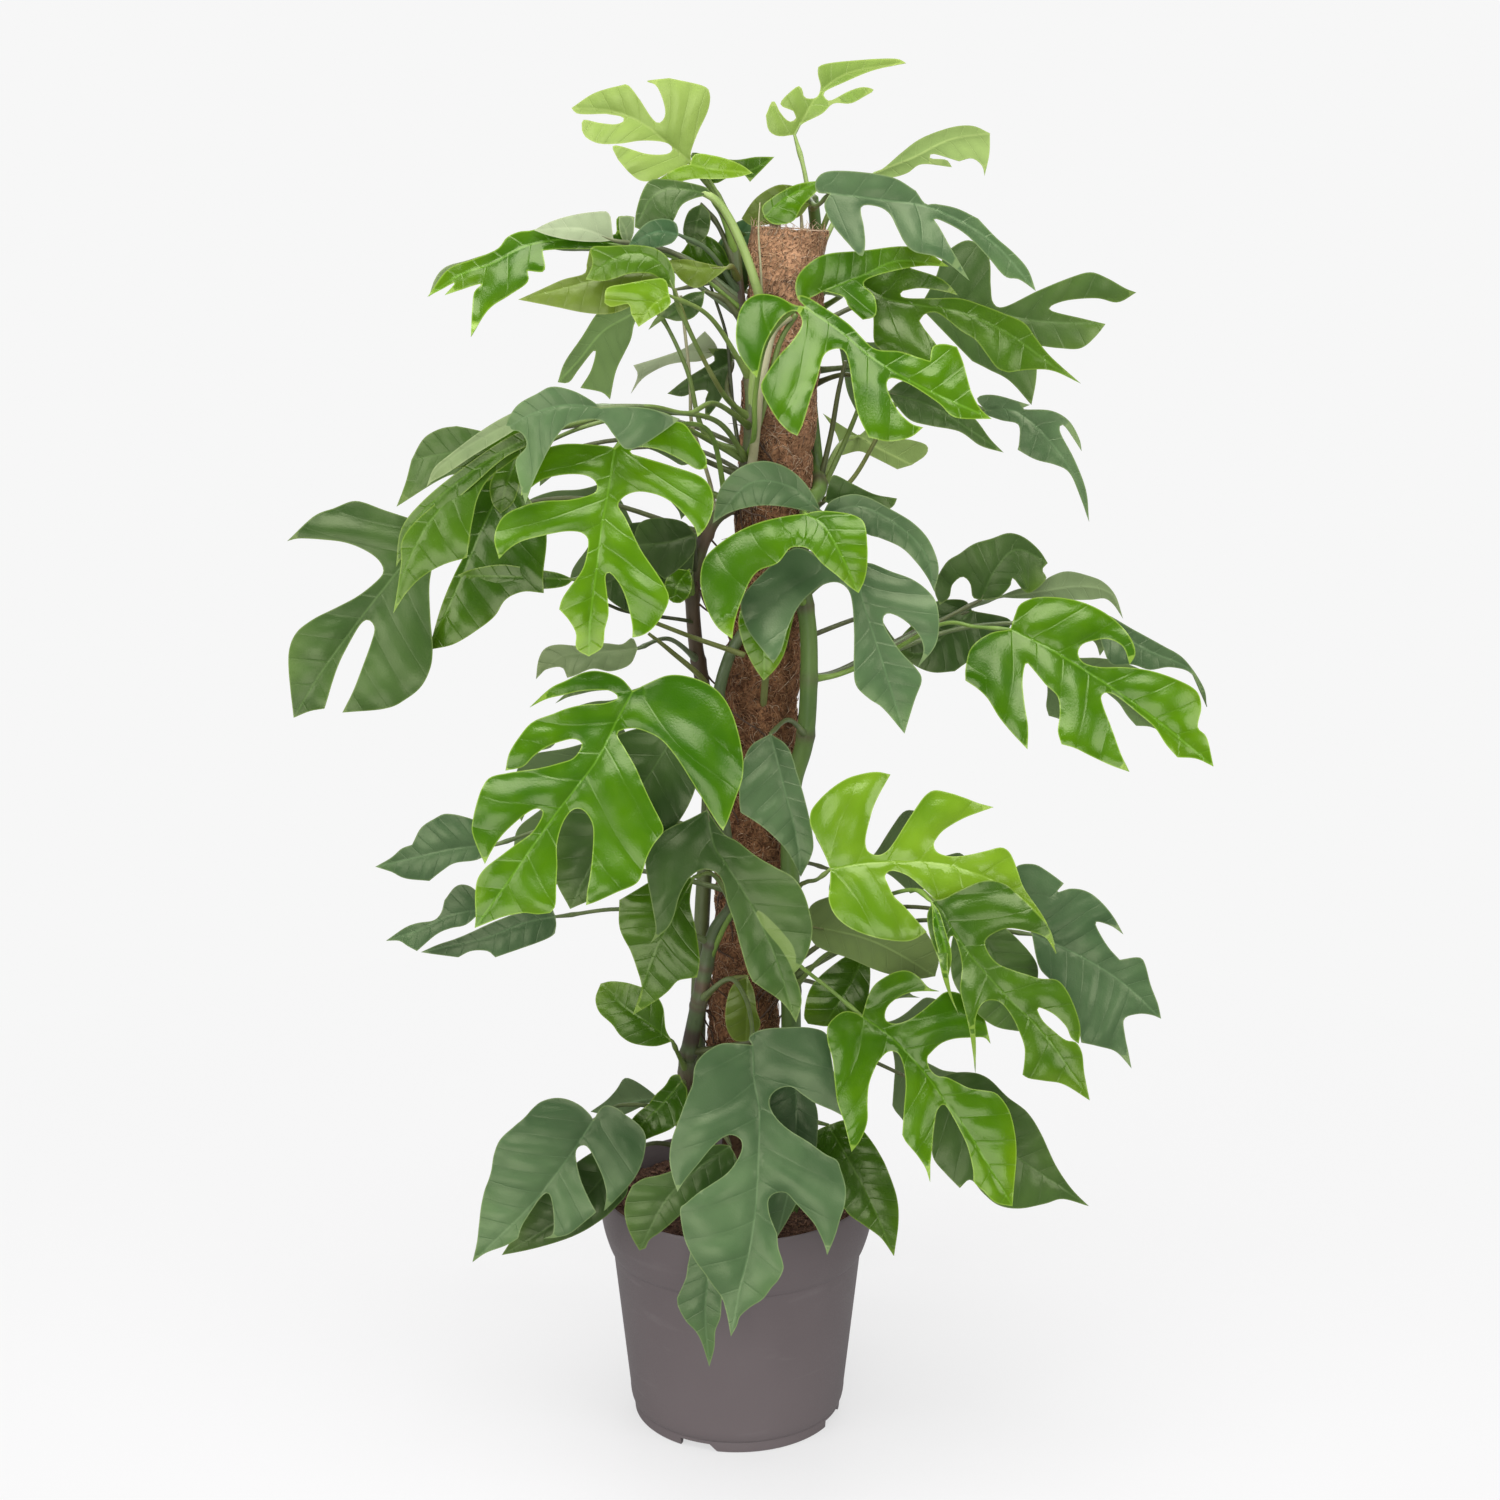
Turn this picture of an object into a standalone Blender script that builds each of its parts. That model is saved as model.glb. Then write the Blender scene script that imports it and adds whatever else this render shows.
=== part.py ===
"""Mini monstera, a split-leaved climbing aroid, tied to a coir pole in a nursery pot.

Metres, +Z up, the origin under the middle of the pot. The plant's own readings are
written in millimetres. Four leafy stems climb the pole, each fused with its leaves.
"""
import math
import random

import bmesh
import bpy
from mathutils import Matrix, Vector
from mathutils.geometry import delaunay_2d_cdt

MM = 0.001
GAP = 0.0003

# Pot: a straight-sided nursery pot with a deep rim band.
POT_HEIGHT = 0.184
RIM_RADIUS = 0.105
RIM_LOW_RADIUS = 0.0955
RIM_LOW_HEIGHT = 0.135
NECK_RADIUS = 0.0935
BODY_LOW_RADIUS = 0.0812
FOOT_RADIUS = 0.0775
FOOT_HEIGHT = 0.008
POT_WALL = 0.002
POT_FLOOR = 0.009
PAD_RADIUS = 0.034
CHANNEL_HEIGHT = 0.006
POT_SIDES = 32
NOTCHES = 6
NOTCH_WIDTH = 0.036
NOTCH_HEIGHT = 0.007
FIRST_NOTCH_DEGREES = -109.0
DRAIN_RADIUS = 0.0045
DRAIN_RING_RADIUS = 0.055

# Soil.
SOIL_LEVEL = 0.168
HOLE_TOP_Z = 0.2
STAKE_HOLE_SIDES = 20
STEM_HOLE_SIDES = 12
SOIL_BUMP = 0.0025

# Pole: a round stake with a coir sleeve, leaning a little to the right.
POLE_AT = Vector((0.006, 0.0, 0.333))
POLE_TOP_AT = Vector((0.037, 0.0, 0.896))
STAKE_RADIUS = 0.011
STAKE_FOOT_Z = 0.062
STAKE_TOP_Z = 0.896
COIR_RADIUS = 0.0275
COIR_FOOT_Z = 0.297
COIR_TOP_Z = 0.903
COIR_SIDES = 18
COIR_RINGS = 11
COIR_ROUGH = 0.0012
COIR_RAGGED = 0.003

# Leaves and stems.
VIEW = Vector((0.010, -1.725, 0.937))
BLADE_HALF = 0.0004
BLADE_SPACING = 62.0
OUTLINE_SLACK = 4.8
PETIOLE_RADIUS = 2.2
PETIOLE_END_RADIUS = 1.3
PETIOLE_SIDES = 3
PETIOLE_RUN = 14.0
STEM_SIDES = 7
STEM_FOOT_Z = 0.112

# Each stem as "x z depth" points from the soil up, with its radius in millimetres
# at the soil and at the tip. Right and front stems pass in front of the pole.
STEMS = {
    "right": ("40 172 12, 42 230 16, 41 330 26, 40 430 31, 41 497 32, 53 539 31,"
              "55 610 31, 47 669 32, 55 708 24, 62 722 2, 58 745 -22, 52 800 -34,"
              "54 850 -36, 56 900 -30, 54 925 -14", 7.5, 4.0),
    "front": ("-38 172 22, -38 275 24, -37 289 25, -32 315 29, -28 335 33,"
              "-24 357 36, -20 375 38, -15 390 39, -1 412 40, -6 440 41,"
              "-12 500 40, -14 560 39, -10 612 38", 7.0, 4.0),
    "left": ("-24 188 -22, -30 280 -24, -26 400 -26, -20 500 -26, -18 600 -20,"
             "-22 650 -4, -14 690 18, 4 720 32, 11 776 34, 8 820 30, 2 860 22,"
             "-2 905 14", 6.5, 4.0),
    "back": ("16 200 -34, 20 333 -42, 26 500 -42, 34 700 -42, 30 800 -42,"
             "26 880 -40, 30 925 -26", 6.5, 4.0),
}

# Leaves. Every outline is written in millimetres on the upright plane through the
# pole's foot, as seen from VIEW: x to the right, z up, "x z" pairs parted by commas.
# A star marks a sharp corner. left and right run from the blade's base to its tip
# and leave out both ends, which are the ends of rib. depth is how far the base lies
# in front of that plane, so a blade keeps its outline at any depth. tilt, side, fold
# and curl bend the blade: nearer as it hangs, nearer to the right, halves forward,
# edges back. stalk lists points "x z depth" between the stem and the blade.


def leaf(name, stem, joint, depth, rib, left, right, **shape):
    """One row of the leaf table."""
    row = dict(tilt=0.25, side=0.0, fold=0.12, curl=3.0, arch=5.0, stalk="",
               under=False, tone="mid", thick=1.0)
    row.update(name=name, stem=stem, joint=joint, depth=depth, rib=rib,
               left=left, right=right)
    row.update(shape)
    return row


LEAVES = [
    leaf("crown_pale", "left", 905, 30, tone="pale", tilt=0.0, fold=0.2,
         rib="-31 949, -46 961, -64 975, -86 984, -114 986",
         left="-31 957, -26 970, -19 985, -18 996, -23 1001, *-46 1006, -62 1004,"
              "-55 1001, -50 990, -49 981, -53 976, -58 979, *-66 991, -74 1001,"
              "-80 1001, -98 996",
         right="-45 943, -58 937, -67 937, -75 943, *-82 951, -86 960, -79 960,"
               "-62 955, -48 955, -44 959, -50 963, -66 964, -80 962, -95 962,"
               "-104 966, *-107 971, -106 978, -95 976, -84 975, -78 977, -79 980,"
               "*-90 982, -109 982"),
    leaf("crown_pale_right", "left", 898, 34, tone="pale", tilt=0.1,
         rib="-32 948, -18 945, 12 942",
         left="-28 955, -16 954, -4 951, 5 947",
         right="-40 946, -52 939, *-60 934, -44 935, -30 938, -14 938, 0 939"),
    leaf("crown_under_arc", "left", 888, 42, tone="bright", tilt=0.2,
         rib="-20 929, -40 931, -54 927, -70 909",
         left="-28 933, -44 935, -56 932, -65 921",
         right="-30 925, -42 926, -52 922, -62 912"),
    leaf("crown_dark_inner", "left", 878, 22, tone="dark", tilt=0.2,
         rib="-24 921, -28 905, -30 892",
         left="-33 916, -37 904, -35 895",
         right="-18 914, -19 902, -25 894"),
    leaf("crown_curled", "right", 895, -40, tone="pale", tilt=0.1, fold=0.25,
         rib="41 968, 50 984, 60 998, 80 1010, 118 1016",
         left="30 967, 23 971, *21 981, 26 991, 31 983, 37 977, 42 979, *40 984,"
              "31 989, 42 1000, 46 999, 48 993, 56 993, 59 1000, 57 1009, 60 1015,"
              "85 1018, 110 1019",
         right="46 975, 60 982, 68 989, 80 989, *90 994, 96 998, 88 1000, 78 997,"
               "66 991, 62 993, 62 997, 75 1003, 95 1011"),
    leaf("crown_arc", "right", 880, -62, tone="pale", under=True, tilt=0.1,
         rib="97 942, 112 948, 125 953, 150 965, 177 969",
         left="104 946, 117 957, 130 966, 150 973, 165 974",
         right="108 939, 120 942, 130 948, *151 946, 147 951, 136 952, 138 955,"
               "*156 950, 165 952, 172 947, *174 940, 177 955"),
    leaf("crown_big", "right", 925, 60, tilt=0.35, fold=0.2,
         stalk="52 924 8, 57 920 34",
         rib="66 928, 100 924, 140 917, 180 895, 212 861",
         left="57 929, 56 937, 64 943, 85 943, 110 939, *126 930, 133 921, 140 921,"
              "155 918, *170 911, 183 898, 195 888, 206 876",
         right="62 920, 67 908, *76 897, 88 885, 91 892, 90 905, 88 919, 100 919,"
               "108 914, 113 905, 119 894, 126 888, 140 885, 150 880, *165 868,"
               "158 880, 150 893, 143 905, 139 911, 150 907, 163 899, 178 884,"
               "190 871, 200 869"),
    leaf("crown_rolled", "left", 890, 45, tone="dark", tilt=0.4,
         rib="-18 927, -30 930, -48 931, -60 924, -66 913, -71 905",
         left="-20 932, -35 936, -50 938, -60 937, -66 928, -70 915",
         right="-28 925, -38 920, -45 908, *-55 905, -62 906, -65 903"),
    leaf("crown_edge_on", "left", 905, 15, tone="mid", tilt=0.0, fold=0.3,
         rib="-22 938, -5 946, 10 944, 27 953",
         left="-30 950, -30 956, -15 953, 0 951, 14 953",
         right="-14 935, -5 939, 5 941, *10 936, 16 942"),
    leaf("crown_pole_top", "right", 925, 22, tilt=0.2, stalk="37 926 6",
         rib="20 912, 35 925, 60 937",
         left="19 920, 33 930, 45 935",
         right="27 907, 40 909, 47 920, 58 931"),
    leaf("left_arch", "left", 850, 50, tone="bright", tilt=0.45, fold=0.2,
         rib="-78 892, -110 897, -145 893, -172 880, -195 872, -218 857",
         left="-79 900, *-72 912, -83 912, -84 901, -89 901, -88 912, -93 916,"
              "-110 913, *-128 908, -143 903, -152 902, -161 898, -168 890,"
              "-185 883, -203 876",
         right="-90 890, -120 890, *-136 889, -135 875, *-147 875, -147 867,"
               "-160 858, -175 848, *-188 829, -187 845, -185 860, -180 866,"
               "*-206 858, -198 867, -208 862"),
    leaf("left_grey_lobe", "left", 853, 44, tone="grey", tilt=0.3,
         rib="-86 896, -110 904, -142 903",
         left="-87 905, -88 913, *-91 916, -105 915, -120 912, -132 908",
         right="-98 895, -115 896, -130 899"),
    leaf("left_finger", "left", 847, 40, tone="grey", tilt=0.3,
         rib="-128 891, -165 885, -200 877, -217 857",
         left="-150 892, -170 888, -190 882, -204 878, -212 870",
         right="-150 885, -172 880, -192 874, -206 867"),
    leaf("left_grey_small", "left", 856, 52, tone="grey", tilt=0.2,
         rib="-76 892, -77 902, -82 912",
         left="-80 897, -82 904",
         right="-72 900, *-71 912, -76 913"),
    leaf("left_second", "left", 775, 98, tone="mid", tilt=0.25, fold=0.2,
         stalk="0 779 42, -10 790 58, -25 817 74, -40 848 90",
         rib="-44 862, -50 876, -64 886, -85 884, -106 869",
         left="-43 872, -48 884, -58 891, *-72 893, -90 892, -102 891, -101 880",
         right="-52 868, -60 873, -75 873, -92 868"),
    leaf("left_second_upper", "left", 862, 60, tone="blue", tilt=0.2,
         rib="-40 900, -56 902, -76 892",
         left="-42 908, -50 911, -61 909, -70 901",
         right="-45 894, -56 891, -66 890"),
    leaf("left_pale_right", "left", 868, 56, tone="olive", tilt=0.1,
         rib="-6 877, -28 877, -47 882",
         left="-20 880, -35 883",
         right="-15 870, -28 863, -40 870"),
    leaf("left_dark_under", "left", 840, 40, tone="dark", tilt=0.2,
         rib="-22 861, -38 850, -62 834",
         left="-34 859, -48 850, -57 842",
         right="-24 850, -31 842, -42 840, -52 842"),
    leaf("left_olive", "left", 775, 82, tone="olive", tilt=0.3,
         stalk="0 779 42, -10 790 58, -25 817 74, -38 846 82",
         rib="-43 862, -58 873, -85 872, -112 865, -154 855",
         left="-44 875, -52 885, -68 891, -88 891, *-103 889, -105 880, -107 873,"
              "-122 869, -138 862",
         right="-55 866, -62 860, -75 850, -90 845, -108 846, -128 850"),
    leaf("left_young", "left", 800, 112, tone="pale", tilt=0.2,
         rib="-47 858, -58 852, -69 836",
         left="-50 869, -61 869, -78 866, -91 863, *-93 853, -88 850, -76 852,"
              "-74 845",
         right="-46 853, -50 848, -60 842"),
    leaf("left_hanging", "left", 748, 42, under=True, tone="mid", tilt=0.4,
         stalk="-18 756 34, -27 772 38, -35 806 40, -53 843 41",
         rib="-66 848, -80 841, -95 832, -112 812, -127 797",
         left="-68 852, -80 851, -95 849, -110 828, -122 811",
         right="-72 838, -75 826, -85 806, *-90 785, -96 790, *-111 793, -103 806,"
               "-100 820, -112 806, -119 797"),
    leaf("left_edge_grey", "back", 790, -42, tone="grey", tilt=0.2,
         rib="-12 818, -40 818, -60 812, -73 809",
         left="-15 825, *-22 833, -35 822, -50 816",
         right="-25 812, -40 811, -52 808, -66 800, *-75 789, -70 802"),
    leaf("left_edge_dark", "left", 770, -14, tone="dark", tilt=0.2,
         stalk="-6 790 18",
         rib="-2 812, -25 800, -49 789",
         left="-5 820, *-20 821, -15 813, -22 808, -35 800",
         right="-5 800, -10 786, *-22 770, -22 784, -20 791, -28 791, -38 787"),
    leaf("crown_blue", "left", 840, -26, tone="blue", tilt=0.0,
         rib="-14 862, -5 885, 12 912",
         left="-19 868, -18 880, -12 895, 0 908",
         right="2 866, 10 880, 15 895"),
    leaf("crown_bud", "left", 850, 12, tone="bright", tilt=0.0,
         rib="-4 880, -25 878, -47 882",
         left="-10 892, -20 899, -31 897, -38 888",
         right="-12 872, -25 868, -38 872"),
    leaf("right_bright", "left", 742, 100, tone="bright", tilt=0.45, fold=0.1,
         stalk="13 760 50, 14 790 62, 22 826 84, 40 847 97",
         rib="50 849, 75 832, 100 812, 140 790, 183 771",
         left="43 857, 50 857, 65 848, 80 838, 98 821, 115 819, 128 815, *138 812,"
              "140 822, 148 824, *157 822, 162 810, 168 790, 175 778",
         right="40 852, 30 857, 18 859, 8 855, 2 845, 0 830, 2 818, 8 808,"
               "*15 800, 20 822, 28 837, 35 845, 43 847, 47 838, 40 826, 30 815,"
               "20 800, 18 793, 22 783, 30 770, 38 762, *44 759, 48 768, 53 785,"
               "58 800, 62 815, 68 820, 76 820, 80 812, 83 795, 87 775, *95 758,"
               "110 755, 125 758, *134 765, 125 768, 115 778, 108 792, 108 798,"
               "112 800, 125 795, 145 782, 157 772"),
    leaf("right_bright_upper", "right", 845, 66, tone="bright", tilt=0.2, fold=0.25,
         stalk="72 856 -16, 73 858 26",
         rib="62 861, 90 872, 115 882, 150 878",
         left="52 856, 45 855, 42 862, 44 872, 54 882, 66 887, 90 889, 118 892,"
              "135 888",
         right="76 857, 80 850, *90 841, 99 844, 98 857, 90 866, 100 872, 128 878"),
    leaf("right_mid", "right", 850, 38, tilt=0.35, fold=0.2,
         rib="88 866, 105 856, 130 851, 155 847, 190 833, 225 809, 246 796",
         left="95 873, 112 880, 126 876, 142 871, 151 865, *157 858, 145 861,"
              "130 863, *118 861, 116 858, 122 856, 142 856, 158 856, 172 852,"
              "188 846, 204 839, 213 828, 224 815",
         right="90 856, 97 845, 98 826, *104 819, 122 817, 140 806, *154 795,"
               "150 810, 142 824, 134 834, *130 840, 134 845, 142 846, 150 841,"
               "160 833, 170 827, 178 817, 186 807, *194 804, 210 806, 226 805"),
    leaf("right_dark", "right", 835, -58, tone="dark", tilt=0.25, fold=0.15,
         rib="130 850, 170 848, 213 840, 262 838",
         left="140 868, 145 882, 152 891, 165 896, 178 885, 180 865, 182 853,"
              "190 850, 213 861, 235 870, 250 874, 262 870, 275 863, *283 860,"
              "270 853, 255 856, 232 854, 222 848, 245 842",
         right="150 830, 165 815, *168 812, 180 806, 195 798, *211 781, 214 800,"
               "*214 823, 230 821, 245 821, 255 829"),
    leaf("right_arching", "right", 800, 0, tone="dark", tilt=0.3, arch=15,
         rib="178 777, 200 776, 225 755, 243 730, 253 705, 255 697",
         left="172 786, 185 788, *210 781, 205 778, 225 777, 238 770, 246 757,"
              "*248 748, 235 766, 232 762, 243 742, 252 720",
         right="176 775, 190 770, 202 767, 203 755, *202 749, 215 742, 230 738,"
               "240 732, 248 715"),
    leaf("right_under", "right", 790, 32, tone="dark", tilt=0.3,
         rib="108 790, 140 780, 165 765, 192 747",
         left="120 798, 140 790, 155 778, 170 772, 182 757",
         right="115 780, 125 770, 140 766, 160 762, 175 752"),
    leaf("pale_star", "right", 725, -78, under=True, tone="mid", tilt=0.3,
         rib="88 759, 100 751, 114 744, 126 738",
         left="96 765, 106 764, 112 758, 126 756, 137 752, 136 745",
         right="78 765, *62 775, 72 760, *76 745, 88 748, 98 744, *116 735"),
    leaf("mid_bright", "left", 710, 140, tone="bright", tilt=0.3, fold=0.12,
         stalk="-18 760 70, -45 768 110, -70 768 135",
         rib="-87 750, -92 720, -97 695, -101 665, -106 630, -108 598",
         left="-95 752, -125 753, -145 745, -153 730, *-155 716, -140 727,"
              "-125 731, -110 731, -102 727, -100 721, -104 717, -120 713,"
              "-140 712, -155 708, -167 702, -173 693, -175 683, *-172 670,"
              "-165 677, -155 683, -140 687, -125 690, -115 690, -110 688,"
              "-107 683, -109 670, -113 660, -122 648, -127 640, *-129 633,"
              "-122 625, -117 615, -117 604",
         right="-80 755, -66 760, -50 768, -38 768, -30 758, -22 745, *-21 736,"
               "-28 735, -40 742, -55 749, -70 751, -76 747, -65 743, -45 737,"
               "-30 732, -22 727, -17 718, -17 705, -22 693, *-28 686, -30 693,"
               "-37 702, -45 710, -55 716, -68 719, -78 717, -84 712, -85 708,"
               "-80 700, -74 687, -68 675, -60 663, -53 652, -49 642, -52 632,"
               "-60 620, -68 614, *-76 612, -76 622, -80 640, -85 652, -92 660,"
               "-95 657, -94 645, -93 630, -96 618, -98 605"),
    leaf("mid_grey", "left", 770, 162, tone="dark", tilt=0.15, fold=0.15,
         stalk="-15 782 90, -35 775 125, -66 780 158",
         rib="-97 779, -120 781, -145 775, -168 762",
         left="-103 784, -116 791, -131 794, -142 789, -157 780",
         right="-80 780, -60 778, *-40 771, -55 760, -70 751, -80 750, -88 760,"
               "-97 770, -115 769, -125 763, -135 748, -145 728, *-152 710,"
               "-157 730, -158 742, -150 752, -155 762"),
    leaf("mid_finger_upper", "left", 770, 158, tone="grey", tilt=0.15, fold=0.3,
         stalk="-15 782 90, -35 775 125, -66 780 158",
         rib="-108 780, -135 779, -165 766, -196 749, -216 733, -223 722",
         left="-125 784, -145 781, -165 773, -185 761, -205 746, -217 736",
         right="-135 773, -150 768, -165 759, -190 744, -208 732, -219 726"),
    leaf("mid_finger_lower", "left", 770, 154, tone="mid", tilt=0.15, fold=0.3,
         stalk="-15 782 90, -35 775 125, -66 780 158",
         rib="-112 772, -160 752, -192 732, -222 708, -240 688, -247 664",
         left="-140 767, -165 757, -195 737, -225 713, -242 692",
         right="-140 756, -165 744, -190 723, -218 699, -236 680"),
    leaf("mid_behind_bright", "left", 745, 128, tone="mid", tilt=0.2,
         stalk="-15 770 80, -60 775 120, -110 765 130",
         rib="-156 744, -166 722, -170 703",
         left="-168 740, -177 725, -176 711",
         right="-155 730, -160 712"),
    leaf("mid_folded", "left", 745, 150, tilt=0.25, fold=0.1,
         rib="-140 762, -180 738, -215 705, -238 668, -250 630",
         left="-150 768, -175 760, -198 748, *-222 724, -210 733, -190 738,"
              "-172 742, -190 730, -212 714, -232 697, -242 683, -243 668,"
              "-246 650",
         right="-150 750, -165 738, -178 728, -186 715, -190 700, -193 685,"
               "*-195 671, -212 666, -228 657, -240 645"),
    leaf("left_big_dark", "left", 690, 92, tone="dark", tilt=0.3, fold=0.15,
         rib="-222 690, -245 662, -275 625, -305 585, -326 552",
         left="-232 697, *-237 700, -255 706, -268 711, -277 712, -290 707,"
              "-305 701, *-325 683, -316 685, -298 684, -283 682, -270 677,"
              "-260 670, -256 662, -260 655, -275 643, -292 634, -308 626,"
              "-321 616, -327 603, -328 585",
         right="-220 670, -223 650, -223 625, -222 605, -224 590, -231 576,"
               "-243 566, -258 559, *-290 556, -281 573, -274 590, -267 608,"
               "-264 619, -268 625, -274 622, -284 606, -293 588, *-303 559,"
               "-314 557"),
    leaf("left_dark_upper", "left", 735, 104, tone="dark", tilt=0.2,
         rib="-150 742, -190 748, -233 742",
         left="-165 757, -185 763, *-200 766, -212 764, -224 757",
         right="-165 733, -190 730, -208 730, *-245 708, -238 725"),
    leaf("left_hanging_low", "left", 715, 72, tilt=0.3, fold=0.15,
         rib="-160 735, -180 700, -200 655, -225 603",
         left="-172 730, -185 722, -192 700, -194 680, -205 658, -215 635",
         right="-150 715, -140 700, -137 685, -140 660, *-140 645, -155 646,"
               "-168 640, -176 628, -190 617, -207 607"),
    leaf("left_narrow", "left", 640, 100, tone="mid", tilt=0.1, fold=0.2,
         rib="-118 655, -160 657, -203 658",
         left="-130 660, -150 663, -170 666, -190 663",
         right="-125 650, -140 648, -165 648, -190 652"),
    leaf("left_inner_dark", "left", 660, 62, tone="dark", tilt=0.2,
         rib="-29 688, -50 682, -75 680",
         left="-38 697, -55 700, -70 696",
         right="-30 676, -40 664, *-52 655, -60 662, -70 671"),
    leaf("left_small_grey", "left", 590, 62, tone="dark", tilt=0.2,
         rib="-72 604, -100 601, -128 598, -147 581",
         left="-76 612, -84 607, -98 608, -115 606, -130 607, -140 604, -145 595",
         right="-78 592, -92 587, -105 589, -118 584, *-124 582, -128 590,"
               "-140 588"),
    leaf("centre_arch", "right", 690, 112, tone="dark", tilt=0.2, arch=8,
         rib="62 703, 40 722, 10 725, -17 696",
         left="57 714, 48 727, 35 737, 20 741, 6 738, -5 730, -13 718",
         right="50 705, 35 708, 18 709, 2 706, -8 702"),
    leaf("centre_bright", "right", 680, 130, tone="bright", tilt=0.35,
         rib="50 703, 62 695, 75 675, 89 645",
         left="35 701, 15 696, -2 688, -16 678, -24 668, -26 652, -22 635,"
              "-14 620, *-3 611, -1 625, 4 640, 10 654, 17 662, 30 667, 38 677,"
              "44 679, 53 677, 62 667, 73 658, 82 650",
         right="60 705, 75 704, 87 701, 93 695, 95 680, 95 665, 93 654"),
    leaf("centre_bright_low", "right", 640, 88, tone="bright", tilt=0.3,
         rib="30 650, 22 615, 20 580",
         left="12 652, 2 628, 4 610, 12 592",
         right="44 645, 40 620, 35 600, 28 588"),
    leaf("centre_dark", "right", 650, 106, tone="dark", tilt=0.35, fold=0.2,
         rib="88 665, 92 640, 105 600, 124 540",
         left="75 664, 60 671, 47 678, 36 675, 25 665, 12 652, 4 641, 4 630,"
              "10 615, *27 593, 33 603, 38 620, 46 636, 58 648, 70 653, 79 650,"
              "84 640, 86 615, 86 590, 88 576, 98 566, 108 559",
         right="97 667, 112 661, 128 655, 139 647, 146 637, 148 620, 145 605,"
               "*133 590, 137 603, 132 616, 121 626, 111 630, 107 626, 110 617,"
               "120 602, 132 589, 136 580, 131 565"),
    leaf("centre_arch_right", "right", 670, 100, tone="dark", tilt=0.3, arch=10,
         rib="62 702, 90 708, 120 692, 138 672, 144 646",
         left="68 712, 82 717, 95 715, 112 706, 127 697, 138 686, 145 672,"
              "147 660",
         right="80 697, 95 688, 105 685, 120 678, 131 667, 139 656"),
    leaf("centre_dark_small", "right", 690, 62, tone="dark", tilt=0.1,
         rib="64 712, 85 715, 116 714",
         left="66 722, 70 731, 85 724, 100 717",
         right="74 706, 90 704, 104 704, 113 708"),
    leaf("right_big", "right", 590, 62, tone="bright", tilt=0.45, fold=0.15,
         stalk="76 585 20, 110 600 30, 150 622 44, 175 620 54",
         rib="200 618, 225 606, 250 591, 275 575, 310 550, 353 515",
         left="203 628, 207 637, 220 642, 240 641, 258 636, 275 626, 288 612,"
              "292 600, *288 592, 283 605, 272 611, 262 610, 253 607, 250 600,"
              "255 593, 268 590, 285 590, 305 587, 325 580, 338 572, 342 560,"
              "340 545, 347 537",
         right="185 615, 172 605, 168 590, *168 580, 177 574, 185 566, 193 553,"
               "202 542, *215 528, 215 545, 212 562, 210 580, 212 593, 216 590,"
               "227 577, 236 568, 238 555, 237 542, *240 532, 250 529, 262 523,"
               "277 516, *291 511, 284 525, 277 543, 270 560, 268 568, 272 571,"
               "280 568, 295 556, 308 545, 317 532, *326 522, 340 521"),
    leaf("right_big_behind", "right", 590, 8, tone="dark",
         stalk="76 585 12, 110 600 14, 170 620 8", tilt=0.35,
         rib="262 625, 300 603, 332 588, 346 560",
         left="268 630, 290 618, 312 606, 328 596, 343 575",
         right="268 605, 275 592, 290 592, 303 588, 318 590, 334 585, 343 568"),
    leaf("right_dark_low", "right", 590, -4, tone="dark",
         stalk="76 586 10, 110 602 8, 150 625 2", tilt=0.1,
         rib="178 640, 188 662, 203 677, 226 667",
         left="172 642, 170 652, 164 657, 157 651, 155 642, *148 636, 144 650,"
              "152 667, 162 674, 172 681, 185 685, 197 689, 208 686, 219 677",
         right="190 641, 199 650, 201 656, 212 645, 225 655, 222 662"),
    leaf("right_grey_arch", "right", 590, -16, tone="dark",
         stalk="76 587 8, 110 604 2, 155 628 -8", under=True, tilt=0.2,
         rib="190 642, 220 646, 250 650, 272 645, 282 626",
         left="205 648, 218 650, 228 657, 240 661, 255 658, 267 653, 276 643",
         right="205 641, 225 641, 245 640, 258 640, 268 641, 275 636"),
    leaf("right_inner_dark", "right", 590, -22, tone="dark",
         stalk="76 588 6, 110 606 -4, 145 624 -14", tilt=0.2,
         rib="172 632, 150 612, 134 600, 117 605",
         left="165 640, 143 638, 132 625, 122 615",
         right="200 625, 190 610, *160 587, 145 586, 133 590, 122 598"),
    leaf("low_left_big", "front", 575, 170, tone="bright", tilt=0.35, fold=0.12,
         stalk="-30 575 80, -56 575 132",
         rib="-76 572, -88 550, -102 522, -118 500, -135 478, -165 435, -197 390",
         left="-85 582, -100 587, -112 586, -125 580, -137 574, *-152 560,"
              "-140 566, -128 569, -115 572, -100 573, -92 572, -87 567, -97 563,"
              "-112 562, -125 559, -135 555, -150 549, -160 538, -168 525,"
              "*-171 512, -158 515, -150 523, -140 530, -130 534, -120 536,"
              "-114 532, -120 522, -130 518, -145 514, -158 512, -170 510,"
              "-182 507, -188 500, -192 490, -196 475, -197 465, -193 452,"
              "*-188 440, -183 450, -175 462, -165 472, -155 480, -148 483,"
              "-144 479, -152 465, -165 455, -178 445, -188 437, -194 428,"
              "-196 415, -196 400",
         right="-65 578, -50 584, -35 583, -20 577, -10 568, -3 555, 2 538, 5 520,"
               "4 505, -1 490, -6 475, *-10 466, -15 473, -25 490, -35 507,"
               "-45 523, -55 535, -65 541, -75 544, -84 543, -88 539, -82 528,"
               "-75 515, -70 503, -63 487, -55 470, *-55 464, -62 455, -67 445,"
               "-70 435, -75 425, -90 418, -105 411, *-113 408, -112 418,"
               "-109 435, -107 455, -107 470, -112 480, -118 483, -124 480,"
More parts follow.
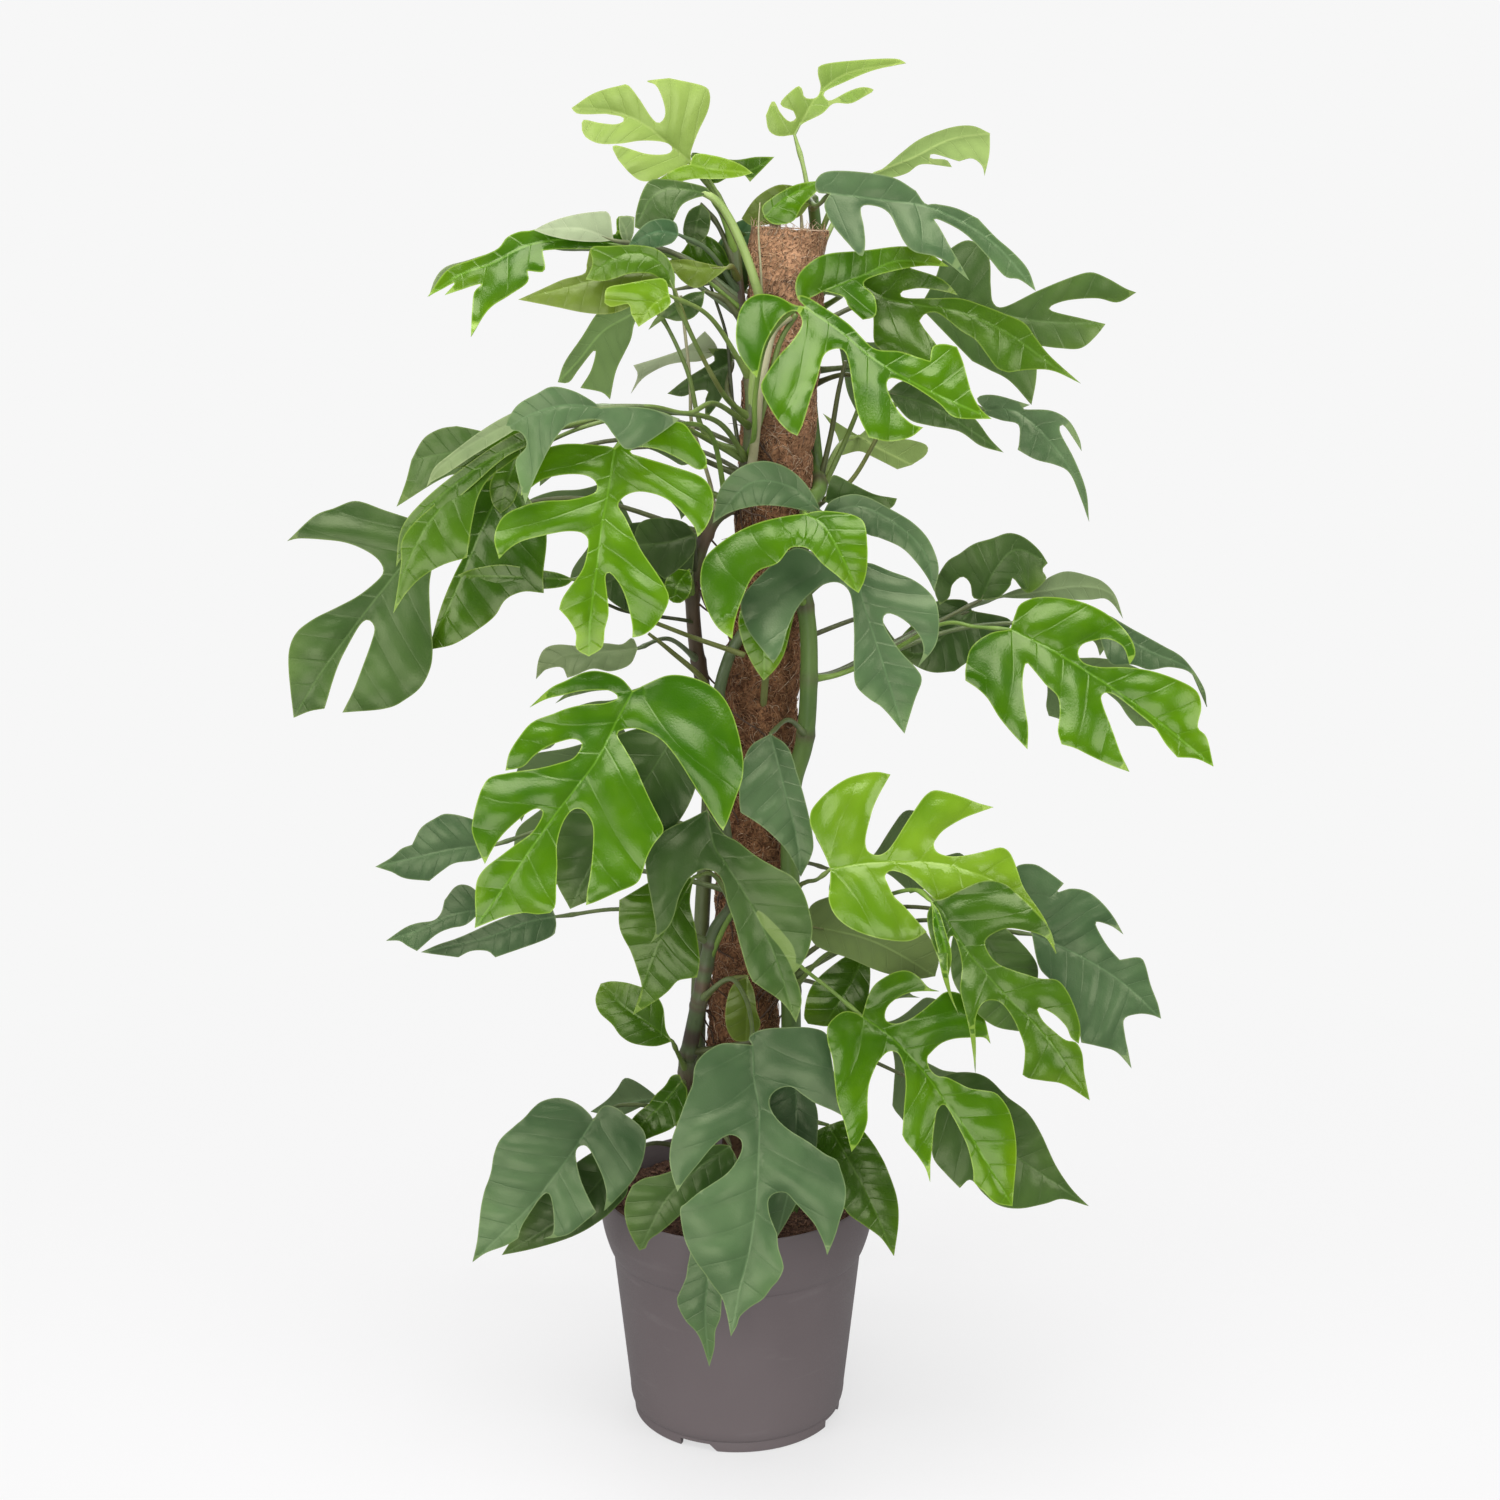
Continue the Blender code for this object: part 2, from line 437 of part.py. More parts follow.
               "-130 470, -134 455, -134 440, -135 425, -136 408, *-140 402,"
               "-150 401, -160 402, -175 399, -190 393"),
    leaf("low_star", "front", 440, 150, tone="dark", tilt=0.3, fold=0.15,
         stalk="-14 470 80, -22 492 120",
         rib="-22 482, -17 455, -8 440, 10 410, 28 370, 45 315",
         left="-35 475, -50 468, -62 459, -68 449, -67 430, -63 405, -61 388,"
              "*-65 378, -52 390, -47 400, -43 415, -37 427, -30 434, -23 436,"
              "-15 433, -10 425, -7 410, -2 395, 3 375, 8 357, *12 348, 20 342,"
              "30 335, 38 327",
         right="-10 464, 0 458, 15 446, 30 437, 42 430, 50 418, 55 402, 57 388,"
               "54 372, 48 360, *43 354, 44 365, 42 375, 35 385, 28 393, 20 401,"
               "15 403, 18 395, 25 385, 33 375, 40 363, 45 350, 48 340, 49 330"),
    leaf("low_glossy", "front", 420, 128, tilt=0.2,
         rib="-32 430, -48 400, -62 370, -79 321",
         left="-50 428, -63 427, -75 420, *-88 412, -88 390, -80 372, -76 360,"
              "-72 345, -73 335",
         right="-35 410, -31 390, -28 365, *-30 351, -38 350, -45 348, -52 340,"
               "-62 332"),
    leaf("low_behind", "front", 510, 112, tone="dark", tilt=0.3,
         rib="-45 540, -70 500, -100 455, -125 405",
         left="-65 545, -90 538, -112 520, -130 490, -136 460, -136 430",
         right="-28 530, -30 500, -45 470, -70 445, -95 420"),
    leaf("low_centre_grey", "right", 545, 112, tone="mid", tilt=0.3, fold=0.2,
         rib="25 540, 35 500, 45 460, 48 430",
         left="10 530, 3 510, 2 490, *3 480, 18 470, 30 459, 39 448",
         right="38 530, 45 510, 52 485, 57 460, 56 447"),
    leaf("far_left_a", "front", 470, 122, tone="dark", tilt=0.15,
         rib="-180 455, -210 452, -240 445, -270 438",
         left="-185 468, -197 475, -215 479, -225 475, -235 468, *-242 455,"
              "-250 452, -258 445",
         right="-192 444, -210 441, -220 435, *-230 427, -248 429, -258 434"),
    leaf("far_left_b", "front", 430, 102, tone="dark", tilt=0.15,
         rib="-190 405, -215 400, -240 388, -264 380",
         left="-192 415, -200 423, -210 423, *-219 412, -222 402, -228 396,"
              "-240 394, -250 390",
         right="-203 393, -215 390, -226 385, *-241 372, -248 376, -254 380"),
    leaf("far_left_c", "front", 390, 84, tone="dark", tilt=0.2,
         rib="-136 399, -160 394, -190 382, -238 371",
         left="-140 406, -155 405, -180 396, -208 383, -225 377",
         right="-136 390, -142 382, *-182 367, -188 372, -200 372, *-210 367,"
               "-225 369"),
    leaf("low_round", "front", 285, 60, tone="mid", tilt=0.2, stalk="-44 288 40",
         rib="-49 300, -68 315, -88 330, -103 346",
         left="-54 310, -56 328, -64 340, -74 344, -84 347, -95 348",
         right="-62 296, -78 298, -88 304, -95 314, -104 323, -107 334"),
    leaf("low_right_glossy", "right", 400, 170, tone="bright", tilt=0.4,
         stalk="46 420 60, 52 426 110, 60 428 150",
         rib="70 436, 95 440, 130 442, 160 438, 190 428, 215 412, 235 390,"
             "241 370",
         left="66 447, 60 460, 55 470, 55 480, 60 488, 70 498, 82 506, 95 510,"
              "105 511, *114 509, 108 498, 102 485, 98 470, 96 458, 98 450,"
              "105 447, 112 450, 118 458, 125 470, 133 483, 140 493, 147 497,"
              "158 495, 170 491, 180 487, *191 484, 180 480, 168 475, 155 467,"
              "149 460, 147 455, 150 449, 160 446, 172 447, 185 450, 197 453,"
              "203 450, 207 443, 211 432, 216 420, 232 396",
         right="70 425, 69 412, 74 400, 84 391, 97 385, 112 381, 130 380,"
               "*143 387, 132 400, 125 408, 118 415, 113 425, 111 431, 116 435,"
               "128 431, 140 421, *150 411, 168 416, 190 415, 212 402, 230 386"),
    leaf("low_right_large", "right", 380, 205, tilt=0.35, fold=0.15,
         stalk="48 395 60, 90 408 120, 130 420 180",
         rib="148 412, 160 393, 175 370, 190 352, 205 335, 225 315, 245 290,"
             "270 252",
         left="155 413, 168 420, 185 427, 200 425, 212 415, 225 402, 235 390,"
              "*240 376, 230 384, 218 388, 205 390, 195 387, 187 380, 190 370,"
              "197 362, 208 357, 220 353, 230 350, 242 349, 250 340, 257 325,"
              "261 310, *260 298, 254 303, 250 312, 240 322, 228 327, 232 317,"
              "240 309, 250 301, 258 299, 263 290, 265 275",
         right="143 400, 146 382, 152 366, 156 350, 162 334, *168 322, 163 336,"
               "160 352, 159 368, 160 381, 163 384, 167 375, 170 360, 169 342,"
               "172 328, 176 312, 179 295, *182 274, 182 295, 181 315, 183 325,"
               "187 331, 192 333, 200 331, 208 321, 214 309, 219 295, 219 282,"
               "*218 273, 223 270, 235 268, 250 265"),
    leaf("low_right_rolled", "right", 380, 212, tone="bright", tilt=0.2, fold=0.4,
         stalk="48 395 60, 90 408 120, 130 420 184",
         rib="146 411, 152 392, 157 374, 160 352",
         left="147 400, 148 388, 153 368",
         right="152 403, 157 388, 162 369"),
    leaf("low_right_grey", "right", 365, 152, tone="dark", tilt=0.3, fold=0.15,
         rib="222 385, 255 370, 290 348, 322 318",
         left="208 425, 209 438, 222 440, 233 434, *245 425, 240 418, 250 421,"
              "262 419, 273 411, 283 399, *291 385, 281 392, 270 395, 272 388,"
              "280 375, *289 365, 303 367, 308 362, 313 345, 319 330",
         right="228 360, 238 348, 250 333, 258 317, *262 299, 275 296, 288 292,"
               "296 284, *301 278, 298 292, 295 305, 294 318, 305 322, 315 321"),
    leaf("low_right_bright", "front", 372, 150, tone="bright", tilt=0.35,
         stalk="0 405 55, 22 390 80, 45 363 110, 70 342 135",
         rib="95 320, 115 305, 130 290, 145 272, 160 250, 175 230, 190 205,"
             "213 165",
         left="99 335, 104 345, 113 352, 122 356, 130 356, 138 351, 145 343,"
              "*153 340, 138 340, 128 338, 118 332, 113 325, 113 317, 120 314,"
              "130 317, 140 324, 150 333, 160 340, 175 335, 187 320, *193 298,"
              "188 303, 178 303, 165 302, 155 298, 147 290, 145 286, 147 278,"
              "153 272, 160 271, 168 267, 178 262, 190 260, 198 258, 205 250,"
              "210 240, 214 222, 215 205, 214 185",
         right="90 323, 82 324, 75 320, 69 312, 69 300, 73 285, 75 265, 77 250,"
               "82 235, *88 210, 95 220, 100 235, 100 250, 101 265, 106 280,"
               "112 289, 117 292, 123 290, 127 280, 129 265, 128 245, *127 224,"
               "130 218, 138 208, 145 197, *149 185, 149 200, 150 215, 151 230,"
               "153 243, 158 249, 163 243, 170 230, 177 215, 182 195, 183 185,"
               "190 178, 200 168"),
    leaf("low_right_behind", "front", 300, 108, tone="dark", tilt=0.3,
         rib="150 262, 190 225, 230 195, 272 165",
         left="160 273, 178 275, 192 270, 207 255, 222 243, 233 226, 245 200,"
              "258 180",
         right="152 240, 150 220, 151 205, 160 193, *172 180, 180 187, 190 176,"
               "202 166, 218 163, 238 167, 252 171"),
    leaf("low_inner_dark", "right", 350, 88, tilt=0.2,
         rib="98 376, 88 350, 66 312",
         left="92 372, 78 365, 57 345, 51 322, *54 314",
         right="101 353, 98 325, *92 308, 80 312"),
    leaf("low_under", "right", 385, 108, tone="dark", under=True, tilt=0.2,
         rib="52 392, 90 384, 118 372, 150 352",
         left="58 410, 90 418, 118 412, 140 390, 152 368",
         right="60 376, 85 366, 110 355, 135 350"),
    leaf("low_right_dark", "right", 372, 140, tone="dark", tilt=0.2,
         rib="178 402, 192 370, 205 340, 214 308",
         left="200 392, 225 365, 227 345, 224 325",
         right="163 385, 163 350, 180 325, 196 312"),
    leaf("bottom_big", "front", 345, 148, tone="dark", tilt=0.3, fold=0.12,
         stalk="-6 350 66, 6 336 88, 11 316 120",
         rib="12 297, 13 270, 17 245, 17 220, 16 190, 14 160, 10 130, 3 100,"
             "-5 55",
         left="0 298, -12 298, -25 290, -32 280, -34 265, -38 255, -45 235,"
              "-50 220, -52 205, -50 190, *-46 177, -40 187, -30 200, -20 213,"
              "-12 221, -5 224, 2 221, 4 214, 0 203, -8 192, -20 183, -30 176,"
              "-40 167, -44 163, -43 150, -40 135, -33 120, -25 108, -18 97,"
              "-12 88, -9 78, -7 68",
         right="9 303, 18 309, 35 311, 55 311, 68 306, 71 292, 75 270, 80 252,"
               "*88 235, 75 243, 60 250, 50 257, 42 263, 33 262, 26 256, 25 248,"
               "30 238, 40 228, 55 218, 68 208, 77 203, 80 195, 84 180, 83 165,"
               "80 155, 76 140, *70 124, 67 135, 60 150, 52 160, 45 168, 38 176,"
               "30 176, 25 172, 24 165, 26 155, *31 142, 32 130, 35 120, 36 112,"
               "32 103, 27 97, 20 87, 10 80, 2 72, 0 65"),
    leaf("bottom_sheath", "front", 340, 60, tone="olive", tilt=0.1,
         rib="8 352, 8 325, 7 300",
         left="-3 345, -8 330, -8 312, -2 301",
         right="13 340, 15 325, 18 313, 12 303"),
    leaf("bottom_left_grey", "front", 240, 92, tone="dark", tilt=0.35, fold=0.15,
         stalk="-60 245 55, -90 248 78",
         rib="-110 236, -130 205, -160 165, -206 118",
         left="-113 241, -120 248, -130 253, -140 254, -150 251, -157 245,"
              "-163 238, -172 230, -182 220, -187 208, -190 192, -195 178,"
              "-198 165, -200 150, -202 135",
         right="-105 245, -100 248, -92 246, -85 240, -75 232, -70 222, -72 205,"
               "-78 190, -87 178, -97 167, *-103 161, -101 175, -104 190,"
               "-110 205, -115 214, -120 215, -124 210, -123 198, -120 185,"
               "-114 170, *-109 160, -118 152, -130 142, -140 139, *-150 138,"
               "-143 142, -142 155, -143 168, -146 176, -152 172, -160 160,"
               "-167 148, *-170 138, -180 132, -195 126"),
    leaf("bottom_left_olive", "front", 225, 66, tone="olive", tilt=0.3,
         rib="-92 205, -115 175, -145 148, -183 124",
         left="-100 215, -125 200, -150 175, -170 145",
         right="-84 180, -95 163, -110 150, -125 141, -140 135, -160 129"),
    leaf("bottom_left_under", "front", 230, -16, tone="dark", under=True,
         rib="-60 254, -78 251, -112 243",
         left="-68 261, -78 268, -86 270, -92 261, -100 252",
         right="-75 246, -88 240, -100 240"),
    leaf("bottom_left_glossy", "front", 255, 60, tilt=0.3,
         rib="-42 268, -58 248, -75 230, -88 205",
         left="-44 273, -50 272, -55 264, -62 257, -68 249, -78 240, -84 230,"
              "-87 217",
         right="-38 260, -40 245, -47 232, -54 227, -70 220, -80 212"),
    leaf("bottom_front_left", "front", 265, 112, tone="dark", tilt=0.3,
         rib="-5 215, -28 198, -55 170, -76 128",
         left="-15 216, -28 211, -45 197, -59 191, -72 188, *-81 182, -86 170,"
              "-87 157, -83 142",
         right="0 200, -12 185, -30 172, -40 162, -50 152, -60 143, -68 137,"
               "*-71 130"),
    leaf("bottom_tip", "front", 250, 126, tilt=0.2,
         rib="-15 150, -22 110, -25 75, -22 29",
         left="-32 140, -38 118, -40 105, *-47 88, -46 80, -40 68, -33 60,"
              "-28 50",
         right="-5 130, -8 110, -12 88, -13 72, -17 60, -18 45"),
    leaf("bottom_right_dark", "front", 235, 96, tone="dark", tilt=0.3,
         rib="70 232, 85 205, 105 165, 122 123",
         left="85 236, 98 226, 110 208, 118 190, 124 170, 125 150",
         right="60 225, 62 205, 75 180, 85 160, 100 148, 112 138"),
    leaf("bottom_behind", "front", 270, 112, tone="mid", tilt=0.2,
         rib="45 275, 45 225, 40 180, 31 139",
         left="28 262, 22 230, 20 190, 24 160",
         right="60 250, 62 225, 58 195, 48 172, 40 155"),
]

# Leaves of the back stem: copies of front leaves, smaller and straight behind them,
# as name, leaf copied, joint height, depth and size.
BACK_LEAVES = [
    ("back_mid_left", "mid_bright", 715, -95, 0.80),
    ("back_low_left", "low_left_big", 530, -100, 0.75),
    ("back_low_right", "low_right_glossy", 420, -95, 0.75),
    ("back_low_right_down", "low_right_bright", 340, -104, 0.75),
    ("back_centre", "centre_dark", 650, -88, 0.85),
    ("back_high_right", "right_bright", 835, -98, 0.80),
    ("back_high_left", "left_olive", 850, -78, 0.85),
    ("back_right", "right_big", 600, -88, 0.75),
    ("back_bottom", "bottom_big", 300, -130, 0.75),
    ("back_left", "mid_folded", 735, -84, 0.75),
]


def clear_scene():
    """Remove every object."""
    for thing in list(bpy.data.objects):
        bpy.data.objects.remove(thing, do_unlink=True)


def material(name, colour, roughness, metallic=0.0):
    """A plain finish for one sub-part."""
    finish = bpy.data.materials.new(name)
    finish.use_nodes = True
    shader = finish.node_tree.nodes["Principled BSDF"]
    shader.inputs["Base Color"].default_value = (*colour, 1.0)
    shader.inputs["Roughness"].default_value = roughness
    shader.inputs["Metallic"].default_value = metallic
    return finish


def mesh_object(name, shape, finish=None):
    """Turn a bmesh into an object with its faces pointing out."""
    bmesh.ops.recalc_face_normals(shape, faces=shape.faces)
    mesh = bpy.data.meshes.new(name)
    shape.to_mesh(mesh)
    shape.free()
    thing = bpy.data.objects.new(name, mesh)
    bpy.context.scene.collection.objects.link(thing)
    if finish:
        mesh.materials.append(finish)
    return thing


def apply_modifiers(thing):
    """Keep the evaluated mesh and drop the modifiers."""
    graph = bpy.context.evaluated_depsgraph_get()
    mesh = bpy.data.meshes.new_from_object(thing.evaluated_get(graph))
    thing.modifiers.clear()
    thing.data = mesh


def drop_crumbs(thing):
    """Keep the largest connected piece, without the slivers that a join can leave."""
    shape = bmesh.new()
    shape.from_mesh(thing.data)
    left = set(shape.faces)
    pieces = []
    while left:
        piece = set()
        reached = [left.pop()]
        while reached:
            face = reached.pop()
            piece.add(face)
            near = {other for edge in face.edges for other in edge.link_faces}
            reached += near & left
            left -= near
        pieces.append(piece)
    pieces.sort(key=len)
    crumbs = [face for piece in pieces[:-1] for face in piece]
    bmesh.ops.delete(shape, geom=crumbs, context="FACES")
    shape.to_mesh(thing.data)
    shape.free()


def cut(thing, cutters):
    """Take the cutters out of a solid, one after the other."""
    for cutter in cutters:
        step = thing.modifiers.new("cut", "BOOLEAN")
        step.operation = "DIFFERENCE"
        step.solver = "EXACT"
        step.object = cutter
    apply_modifiers(thing)
    drop_crumbs(thing)
    for cutter in cutters:
        bpy.data.objects.remove(cutter, do_unlink=True)


def fuse(name, parts, finish):
    """Join overlapping closed parts into one solid."""
    body = parts[0]
    body.name = name
    group = bpy.data.collections.new(name + "_repeats")
    bpy.context.scene.collection.children.link(group)
    for part in parts[1:]:
        bpy.context.scene.collection.objects.unlink(part)
        group.objects.link(part)
    step = body.modifiers.new("join", "BOOLEAN")
    step.operation = "UNION"
    step.solver = "MANIFOLD"
    step.operand_type = "COLLECTION"
    step.collection = group
    apply_modifiers(body)
    drop_crumbs(body)
    for part in list(group.objects):
        bpy.data.objects.remove(part, do_unlink=True)
    bpy.data.collections.remove(group)
    body.data.materials.clear()
    body.data.materials.append(finish)
    return body


def turned(name, profile, sides, finish=None):
    """Turn a closed profile of (radius, z) points about the Z axis."""
    shape = bmesh.new()
    rings = []
    for radius, z in profile:
        if radius == 0.0:
            rings.append([shape.verts.new((0.0, 0.0, z))])
            continue
        ring = []
        for i in range(sides):
            turn = 2 * math.pi * i / sides
            ring.append(shape.verts.new((radius * math.cos(turn),
                                         radius * math.sin(turn), z)))
        rings.append(ring)
    for low, high in zip(rings, rings[1:]):
        bridge(shape, low, high)
    return mesh_object(name, shape, finish)


def bridge(shape, low, high):
    """Join two rings, either of which may be a single point."""
    count = max(len(low), len(high))
    for i in range(count):
        j = (i + 1) % count
        if len(low) == 1:
            shape.faces.new((low[0], high[i], high[j]))
        elif len(high) == 1:
            shape.faces.new((low[i], low[j], high[0]))
        else:
            shape.faces.new((low[i], low[j], high[j], high[i]))


def cylinder(name, radius, low, high, sides=16):
    """A closed cylinder between two points."""
    shape = bmesh.new()
    span = high - low
    turn = span.to_track_quat("Z", "Y").to_matrix().to_4x4()
    place = Matrix.Translation((low + high) / 2) @ turn
    bmesh.ops.create_cone(shape, cap_ends=True, segments=sides, radius1=radius,
                          radius2=radius, depth=span.length, matrix=place)
    return mesh_object(name, shape)


def inner_profile():
    """The pot's inside, from the floor's edge up to the lip, as (radius, z)."""
    return [(FOOT_RADIUS - POT_WALL, POT_FLOOR),
            (BODY_LOW_RADIUS - POT_WALL, POT_FLOOR + 0.010),
            (NECK_RADIUS - POT_WALL, RIM_LOW_HEIGHT - 0.004),
            (RIM_LOW_RADIUS - POT_WALL, RIM_LOW_HEIGHT + 0.004),
            (RIM_RADIUS - 0.0062, RIM_LOW_HEIGHT + 0.016),
            (RIM_RADIUS - POT_WALL, POT_HEIGHT - 0.014)]


def make_pot():
    """Rim band, tapered body, foot ring with notches, and drain holes."""
    outside = [(0.0, 0.0), (PAD_RADIUS, 0.0),
               (PAD_RADIUS + 0.003, CHANNEL_HEIGHT),
               (FOOT_RADIUS - 0.006, CHANNEL_HEIGHT),
               (FOOT_RADIUS - 0.004, 0.0), (FOOT_RADIUS, 0.0),
               (FOOT_RADIUS, FOOT_HEIGHT), (BODY_LOW_RADIUS - 0.0012, 0.011),
               (BODY_LOW_RADIUS, 0.021), (NECK_RADIUS, RIM_LOW_HEIGHT - 0.002),
               (RIM_LOW_RADIUS, RIM_LOW_HEIGHT), (0.1000, 0.145),
               (0.1034, 0.157), (RIM_RADIUS, POT_HEIGHT - 0.014),
               (RIM_RADIUS - 0.0004, POT_HEIGHT - 0.003),
               (RIM_RADIUS - 0.0010, POT_HEIGHT)]
    lip = [(RIM_RADIUS - POT_WALL - 0.0004, POT_HEIGHT)]
    inside = list(reversed(inner_profile())) + [(0.0, POT_FLOOR)]
    finish = material("grey_plastic", (0.165, 0.140, 0.142), 0.55)
    pot = turned("pot", outside + lip + inside, POT_SIDES, finish)
    cutters = []
    for i in range(NOTCHES):
        turn = math.radians(FIRST_NOTCH_DEGREES + i * 360.0 / NOTCHES)
        cutters.append(notch_cutter(turn))
        middle = turn + math.pi / NOTCHES
        at = Vector((math.cos(middle), math.sin(middle), 0.0)) * DRAIN_RING_RADIUS
        cutters.append(cylinder("drain", DRAIN_RADIUS, at - Vector((0, 0, 0.01)),
                                at + Vector((0, 0, 0.02)), 12))
    cut(pot, cutters)
    return pot


def notch_cutter(turn):
    """A block that opens the foot ring to the channel behind it."""
    shape = bmesh.new()
    size = Matrix.Diagonal((0.016, NOTCH_WIDTH, 2 * NOTCH_HEIGHT, 1.0))
    place = Matrix.Rotation(turn, 4, "Z") @ Matrix.Translation((FOOT_RADIUS, 0, 0))
    bmesh.ops.create_cube(shape, size=1.0, matrix=place @ size)
    return mesh_object("notch", shape)


def pole_point(z):
    """The point of the pole's axis at height z."""
    share = (z - POLE_AT.z) / (POLE_TOP_AT.z - POLE_AT.z)
    return POLE_AT.lerp(POLE_TOP_AT, share)


def make_soil(stem_feet):
    """Soil that fills the pot, with a plain hole for the stake and each stem."""
    wall = [(r - GAP - 0.0001, z) for r, z in inner_profile() if z < SOIL_LEVEL]
    low = [(0.0, POT_FLOOR + GAP), (wall[0][0], POT_FLOOR + GAP)]
    edge = wall[-1][0] + (SOIL_LEVEL - wall[-1][1]) * 0.2
    rings = [(edge * share, SOIL_LEVEL) for share in (0.75, 0.5, 0.25)]
    profile = low + wall[1:] + [(edge, SOIL_LEVEL - 0.002)] + rings
    profile.append((0.0, SOIL_LEVEL))
    soil = turned("soil", profile, POT_SIDES, material("coir_soil",
                                                        (0.10, 0.050, 0.030), 0.95))
    chance = random.Random(4)
    for vert in soil.data.vertices:
        if vert.co.z > SOIL_LEVEL - 0.0005:
            vert.co.z += chance.uniform(-SOIL_BUMP, SOIL_BUMP)
    cutters = [cylinder("stake_hole", STAKE_RADIUS + 2 * GAP,
                        pole_point(STAKE_FOOT_Z - GAP), pole_point(HOLE_TOP_Z),
                        STAKE_HOLE_SIDES)]
    for foot, radius in stem_feet:
        hole_radius = (radius * MM + GAP) / math.cos(math.pi / STEM_HOLE_SIDES)
        low_end = Vector((foot.x, foot.y, STEM_FOOT_Z - GAP))
        high_end = Vector((foot.x, foot.y, HOLE_TOP_Z))
        cutters.append(cylinder("stem_hole", hole_radius, low_end, high_end,
                                STEM_HOLE_SIDES))
    cut(soil, cutters)
    return soil


def make_stake():
    """The bare stake that carries the coir."""
    stake = cylinder("stake", STAKE_RADIUS, pole_point(STAKE_FOOT_Z),
                     pole_point(STAKE_TOP_Z), 20)
    stake.data.materials.append(material("stake_wood", (0.16, 0.09, 0.05), 0.8))
    return stake


def make_coir():
    """The coir sleeve, rough outside and ragged at both ends."""
    shape = bmesh.new()
    chance = random.Random(7)
    span = COIR_TOP_Z - COIR_FOOT_Z
    side = (POLE_TOP_AT - POLE_AT).to_track_quat("Z", "Y")
    outer = []
    for k in range(COIR_RINGS):
        middle = pole_point(COIR_FOOT_Z + span * k / (COIR_RINGS - 1))
        at_end = k in (0, COIR_RINGS - 1)
        ring = []
        for i in range(COIR_SIDES):
            turn = 2 * math.pi * i / COIR_SIDES
            radius = COIR_RADIUS + chance.uniform(-COIR_ROUGH, COIR_ROUGH)
            lift = chance.uniform(-COIR_RAGGED, COIR_RAGGED) if at_end else 0.0
            across = Vector((radius * math.cos(turn), radius * math.sin(turn), lift))
            ring.append(shape.verts.new(middle + side @ across))
        outer.append(ring)
    bore = []
    for z in (COIR_FOOT_Z, COIR_TOP_Z):
        ring = []
        for i in range(COIR_SIDES):
            turn = 2 * math.pi * i / COIR_SIDES
            radius = (STAKE_RADIUS + GAP) / math.cos(math.pi / COIR_SIDES)
            across = Vector((radius * math.cos(turn), radius * math.sin(turn), 0.0))
            ring.append(shape.verts.new(pole_point(z) + side @ across))
        bore.append(ring)
    for low, high in zip(outer, outer[1:]):
        bridge(shape, low, high)
    bridge(shape, bore[0], bore[1])
    bridge(shape, outer[0], bore[0])
    bridge(shape, outer[-1], bore[1])
    return mesh_object("coir_sleeve", shape, material("coir", (0.23, 0.13, 0.07), 0.95))


def read_points(text):
    """Read "x z, *x z" into (x, z, sharp) rows."""
    rows = []
    for item in text.split(","):
        values = item.strip()
        sharp = values.startswith("*")
        x, z = values.lstrip("*").split()
        rows.append((float(x), float(z), sharp))
    return rows


def read_route(text):
    """Read "x z depth" triples into points in space."""
    return [in_front(*(float(v) for v in item.split()))
            for item in text.split(",") if item.strip()]


def in_front(x, z, depth):
    """The point that VIEW sees at (x, z) and that lies depth in front of the plane."""
    on_plane = Vector((x * MM, 0.0, z * MM))
    share = (-VIEW.y - depth * MM) / -VIEW.y
    return VIEW + (on_plane - VIEW) * share


def smooth_route(points, steps):
    """A curve through the points, with steps pieces from each to the next."""
    ends = [2 * points[0] - points[1]] + points + [2 * points[-1] - points[-2]]
    out = []
    for i in range(1, len(ends) - 2):
        a, b, c, d = ends[i - 1:i + 3]
        for k in range(steps):
            t = k / steps
            out.append(0.5 * (2 * b + (c - a) * t + (2 * a - 5 * b + 4 * c - d) * t * t
                              + (3 * b - a - 3 * c + d) * t * t * t))
    out.append(points[-1])
    return out


def tube(name, route, radii, sides):
    """A closed tube along a route, with a radius in millimetres at each point."""
    shape = bmesh.new()
    across = Vector((1.0, 0.0, 0.0))
    rings = []
    for i, point in enumerate(route):
        ahead = route[min(i + 1, len(route) - 1)] - route[max(i - 1, 0)]
        ahead.normalize()
        across = (across - ahead * across.dot(ahead)).normalized()
        other = ahead.cross(across)
        ring = []
        for k in range(sides):
            turn = 2 * math.pi * k / sides
            offset = across * math.cos(turn) + other * math.sin(turn)
            ring.append(shape.verts.new(point + offset * radii[i] * MM))
        rings.append(ring)
    for low, high in zip(rings, rings[1:]):
        bridge(shape, low, high)
    shape.faces.new(rings[0])
    shape.faces.new(rings[-1])
    bmesh.ops.triangulate(shape, faces=shape.faces)
    return mesh_object(name, shape)


def thin_out(points, slack):
    """Drop outline points that lie within slack of the line between others."""
    if len(points) < 3:
        return points
    first = Vector(points[0][:2])
    last = Vector(points[-1][:2])
    worst, index = 0.0, 0
    for i in range(1, len(points) - 1):
        off = line_distance(Vector(points[i][:2]), first, last)
        if points[i][2]:
            off += slack
        if off > worst:
            worst, index = off, i
    if worst <= slack:
        return [points[0], points[-1]]
    return thin_out(points[:index + 1], slack)[:-1] + thin_out(points[index:], slack)


def line_distance(point, first, last):
    """The distance from a point to a stretch of line."""
    span = last - first
    share = max(0.0, min(1.0, (point - first).dot(span) / max(span.length_squared, 1e-9)))
    return (point - first - span * share).length


def rib_place(point, rib):
    """How far a point lies from the rib, and how far along the rib it is."""
    best = (1e9, 0.0)
    run = 0.0
    for first, last in zip(rib, rib[1:]):
        span = last - first
        share = (point - first).dot(span) / span.length_squared
        share = max(0.0, min(1.0, share))
        off = (point - first - span * share).length
        if off < best[0]:
            best = (off, run + share * span.length)
        run += span.length
    return best[0], best[1] / run


